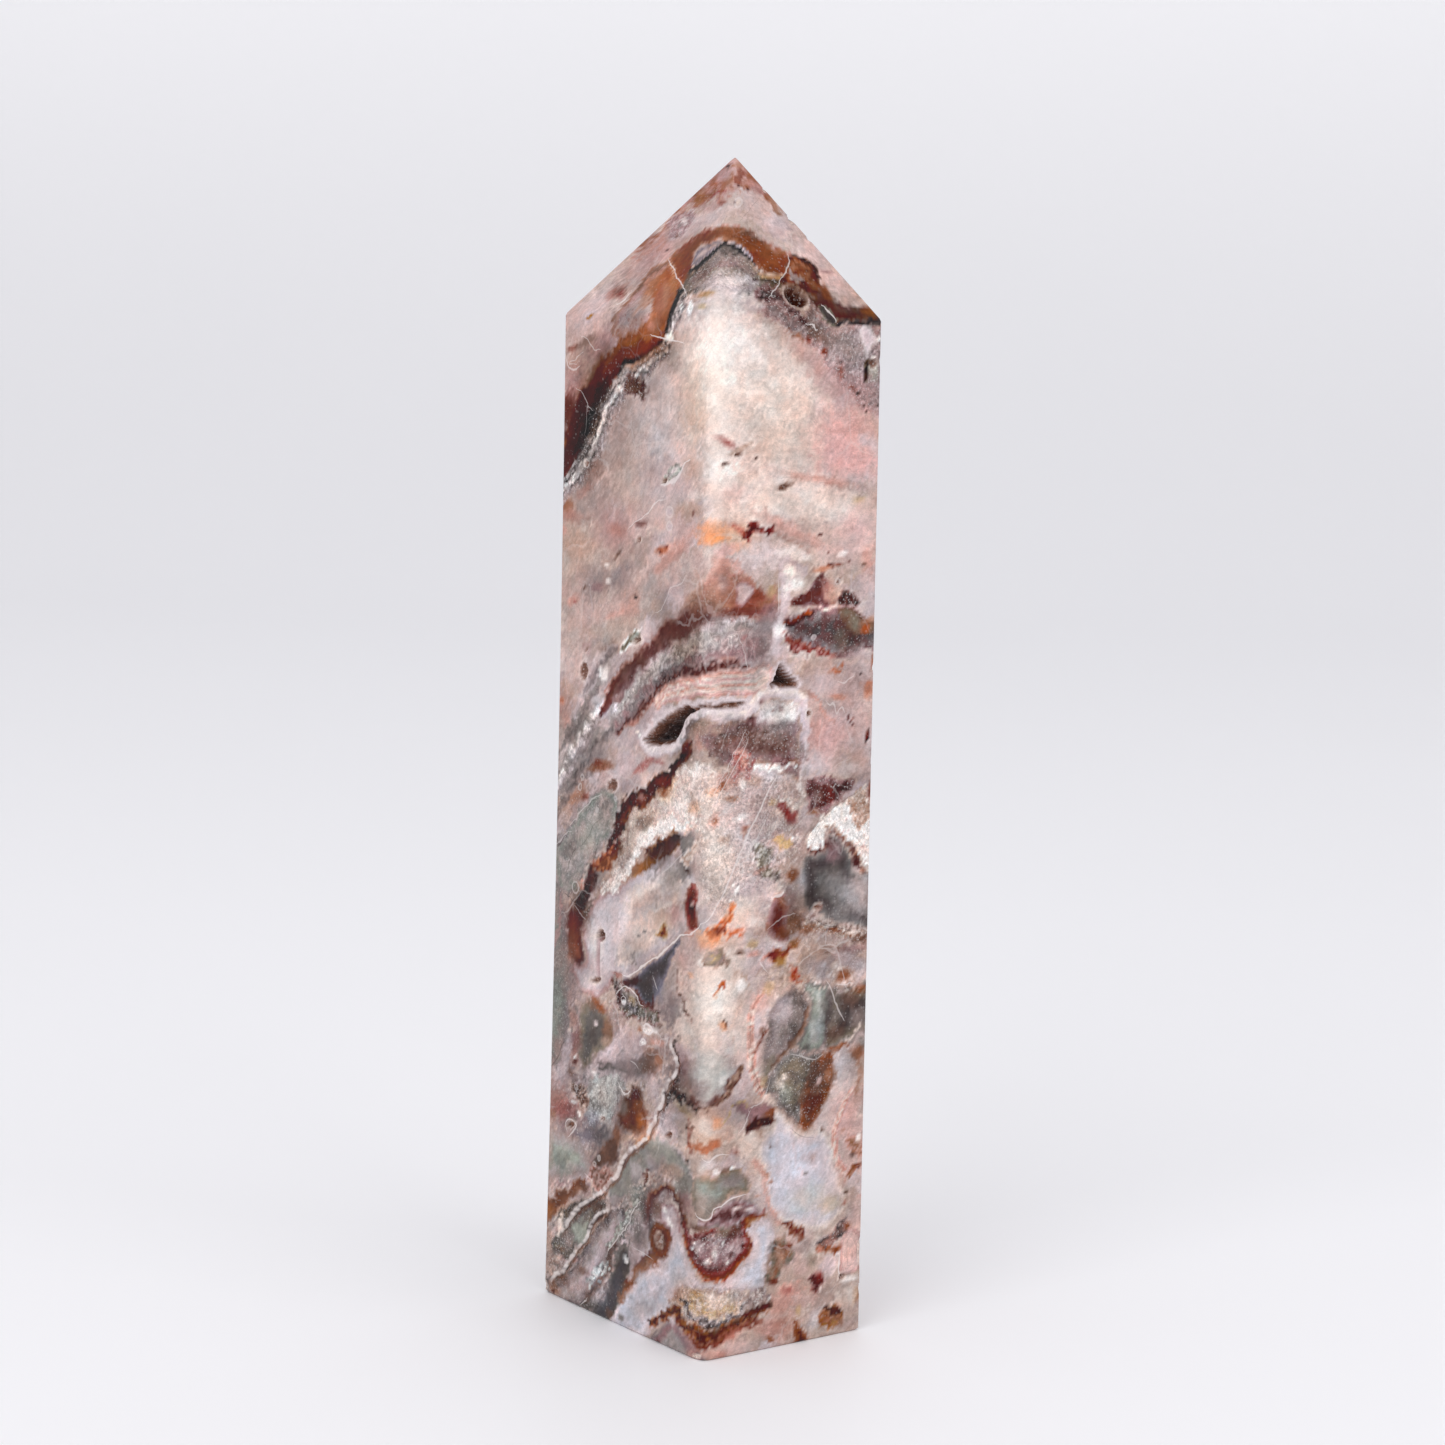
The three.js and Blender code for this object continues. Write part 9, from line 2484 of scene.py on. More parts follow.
CORNERED_CAVITY = Hollow(
    ((11.7, 112.6), (12.8, 113.5), (13.6, 115.6), (14.2, 116.6), (15.2, 115.8), (16.4, 114.5),
     (17.8, 113.4), (18.7, 112.8), (17.8, 112.1), (16.6, 112), (15.4, 112.1), (14.4, 112.2),
     (13.6, 112.3), (12.8, 112.3)),
    depth=4.4, wall=1.4, rim=0.45, inside=CAVITY_COLOURS_AND_SHADE,
)
REAR_CAVITY = Hollow(
    ((52, 84.2), (54.2, 82.8), (57, 83), (60.2, 84.6), (63.4, 86.4), (66.4, 88.6), (68.4, 90),
     (66.4, 89.8), (63.2, 89.2), (59.8, 88.4), (56.6, 87), (54, 85.4)),
    depth=4.6, wall=1.6, rim=0.6, inside=CAVITY_COLOURS_AND_SHADE,
)

# Pits deeper than this get painted shade inside, bark brown for cocoa. Width of the pale rim round each
SHADED_PIT_DEPTH = 2.5
PIT_RIM = 0.25
# Of each pit and chip: across, height, half length, half height, turn in degrees, depth
PITS = (
    (16.2, 176.5, 2.8, 1.35, -24, 3), (-13.5, 186.6, 0.5, 0.4, 0, 0.5),
    (-26.2, 176.7, 0.4, 0.4, 0, 0.6), (-36.1, 147.8, 0.6, 0.6, 0, 0.5),
    (-13, 145.7, 0.7, 0.5, 0, 0.5), (-20.1, 135.8, 0.7, 0.5, 0, 0.5),
    (-20.3, 118.8, 1.0, 0.6, 10, 0.8), (-35.4, 116.2, 0.6, 0.3, 25, 0.5),
    (-36.3, 112.3, 1.3, 1.6, 0, 0.7), (-27.3, 93.4, 1.5, 1.1, 20, 0.8),
    (-30.4, 67, 1.4, 1.0, -8, 1.6), (-31.6, 59.1, 1.5, 0.5, 12, 0.9),
    (-22.3, 41.3, 0.8, 0.4, 0, 0.5), (-9.7, 36.6, 1.0, 0.6, 15, 0.7),
    (-29, 35.2, 0.7, 0.4, 0, 0.5), (-39.2, 32.1, 1.3, 0.6, 25, 0.6),
    (-16, 28, 0.6, 1.0, 0, 0.5), (-12.1, 17.9, 0.9, 1.2, 15, 0.9),
    (33.2, 166, 1.0, 0.8, 0, 0.7), (2.6, 148.9, 0.9, 0.35, 25, 0.5),
    (5.3, 150.7, 0.9, 0.4, 20, 0.6), (8.9, 150, 0.4, 0.35, 0, 0.5),
    (14.6, 145.4, 1.2, 0.6, 20, 0.7), (26.5, 129.7, 0.5, 0.5, 0, 0.4),
    (20.6, 107.6, 0.5, 0.7, 0, 0.5), (23, 74.8, 0.8, 0.5, 10, 0.6),
    (7, 68.7, 0.6, 0.35, 0, 0.5), (29.9, 10.2, 0.6, 0.5, 0, 0.5),
    (44, 148.5, 1.2, 0.7, -20, 0.9), (71, 61, 1.5, 0.9, 15, 1.0),
    (49.5, 41, 0.9, 0.6, 30, 0.7), (60.5, 121, 0.8, 0.6, 0, 0.6),
    (-58, 131, 1.4, 0.8, 20, 1.0), (-66, 72, 1.1, 0.8, -15, 0.8),
    (-72, 108, 0.8, 0.6, 0, 0.6), (-61.5, 28, 1.0, 0.5, 35, 0.7),
)
# Share of the painted highlight in the front edge at each height
EDGE_HIGHLIGHT_SHARES = (
    (0.0, 0.0), (20.0, 0.03), (34.0, 0.08), (50.0, 0.12), (62.0, 0.2), (72.0, 0.1),
    (92.0, 0.16), (103.0, 0.05), (118.0, 0.08), (128.0, 0.16), (133.0, 0.1), (140.0, 0.15),
    (150.0, 0.4), (172.0, 0.4), (182.0, 0.05), (188.0, 0.18), (200.0, 0.25),
)
CHIPS = (
    (13.5, 190, 0.8, 1.0, 0, 0.8), (7.1, 194.8, 0.5, 0.6, 0, 0.5),
    (17.8, 186.7, 0.5, 0.7, 0, 0.4), (35, 166.3, 0.5, 0.8, 0, 0.5),
    (34.7, 114.8, 0.5, 0.7, 0, 0.5), (34.6, 99, 0.4, 0.6, 0, 0.5), (34, 14, 0.6, 3.4, 0, 0.5),
    (34, 7.4, 0.5, 0.9, 0, 0.6), (-1.4, 0.6, 1.3, 0.6, 0, 0.6), (-47.2, 1, 0.9, 0.9, 0, 0.7),
)
CRACK_OPENING = 0.6
CRACK_DEPTH = 0.35
BRANCH_DEPTH = 0.3
# The faint channel that joins two pits
PIT_TAIL = ((-31, 66.4, 0.4), (-31.1, 63, 0.4), (-31, 59.6, 0.3))
CRACK = (
    (-8, 53.4), (-9.2, 52), (-7.5, 49.4), (-8, 46.8), (-9.8, 45.6), (-11, 43.2), (-11.8, 40.8),
    (-13.1, 39.8), (-13.4, 38), (-14.8, 36.4), (-15.6, 34.8), (-18.7, 32.4), (-20.7, 31),
    (-22.6, 29.4), (-24.4, 26.4), (-26.8, 24.2), (-28.8, 22.4), (-31.4, 20.6), (-34.8, 18.4),
    (-38, 16.1), (-40, 14), (-42.4, 11),
)
CRACK_BRANCH = (
    (-25.8, 19.8), (-29.8, 18), (-32.4, 15.3), (-33.8, 12.7), (-36.2, 10.6), (-39.2, 7.4),
    (-41.4, 4.8), (-43.8, 3.8), (-45.2, 1.4),
)


GROUND_CLOUDS = (
    Cloud(LILAC, 30.0, 20.0, 9.0, 131, -0.2, 0.8),
    Cloud(TAUPE, 40.0, 16.0, 6.5, 137, 0.1, 0.6),
    Cloud(PINK, 20.0, 14.0, 7.0, 139, 0.0, 0.6),
    Cloud(GREIGE, 42.0, 11.0, 3.6, 149, 0.35, 0.5),
    Cloud(CREAM, 35.0, 11.0, 3.8, 151, 0.1, 0.6),
)


# How much slower the hidden faces read the chart near their edges, as the share of a sine
FOLD_SWAY = 0.07
# How far off the markings are read at the back edge, across and up, in millimetres
BACK_SLIDE = 5.0
BACK_LIFT = 13.0
# How far the reading swings up in the middle of the left hidden face and down in the right one
LEFT_SWING = 12.0
RIGHT_SWING = 15.0


def fold_chart(across: Array, height: Array, form: TowerForm) -> tuple[Array, Array]:
    """Chart places that the two hidden faces take their markings from. Each hidden face reads the
    chart backwards from the edge that it shares with a seen face, slower near its two edges than
    between them. The reading also swings up or down by half a sine and drifts towards the back
    edge, so the bands run on over every edge with a slant of their own, and neither hidden face
    is a mirror image of a seen one.

    Args:
        across: Chart distances from the front edge, over the whole outside.
        height: Chart heights.
        form: The stone's form, for the widths of its faces.

    Returns:
        The places across and the heights to read markings at.
    """
    wide, narrow = form.widths(height)
    wide, narrow = np.maximum(wide, 0.2), np.maximum(narrow, 0.2)
    right = np.clip((across - narrow) / wide, 0.0, 1.0)
    left = np.clip((-across - wide) / narrow, 0.0, 1.0)
    back_from_right = narrow - wide * (right - FOLD_SWAY * np.sin(2.0 * np.pi * right))
    back_from_left = narrow * (left - FOLD_SWAY * np.sin(2.0 * np.pi * left)) - wide
    folded = np.where(across > narrow, back_from_right, across)
    folded = np.where(across < -wide, back_from_left, folded)
    drift = smoothstep(0.0, 1.0, right) + smoothstep(0.0, 1.0, left)
    swing = LEFT_SWING * np.sin(np.pi * left) - RIGHT_SWING * np.sin(np.pi * right)
    lift = BACK_LIFT * drift + swing
    room = smoothstep(200.0, 168.0, height)
    return folded - BACK_SLIDE * drift * room, height + lift * room * smoothstep(0.0, 26.0, height)


def paint_stone(across: Array, height: Array, places: Array) -> Canvas:
    """Paints the whole stone: colour first, in folded coordinates, then the relief where it is.

    Args:
        across: Chart distances from the front edge.
        height: Chart heights.
        places: The same points in space, in millimetres.

    Returns:
        The painted canvas.
    """
    folded, lifted = fold_chart(across, height, TowerForm())
    canvas = Canvas(folded, lifted, places, BEIGE)
    canvas.clouds(GROUND_CLOUDS)
    for marks in (*ALL_MARKS, TONE_AND_SHADE_OVALS):
        canvas.draw(marks)
    canvas.marble()
    canvas.across, canvas.height = across, height
    # Painted highlight along the rounded front edge
    canvas.paint_edge_highlight()
    canvas.relief()
    return canvas


# Node helper and shader groups

# Light that the polish mirrors, and how bright the studio shows a white stone, in linear light
POLISH_VEIL = np.array([0.0165, 0.0215, 0.0235])
STUDIO_GAIN = np.array([0.955, 1.012, 1.042])
# Sockets of the mix node for its share and its two colours, and for the mixed colour
MIX_INPUTS = (0, 6, 7)
MIX_OUTPUT = 2


def linear(shade: Array) -> Array:
    """Linear light of sRGB shares: the standard curve, a power of 2.4 with a straight toe."""
    return np.where(shade <= 0.04045, shade / 12.92, ((shade + 0.055) / 1.055) ** 2.4)


def under_polish(shade: Array) -> Array:
    """Stone's own colour beneath its polish, in linear light: the light that the polish mirrors is
    taken off the colour as seen, and the rest is divided by the studio's brightness."""
    return np.clip((linear(shade) - POLISH_VEIL) / STUDIO_GAIN, 0.004, 0.95)


class NodeBoard:
    """Adds nodes to one node tree and joins them, each call giving back an output socket."""

    def __init__(self, tree: bpy.types.NodeTree) -> None:
        """Starts on an empty tree."""
        self.tree = tree
        self.tree.nodes.clear()

    def add(self, kind: str, settings: dict | None = None, **inputs: object) -> bpy.types.Node:
        """Adds a node.

        Args:
            kind: Blender's name for the node type.
            settings: Values for the node's own options.
            **inputs: Sockets or values by input name, with _ for a space.

        Returns:
            The new node.
        """
        node = self.tree.nodes.new(kind)
        node.location = (40 * len(self.tree.nodes), 0)
        for name, value in (settings or {}).items():
            setattr(node, name, value)
        for name, value in inputs.items():
            self.feed(node.inputs[name.replace("_", " ")], value)
        return node

    def feed(self, target: bpy.types.NodeSocket, value: object) -> None:
        """Links a socket into an input, or sets the input's own value."""
        if isinstance(value, bpy.types.NodeSocket):
            self.tree.links.new(value, target)
        else:
            target.default_value = value

    def math(self, operation: str, *values: object, clamp: bool = False) -> bpy.types.NodeSocket:
        """Result of one arithmetic step on sockets or numbers."""
        node = self.add("ShaderNodeMath", {"operation": operation, "use_clamp": clamp})
        for target, value in zip(node.inputs, values):
            self.feed(target, value)
        return node.outputs[0]

    def ramp(
        self, value: object, low: float, high: float, bottom: float = 0.0, top: float = 1.0
    ) -> bpy.types.NodeSocket:
        """Smooth map of a value from the range low to high onto bottom to top."""
        node = self.add(
            "ShaderNodeMapRange", {"interpolation_type": "SMOOTHSTEP"}, Value=value,
            From_Min=low, From_Max=high, To_Min=bottom, To_Max=top,
        )
        return node.outputs["Result"]

    def blend(
        self, share: object, first: object, second: object, mode: str = "MIX"
    ) -> bpy.types.NodeSocket:
        """Colour mix of two colours by a share, through the mix node's colour sockets."""
        node = self.add("ShaderNodeMix", {"data_type": "RGBA", "blend_type": mode})
        for socket, value in zip(MIX_INPUTS, (share, first, second)):
            self.feed(node.inputs[socket], value)
        return node.outputs[MIX_OUTPUT]

    def group(self, tree: bpy.types.NodeTree, **inputs: object) -> bpy.types.Node:
        """Places a shader group and feeds its inputs."""
        return self.add("ShaderNodeGroup", {"node_tree": tree}, **inputs)


class Sort(Enum):
    """Socket types of the shader groups."""

    VECTOR = "NodeSocketVector"
    VALUE = "NodeSocketFloat"


@dataclass(frozen=True)
class ShaderGroup:
    """A shader group with named sockets. Subclasses draw what lies between them."""

    name: str
    takes: tuple[tuple[str, Sort], ...]
    gives: tuple[tuple[str, Sort], ...]

    def start(self) -> tuple[NodeBoard, bpy.types.Node, bpy.types.Node]:
        """Makes the group with its sockets.

        Returns:
            The board, the node with the group's inputs and the node with its outputs.
        """
        tree = bpy.data.node_groups.new(self.name, "ShaderNodeTree")
        for socket, sort in self.takes:
            tree.interface.new_socket(name=socket, in_out="INPUT", socket_type=sort.value)
        for socket, sort in self.gives:
            tree.interface.new_socket(name=socket, in_out="OUTPUT", socket_type=sort.value)
        board = NodeBoard(tree)
        return board, board.add("NodeGroupInput"), board.add("NodeGroupOutput")


@dataclass(frozen=True)
class QuartzSugar(ShaderGroup):
    """Packed quartz grains: each Voronoi cell has its own brightness, and a few flash with a painted
    glint.
    """

    name: str = "quartz_sugar"
    takes: tuple = (("Place", Sort.VECTOR), ("Cells per metre", Sort.VALUE))
    gives: tuple = (("Tone", Sort.VALUE), ("Flash", Sort.VALUE), ("Height", Sort.VALUE))

    def build(self) -> bpy.types.NodeTree:
        """Draws the group: tone is the cell's random value, flash its topmost part, and height
        falls away from the cell's middle.

        Returns:
            The group's tree.
        """
        board, given, result = self.start()
        cells = board.add(
            "ShaderNodeTexVoronoi", {"voronoi_dimensions": "3D", "feature": "F1"},
            Vector=given.outputs["Place"], Scale=given.outputs["Cells per metre"],
        )
        parts = board.add("ShaderNodeSeparateColor", Color=cells.outputs["Color"])
        board.feed(result.inputs["Tone"], parts.outputs[0])
        board.feed(result.inputs["Flash"], board.ramp(parts.outputs[1], 0.86, 0.97))
        height = board.math("SUBTRACT", parts.outputs[0], cells.outputs["Distance"])
        board.feed(result.inputs["Height"], height)
        return board.tree


@dataclass(frozen=True)
class RustSpecks(ShaderGroup):
    """Round rust spots, each in its own Voronoi cell, with its own size."""

    name: str = "rust_specks"
    takes: tuple = (("Place", Sort.VECTOR), ("Cells per metre", Sort.VALUE))
    gives: tuple = (("Mask", Sort.VALUE),)

    def build(self) -> bpy.types.NodeTree:
        """Draws the group: the mask is where the distance to the cell's point is less than a
        share of that cell's random value.

        Returns:
            The group's tree.
        """
        board, given, result = self.start()
        cells = board.add(
            "ShaderNodeTexVoronoi", {"voronoi_dimensions": "3D", "feature": "F1"},
            Vector=given.outputs["Place"], Scale=given.outputs["Cells per metre"],
        )
        parts = board.add("ShaderNodeSeparateColor", Color=cells.outputs["Color"])
        reach = board.math("MULTIPLY_ADD", parts.outputs[2], 0.62, -0.16)
        inside = board.math("SUBTRACT", reach, cells.outputs["Distance"])
        board.feed(result.inputs["Mask"], board.ramp(inside, -0.03, 0.06))
        return board.tree


@dataclass(frozen=True)
class Crazing(ShaderGroup):
    """A broken net of healed cracks: the walls between warped Voronoi cells."""

    name: str = "crazing"
    takes: tuple = (("Place", Sort.VECTOR), ("Cells per metre", Sort.VALUE), ("Half width", Sort.VALUE))
    gives: tuple = (("Mask", Sort.VALUE),)
    drift: float = 0.0032

    def build(self) -> bpy.types.NodeTree:
        """Draws the group: the mask is where the distance to the nearest cell wall, in metres, is
        less than the half width, and only where a slow noise is high.

        Returns:
            The group's tree.
        """
        board, given, result = self.start()
        place = given.outputs["Place"]
        bend = board.add("ShaderNodeTexNoise", Vector=place, Scale=230.0, Detail=3.0)
        shifted = board.add("ShaderNodeVectorMath", {"operation": "MULTIPLY_ADD"})
        board.feed(shifted.inputs[0], bend.outputs["Color"])
        board.feed(shifted.inputs[1], (self.drift, self.drift, self.drift))
        board.feed(shifted.inputs[2], place)
        cells = board.add(
            "ShaderNodeTexVoronoi", {"voronoi_dimensions": "3D", "feature": "DISTANCE_TO_EDGE"},
            Vector=shifted.outputs[0], Scale=given.outputs["Cells per metre"],
        )
        away = board.math("DIVIDE", cells.outputs["Distance"], given.outputs["Cells per metre"])
        away = board.math("DIVIDE", away, given.outputs["Half width"])
        slow = board.add("ShaderNodeTexNoise", Vector=shifted.outputs[0], Scale=75.0, Detail=2.0)
        held = board.ramp(slow.outputs["Fac"], 0.54, 0.62)
        board.feed(result.inputs["Mask"], board.math("MULTIPLY", board.ramp(away, 1.6, 0.5), held))
        return board.tree


@dataclass(frozen=True)
class GrowthLines(ShaderGroup):
    """Fine streaks and contour lines along the way the agate grew: steep on the wide face, nearly
    level on the narrow one."""

    name: str = "growth_lines"
    takes: tuple = (("Place", Sort.VECTOR), ("Streaks per metre", Sort.VALUE))
    gives: tuple = (("Streak", Sort.VALUE), ("Line", Sort.VALUE))
    over: tuple[float, float, float] = (0.14, 0.6, 0.8)
    along: tuple[float, float, float] = (0.25, -0.2, 0.15)

    def build(self) -> bpy.types.NodeTree:
        """Draws the group: a noise read at two lengths of the place, one over the streaks and one
        along them, squeezed. The lines are where that noise is close to its middle.

        Returns:
            The group's tree.
        """
        board, given, result = self.start()
        place = given.outputs["Place"]
        bend = board.add("ShaderNodeTexNoise", Vector=place, Scale=170.0, Detail=3.0).outputs["Fac"]
        lengths = []
        for direction in (self.over, self.along):
            dot = board.add("ShaderNodeVectorMath", {"operation": "DOT_PRODUCT"})
            board.feed(dot.inputs[0], place)
            board.feed(dot.inputs[1], direction)
            scaled = board.math("MULTIPLY", dot.outputs["Value"], given.outputs["Streaks per metre"])
            lengths.append(board.math("MULTIPLY_ADD", bend, 3.2, scaled))
        spot = board.add("ShaderNodeCombineXYZ", X=lengths[0], Y=lengths[1])
        noise = board.add(
            "ShaderNodeTexNoise", {"noise_dimensions": "2D"}, Vector=spot.outputs[0], Scale=1.0,
            Detail=3.0,
        ).outputs["Fac"]
        board.feed(result.inputs["Streak"], board.ramp(noise, 0.34, 0.66))
        away = board.math("ABSOLUTE", board.math("SUBTRACT", noise, 0.5))
        board.feed(result.inputs["Line"], board.ramp(away, 0.022, 0.004))
        return board.tree


@dataclass(frozen=True)
class ThinLine(ShaderGroup):
    """A crisp line drawn from a scaled distance: inside where it is less than a tenth."""

    name: str = "thin_line"
    takes: tuple = (("Distance", Sort.VALUE), ("Strength", Sort.VALUE), ("Ragged", Sort.VALUE))
    gives: tuple = (("Mask", Sort.VALUE),)

    def build(self) -> bpy.types.NodeTree:
        """Draws the group: the mask falls from 1 to 0 as the distance, made ragged by a noise,
        passes a tenth.

        Returns:
            The group's tree.
        """
        board, given, result = self.start()
        away = board.math("ABSOLUTE", given.outputs["Distance"])
        away = board.math("ADD", away, given.outputs["Ragged"])
        mask = board.ramp(away, 0.15, 0.05)
        mask = board.math("MULTIPLY", mask, given.outputs["Strength"])
        board.feed(result.inputs["Mask"], mask)
        return board.tree


@dataclass(frozen=True)
class Fibres(ShaderGroup):
    """Silky fibres across a band, and fine agate lines along it."""

    name: str = "silk_and_lines"
    takes: tuple = (("Course", Sort.VALUE), ("Along", Sort.VALUE), ("Cloud", Sort.VALUE))
    gives: tuple = (("Silk", Sort.VALUE), ("Lines", Sort.VALUE))

    def build(self) -> bpy.types.NodeTree:
        """Draws the group: silk is a noise squeezed along the band, and lines are a noise
        squeezed across it, both in millimetres of the band's own two lengths.

        Returns:
            The group's tree.
        """
        board, given, result = self.start()
        for name, across, along in (("Silk", 0.35, 2.6), ("Lines", 2.4, 0.12)):
            first = board.math("MULTIPLY_ADD", given.outputs["Course"], across, given.outputs["Cloud"])
            second = board.math("MULTIPLY", given.outputs["Along"], along)
            place = board.add("ShaderNodeCombineXYZ", X=first, Y=second)
            noise = board.add(
                "ShaderNodeTexNoise", {"noise_dimensions": "2D"}, Vector=place.outputs[0],
                Scale=1.0, Detail=2.0,
            )
            board.feed(result.inputs[name], board.ramp(noise.outputs["Fac"], 0.32, 0.68))
        return board.tree


# Tints of the finish, in linear light
# Pale tint of the painted glint on a few quartz grains
PAINTED_GLINT_TINT = (0.9, 0.86, 0.85, 1.0)
HEALED_TINT = (0.76, 0.68, 0.66, 1.0)
SPARK_TINT = (0.8, 0.74, 0.72, 1.0)
SUNK_TINT = (0.1, 0.05, 0.04, 1.0)
RUST_TINT = (0.2, 0.045, 0.022, 1.0)
DARK_LINE_TINT = (0.03, 0.014, 0.01, 1.0)
WHITE_LINE_TINT = (0.84, 0.76, 0.74, 1.0)


@dataclass(frozen=True)
class PolishedAgate:
    """The stone's finish: painted bands with quartz grains, fibres, specks and crisp veins under
    a polish, rough only where hollows and seams of crystal lie open."""

    polish: float = 0.16
    refraction: float = 1.54
    mirror: float = 0.12
    bump_distance: float = 0.0004
    bump_strength: float = 0.7
    cloud_scale: float = 900.0
    slow_scale: float = 120.0
    wave_scale: float = 140.0
    long_cracks: tuple[float, float] = (95.0, 0.00014)
    short_cracks: tuple[float, float] = (260.0, 0.0001)
    grain_cells: float = 2100.0
    fine_cells: float = 4300.0
    speck_cells: float = 1150.0
    spark_cells: float = 1800.0
    cloud_depth: float = 0.26
    grain_depth: float = 0.42
    fine_depth: float = 0.34
    growth: tuple[tuple[float, float], ...] = ((480.0, 0.26), (1200.0, 0.22))
    dark_line: float = 0.85
    white_line: float = 0.68

    def build(self) -> bpy.types.Material:
        """Draws the material's nodes.

        Returns:
            The new material.
        """
        material = bpy.data.materials.new("polished_agate_dressed")
        material.use_nodes = True
        board = NodeBoard(material.node_tree)
        place = board.add("ShaderNodeTexCoord").outputs["Object"]
        paint_node = board.add("ShaderNodeAttribute", {"attribute_name": "paint"})
        paint, sparks = paint_node.outputs["Color"], paint_node.outputs["Alpha"]
        grain_node = board.add("ShaderNodeAttribute", {"attribute_name": "grain"})
        grain = board.add("ShaderNodeSeparateColor", Color=grain_node.outputs["Color"])
        sugar, silk, specks = grain.outputs[0], grain.outputs[1], grain.outputs[2]
        course_node = board.add("ShaderNodeAttribute", {"attribute_name": "course"})
        course = board.add("ShaderNodeSeparateColor", Color=course_node.outputs["Color"])
        rough, crazing = course.outputs[2], course_node.outputs["Alpha"]
        veins_node = board.add("ShaderNodeAttribute", {"attribute_name": "veins"})
        veins = board.add("ShaderNodeSeparateColor", Color=veins_node.outputs["Color"])
        cloud = self.noise(board, place, self.cloud_scale, 3.0)
        ragged = board.math("MULTIPLY_ADD", cloud, 0.12, -0.06)

        sugar_tree = QuartzSugar().build()
        grains = board.group(sugar_tree, Place=place, Cells_per_metre=self.grain_cells)
        fine = board.group(sugar_tree, Place=place, Cells_per_metre=self.fine_cells)
        fibres = board.group(
            Fibres().build(), Course=course.outputs[0], Along=course.outputs[1], Cloud=cloud
        )
        spot_tree = RustSpecks().build()
        spots = board.group(spot_tree, Place=place, Cells_per_metre=self.speck_cells)
        stars = board.group(spot_tree, Place=place, Cells_per_metre=self.spark_cells)
        slow = self.noise(board, place, self.slow_scale, 3.0)
        crazing_tree = Crazing().build()
        long_cracks, short_cracks = (
            board.group(crazing_tree, Place=place, Cells_per_metre=cells, Half_width=half)
            for cells, half in (self.long_cracks, self.short_cracks)
        )
        line_tree = ThinLine().build()
        white = board.group(
            line_tree, Distance=veins.outputs[0], Strength=veins.outputs[1], Ragged=ragged
        )
        dark = board.group(
            line_tree, Distance=veins.outputs[2], Strength=veins_node.outputs["Alpha"], Ragged=ragged
        )

        colour = board.blend(1.0, paint, self.shading(board, cloud, self.cloud_depth), "MULTIPLY")
        growth_tree = GrowthLines().build()
        for streaks, depth in self.growth:
            growth = board.group(growth_tree, Place=place, Streaks_per_metre=streaks)
            amount = board.math("MULTIPLY", crazing, depth)
            dip = board.math("MULTIPLY", board.math("SUBTRACT", growth.outputs["Streak"], 0.5), amount)
            dip = board.math("SUBTRACT", dip, board.math("MULTIPLY", growth.outputs["Line"], amount))
            tone = self.grey(board, board.math("ADD", dip, 1.0))
            colour = board.blend(1.0, colour, tone, "MULTIPLY")
        tone = self.shading(board, grains.outputs["Tone"], self.grain_depth)
        colour = board.blend(sugar, colour, board.blend(1.0, colour, tone, "MULTIPLY"))
        tone = self.shading(board, fine.outputs["Tone"], self.fine_depth)
        share = board.math("MULTIPLY_ADD", sugar, 0.5, 0.5)
        colour = board.blend(share, colour, board.blend(1.0, colour, tone, "MULTIPLY"))
        # A few quartz grains get a painted glint
        flash = board.math("MULTIPLY", fine.outputs["Flash"], board.math("MULTIPLY", sugar, 0.3))
        colour = board.blend(flash, colour, PAINTED_GLINT_TINT)
        streak = self.grey(board, board.math("MULTIPLY_ADD", fibres.outputs["Silk"], 0.5, 0.78))
        colour = board.blend(silk, colour, board.blend(1.0, colour, streak, "MULTIPLY"))
        streak = self.grey(board, board.math("MULTIPLY_ADD", fibres.outputs["Lines"], 0.45, 0.8))
        lines = grain_node.outputs["Alpha"]
        colour = board.blend(lines, colour, board.blend(1.0, colour, streak, "MULTIPLY"))
        cracked = board.math(
            "MULTIPLY_ADD", short_cracks.outputs["Mask"], 0.35, long_cracks.outputs["Mask"], clamp=True
        )
        cracked = board.math("MULTIPLY", cracked, board.math("MULTIPLY", crazing, 0.5))
        colour = board.blend(cracked, colour, HEALED_TINT)
        shown = board.math("MULTIPLY", stars.outputs["Mask"], board.ramp(slow, 0.46, 0.62))
        shown = board.math("MULTIPLY", shown, board.math("MULTIPLY", sparks, 0.7))
        colour = board.blend(shown, colour, SPARK_TINT)
        sunk = board.math("MULTIPLY", stars.outputs["Mask"], board.ramp(slow, 0.42, 0.3))
        sunk = board.math("MULTIPLY", sunk, board.math("MULTIPLY", sparks, 0.5))
        colour = board.blend(sunk, colour, SUNK_TINT)
        rust = board.math("MULTIPLY", spots.outputs["Mask"], specks)
        colour = board.blend(board.math("MULTIPLY", rust, 0.75), colour, RUST_TINT)
        shown = board.math("MULTIPLY", dark.outputs["Mask"], self.dark_line)
        colour = board.blend(shown, colour, DARK_LINE_TINT)
        shown = board.math("MULTIPLY", white.outputs["Mask"], self.white_line)
        colour = board.blend(shown, colour, WHITE_LINE_TINT)

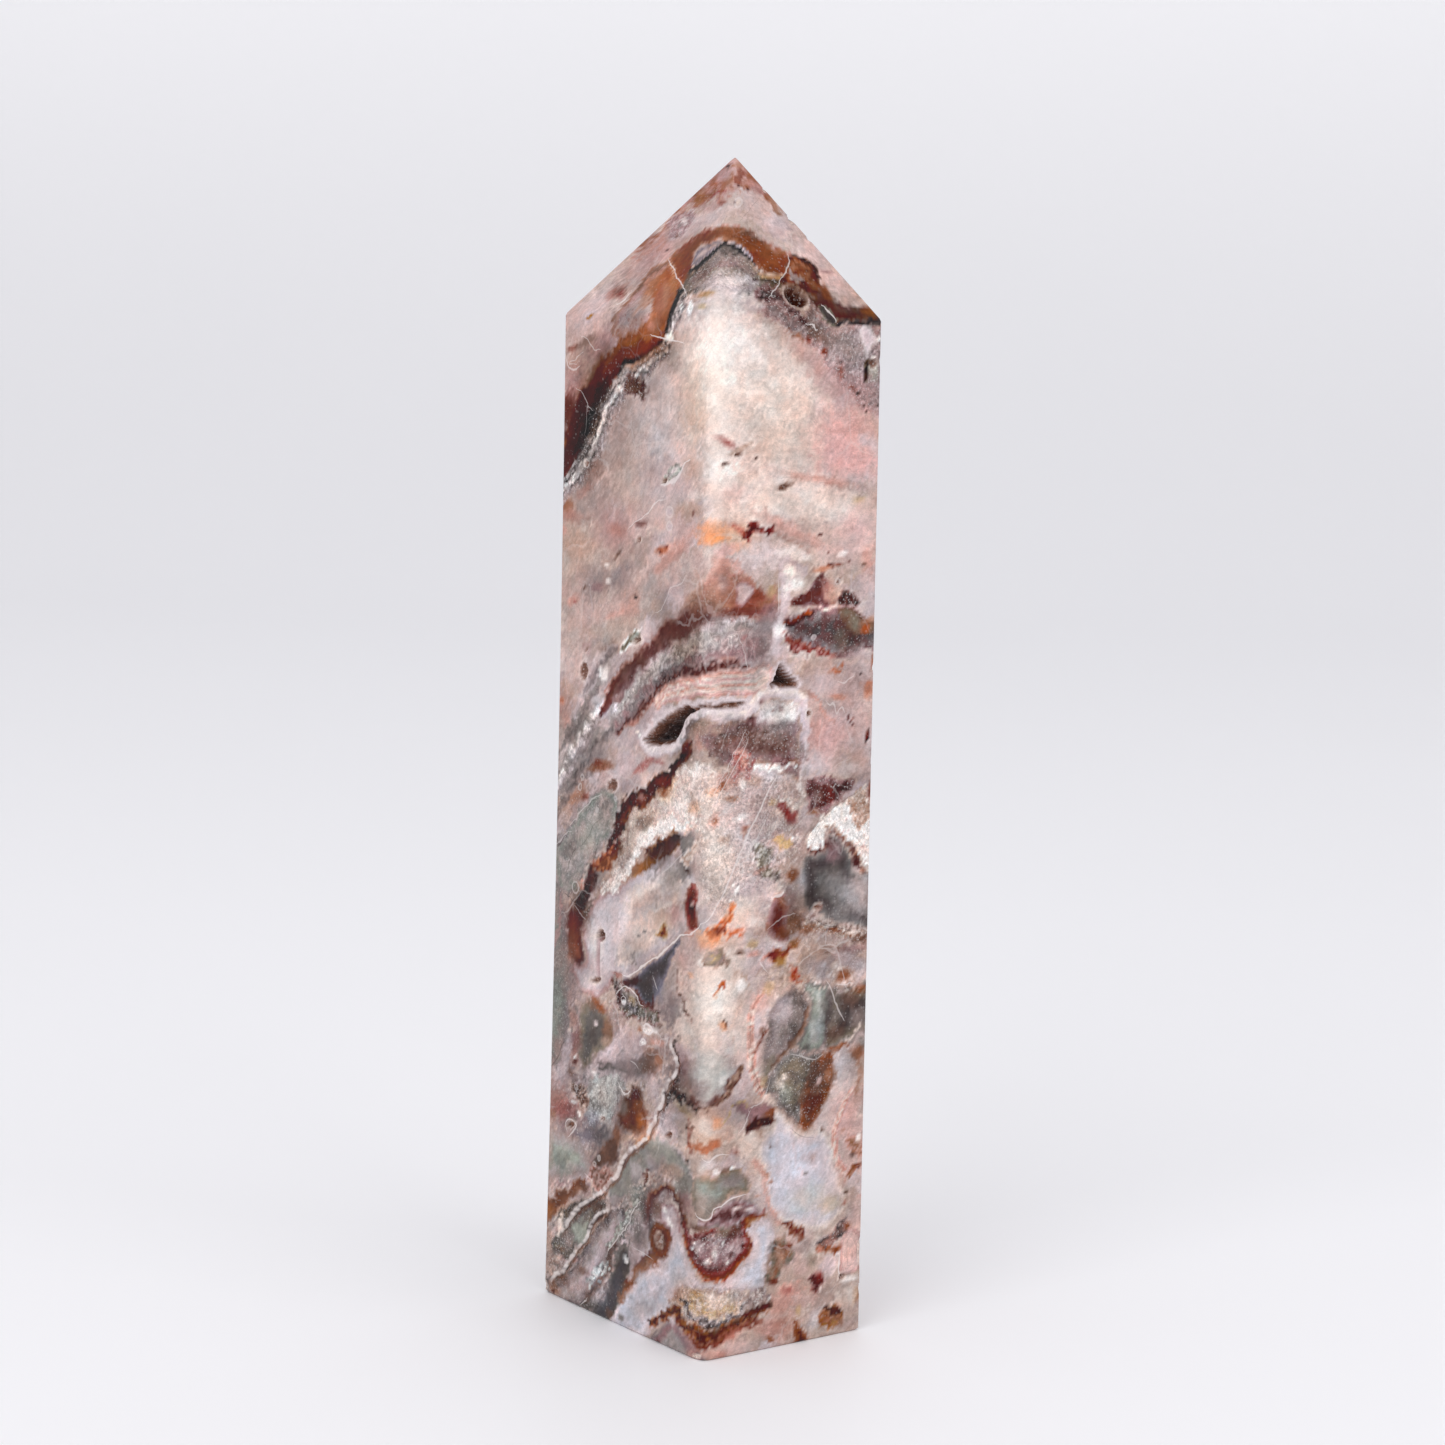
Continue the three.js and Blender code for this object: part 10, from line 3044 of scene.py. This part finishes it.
        surface = board.math("MULTIPLY_ADD", rough, 0.42, self.polish)
        surface = board.math("MULTIPLY_ADD", cloud, 0.05, surface)
        crystal = board.math("MULTIPLY", grains.outputs["Height"], rough)
        wave = self.noise(board, place, self.wave_scale, 1.0)
        relief = board.math("MULTIPLY_ADD", wave, 0.03, crystal)
        bump = board.add(
            "ShaderNodeBump", Height=relief, Distance=self.bump_distance, Strength=self.bump_strength
        )
        shader = board.add(
            "ShaderNodeBsdfPrincipled", Base_Color=colour, Roughness=surface, IOR=self.refraction,
            Specular_IOR_Level=self.mirror, Normal=bump.outputs["Normal"],
        )
        output = board.add("ShaderNodeOutputMaterial")
        board.feed(output.inputs["Surface"], shader.outputs[0])
        return material

    def noise(
        self, board: NodeBoard, place: bpy.types.NodeSocket, scale: float, detail: float
    ) -> bpy.types.NodeSocket:
        """A noise read at the place, scale cells to the metre."""
        node = board.add("ShaderNodeTexNoise", Vector=place, Scale=scale, Detail=detail)
        return node.outputs["Fac"]

    def shading(
        self, board: NodeBoard, value: bpy.types.NodeSocket, depth: float
    ) -> bpy.types.NodeSocket:
        """A grey that varies by the depth round 1 as the value goes from 0 to 1."""
        return self.grey(board, board.math("MULTIPLY_ADD", value, depth, 1.0 - depth / 2.0))

    def grey(self, board: NodeBoard, value: bpy.types.NodeSocket) -> bpy.types.NodeSocket:
        """A grey of the given value, for multiplying."""
        return board.add("ShaderNodeCombineColor", Red=value, Green=value, Blue=value).outputs[0]


@dataclass(frozen=True)
class PaleGround:
    """A plain pale finish for the ground that the stone stands on."""

    wall_glow: float = 0.24
    glow_start: float = 0.05
    glow_end: float = 1.0
    tone: tuple[float, float, float] = (0.95, 0.945, 0.965)

    def build(self) -> bpy.types.Material:
        """Draws the material: one tone with a very faint cloudiness, and a glow that grows with
        height, as if a lamp of its own lit the wall.

        Returns:
            The new material.
        """
        material = bpy.data.materials.new("pale_ground")
        material.use_nodes = True
        board = NodeBoard(material.node_tree)
        place = board.add("ShaderNodeTexCoord").outputs["Object"]
        cloud = board.add("ShaderNodeTexNoise", Vector=place, Scale=3.0, Detail=2.0).outputs["Fac"]
        light = tuple(min(1.0, part * 1.015) for part in self.tone) + (1.0,)
        colour = board.blend(cloud, self.tone + (1.0,), light)
        height = board.add("ShaderNodeSeparateXYZ", Vector=place).outputs["Z"]
        glow = board.ramp(height, self.glow_start, self.glow_end, 0.02, self.wall_glow)
        glow = board.add("ShaderNodeCombineColor", Red=glow, Green=glow, Blue=glow).outputs[0]
        shader = board.add(
            "ShaderNodeBsdfPrincipled", Base_Color=colour, Roughness=0.55, Emission_Color=glow,
            Emission_Strength=1.0,
        )
        output = board.add("ShaderNodeOutputMaterial")
        board.feed(output.inputs["Surface"], shader.outputs[0])
        return material


# Meshes


def surface_mesh(name: str, vertices: Array, faces: list[Array], smooth: bool) -> bpy.types.Object:
    """Puts arrays of vertices and faces into a new object at the origin.

    Args:
        name: Name of the object and its mesh.
        vertices: Points in metres, one row each.
        faces: Arrays of vertex indices, each with one face a row.
        smooth: Whether the faces are shaded smooth.

    Returns:
        The new object, linked to the scene.
    """
    mesh = bpy.data.meshes.new(name)
    rows = [row for block in faces for row in block.tolist()]
    mesh.from_pydata(vertices.tolist(), [], rows)
    mesh.polygons.foreach_set("use_smooth", np.full(len(rows), smooth))
    mesh.update()
    piece = bpy.data.objects.new(name, mesh)
    bpy.context.scene.collection.objects.link(piece)
    return piece


@dataclass(frozen=True)
class AgateTower:
    """The whole stone: one closed surface from its flat base to its blunt tip."""

    form: TowerForm = field(default_factory=TowerForm)
    columns: tuple[int, int, int, int] = (64, 42, 30, 84)
    rows: int = 400
    last_row: float = 199.5
    first_row: float = 0.8
    base_inset: float = 0.5
    clarity: float = 0.55

    def column_places(self) -> tuple[Array, Array]:
        """Columns round the stone: even along each face, with extra ones in its rounded ends.

        Returns:
            The face of each column and its share of the way along that face.
        """
        radii = (
            self.form.front_radius, self.form.right_radius,
            self.form.back_radius, self.form.left_radius,
        )
        faces, shares = [], []
        for face in range(4):
            wide, narrow = self.form.widths(np.array([0.0]))
            width = float((narrow, wide)[face % 2][0])
            first, last = radii[face] / width, radii[(face + 1) % 4] / width
            middle = np.linspace(first, 1.0 - last, self.columns[face])
            near_start = first * np.array([0.0, 0.25, 0.5, 0.75])
            near_end = 1.0 - last * np.array([0.75, 0.5, 0.25])
            share = np.concatenate([near_start, middle, near_end])
            faces.append(np.full(len(share), face))
            shares.append(share)
        return np.concatenate(faces), np.concatenate(shares)

    def chart_across(self, face: Array, share: Array, height: Array) -> Array:
        """Chart distance of each point from the front edge: positive round the right side over
        faces 0 and 1, negative round the left side over faces 3 and 2."""
        wide, narrow = self.form.widths(height)
        options = [
            share * narrow,
            narrow + share * wide,
            -wide - (1.0 - share) * narrow,
            -(1.0 - share) * wide,
        ]
        return np.choose(face, options)

    def heights(self) -> Array:
        """Heights of the rows: even, but for one at the chamfer."""
        return np.concatenate([[0.0, self.form.base_chamfer],
                               np.linspace(self.first_row, self.last_row, self.rows - 2)])

    def outward(self, grid: Array) -> Array:
        """Outward directions of a closed grid: the cross product of its two central differences."""
        round_step = np.roll(grid, -1, axis=1) - np.roll(grid, 1, axis=1)
        up_step = np.gradient(grid, axis=0)
        normal = np.cross(round_step, up_step)
        return normal / np.maximum(np.linalg.norm(normal, axis=2, keepdims=True), 1e-9)

    def build(self) -> tuple[bpy.types.Object, Canvas]:
        """Builds the surface: the polished outside, less the painted depth along its normals.

        Returns:
            The stone and the canvas its markings were painted on.
        """
        face, share = self.column_places()
        levels = self.heights()
        count = len(face)
        face_all = np.tile(face, len(levels))
        share_all = np.tile(share, len(levels))
        height_all = np.repeat(levels, count)
        places = self.form.outside(face_all, share_all, height_all)
        across = self.chart_across(face_all, share_all, height_all)
        canvas = paint_stone(across, height_all, places)
        grid = places.reshape(len(levels), count, 3)
        outward = self.outward(grid).reshape(-1, 3)
        depth = (canvas.depth * smoothstep(0.0, self.first_row, height_all))[:, None]
        stone = places - outward * depth
        stone[:, 2] = np.clip(stone[:, 2], 0.0, self.form.height)
        ring = places[:count]
        middle = ring.mean(axis=0)
        inner = middle + (ring - middle) * (1.0 - self.base_inset / self.form.base.right)
        tip = np.array([self.form.tip[0], self.form.tip[1], self.form.height])
        vertices = np.vstack([stone, inner, middle, tip])
        column = np.arange(count)
        after = (column + 1) % count
        start = (np.arange(len(levels) - 1) * count)[:, None]
        upper = start + count
        sides = np.stack([start + column, start + after, upper + after, upper + column], axis=-1)
        low = len(stone) + column
        low_after = len(stone) + after
        rim = np.stack([after, column, low, low_after], axis=1)
        cap = np.stack([low_after, low, np.full(count, len(stone) + count)], axis=1)
        top = (len(levels) - 1) * count
        point = np.stack([top + column, top + after, np.full(count, len(stone) + count + 1)], axis=1)
        faces = [sides.reshape(-1, 4), rim, cap, point]
        piece = surface_mesh("agate_tower_stone", vertices * MM, faces, smooth=True)
        self.record_paint(piece, canvas, count)
        return piece, canvas

    def clear(self, paint: Array, count: int) -> Array:
        """Contrast of small markings: paint + clarity * (paint - blur), the blur being each point
        with its neighbours weighted 1, 2, 1 along both directions of the grid.

        Args:
            paint: sRGB shares, one row for each point of the grid.
            count: Number of columns of the grid.

        Returns:
            The clearer paint, in the same order.
        """
        grid = paint.reshape(-1, count, 3)
        blur = grid / 2.0 + (np.roll(grid, 1, axis=1) + np.roll(grid, -1, axis=1)) / 4.0
        above, below = np.vstack([blur[1:], blur[-1:]]), np.vstack([blur[:1], blur[:-1]])
        blur = blur / 2.0 + (above + below) / 4.0
        return np.clip(grid + self.clarity * (grid - blur), 0.0, 1.0).reshape(-1, 3)

    def record_paint(self, piece: bpy.types.Object, canvas: Canvas, count: int) -> None:
        """Stores the canvas as colour attributes on the mesh's points.

        Args:
            piece: The stone.
            canvas: Its painted canvas.
            count: Number of columns, which the base and the tip take their values from.
        """
        grain = canvas.grain
        layers = {
            "paint": np.column_stack([under_polish(self.clear(canvas.paint, count)), grain["sparks"]]),
            "grain": np.column_stack([grain[k] for k in ("sugar", "silk", "specks", "lines")]),
            "course": np.column_stack(
                [canvas.course, canvas.along, grain["rough"], grain["crazing"]]
            ),
            "veins": np.column_stack(
                [canvas.white, canvas.white_strength, canvas.dark, canvas.dark_strength]
            ),
        }
        for name, values in layers.items():
            base = values[:count]
            ends = np.vstack([base, base.mean(axis=0), values[-count:].mean(axis=0)])
            attribute = piece.data.attributes.new(name, "FLOAT_COLOR", "POINT")
            attribute.data.foreach_set("color", np.vstack([values, ends]).ravel())

    def dress(self, piece: bpy.types.Object) -> None:
        """Gives the stone its finish."""
        piece.data.materials.append(PolishedAgate().build())


# Stage, lights and camera


@dataclass(frozen=True)
class PaleSweep:
    """A plain pale ground that curves up into a wall far behind the stone."""

    half_width: float = 4.0
    front: float = -2.5
    bend_start: float = 1.6
    bend_radius: float = 1.2
    wall: float = 3.0

    def build(self) -> bpy.types.Object:
        """Builds the sweep: a flat run, a quarter circle and a wall, carried straight sideways
        and turned so that it faces the camera.

        Returns:
            The sweep's object.
        """
        turn = np.linspace(0.0, math.pi / 2.0, 24)
        depth = np.concatenate([[self.front], self.bend_start + self.bend_radius * np.sin(turn),
                                [self.bend_start + self.bend_radius]])
        rise = np.concatenate([[0.0], self.bend_radius * (1.0 - np.cos(turn)), [self.wall]])
        sides = np.array([-self.half_width, self.half_width])
        grid = np.stack([
            np.repeat(sides[None, :], len(depth), 0),
            np.repeat(depth[:, None], 2, 1),
            np.repeat(rise[:, None], 2, 1),
        ], axis=-1).reshape(-1, 3)
        angle = math.radians(VIEW_AZIMUTH)
        turned = grid.copy()
        turned[:, 0] = grid[:, 0] * math.cos(angle) + grid[:, 1] * math.sin(angle)
        turned[:, 1] = grid[:, 1] * math.cos(angle) - grid[:, 0] * math.sin(angle)
        row = np.arange(len(depth) - 1) * 2
        faces = np.stack([row, row + 1, row + 3, row + 2], axis=1)
        return surface_mesh("pale_sweep", turned, [faces], smooth=True)

    def dress(self, piece: bpy.types.Object) -> None:
        """Gives the sweep its pale finish."""
        piece.data.materials.append(PaleGround().build())


@dataclass(frozen=True)
class Softbox:
    """A large soft lamp: where it hangs, what it faces, its size and its power."""

    name: str
    place: tuple[float, float, float]
    size: tuple[float, float]
    watts: float
    aim: tuple[float, float, float] = (0.0, 0.0, 0.1)

    def build(self) -> bpy.types.Object:
        """Hangs the lamp.

        Returns:
            The lamp's object.
        """
        data = bpy.data.lights.new(self.name, "AREA")
        data.shape = "RECTANGLE"
        data.size, data.size_y = self.size
        data.energy = self.watts
        lamp = bpy.data.objects.new(self.name, data)
        bpy.context.scene.collection.objects.link(lamp)
        facing = Vector(self.aim) - Vector(self.place)
        turned = facing.to_track_quat("-Z", "Y").to_matrix().to_4x4()
        lamp.matrix_world = Matrix.Translation(self.place) @ turned
        return lamp


# Direction that the photograph looks in, in degrees from the y axis
VIEW_AZIMUTH = 36.781
SENSOR_WIDTH = 36.0
CLIP_RANGE = (0.01, 50.0)


@dataclass(frozen=True)
class StudioCamera:
    """The photograph's viewpoint, found by fitting the tower's seven seen corners."""

    distance: float = 513.7802
    height: float = 158.8805
    sideways: float = 1.404
    pitch: float = 6.095
    roll: float = 1.526
    focal_pixels: float = 3000.0
    image_pixels: float = 1445.0

    def build(self) -> bpy.types.Object:
        """Places the camera.

        Returns:
            The camera's object.
        """
        azimuth = math.radians(VIEW_AZIMUTH)
        place = Vector((
            (-self.distance * math.sin(azimuth) + self.sideways * math.cos(azimuth)) * MM,
            (-self.distance * math.cos(azimuth) - self.sideways * math.sin(azimuth)) * MM,
            self.height * MM,
        ))
        data = bpy.data.cameras.new("studio_camera")
        data.sensor_width = SENSOR_WIDTH
        data.lens = SENSOR_WIDTH * self.focal_pixels / self.image_pixels
        data.clip_start, data.clip_end = CLIP_RANGE
        camera = bpy.data.objects.new("studio_camera", data)
        bpy.context.scene.collection.objects.link(camera)
        camera.matrix_world = (
            Matrix.Translation(place)
            @ Matrix.Rotation(-azimuth, 4, "Z")
            @ Matrix.Rotation(math.radians(90.0 - self.pitch), 4, "X")
            @ Matrix.Rotation(math.radians(self.roll), 4, "Z")
        )
        bpy.context.scene.camera = camera
        return camera


@dataclass(frozen=True)
class Studio:
    """Plain soft light: an even pale surround and three large softboxes."""

    surround: tuple[float, float, float] = (0.93, 0.93, 0.96)
    strength: float = 0.66
    lamps: tuple[Softbox, ...] = (
        Softbox("left_softbox", (-1.55, -0.6, 1.0), (1.2, 1.4), 11.0),
        Softbox("right_softbox", (0.35, -1.7, 0.9), (1.4, 1.4), 8.0),
        Softbox("top_softbox", (-0.3, -0.4, 1.9), (1.6, 1.6), 3.0),
    )

    def build(self) -> None:
        """Lights the scene."""
        world = bpy.data.worlds.new("studio")
        world.use_nodes = True
        background = world.node_tree.nodes["Background"]
        background.inputs["Color"].default_value = self.surround + (1.0,)
        background.inputs["Strength"].default_value = self.strength
        bpy.context.scene.world = world
        for lamp in self.lamps:
            lamp.build()
        bpy.context.scene.view_settings.view_transform = "Standard"


def main() -> None:
    """Builds the stone, the stage, the lights and the camera."""
    logging.basicConfig(level=logging.INFO, format="%(name)s: %(message)s")
    tower = AgateTower()
    stone, canvas = tower.build()
    tower.dress(stone)
    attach(stone, "root")
    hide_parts("agate_tower")
    LOG.info("stone: %d faces, deepest hollow %.1f mm", len(stone.data.polygons), canvas.depth.max())
    sweep = PaleSweep()
    ground = sweep.build()
    sweep.dress(ground)
    LOG.info("ground: %d faces", len(ground.data.polygons))
    Studio().build()
    camera = StudioCamera().build()
    LOG.info("camera: lens %.2f mm", camera.data.lens)


if __name__ == "__main__":
    main()
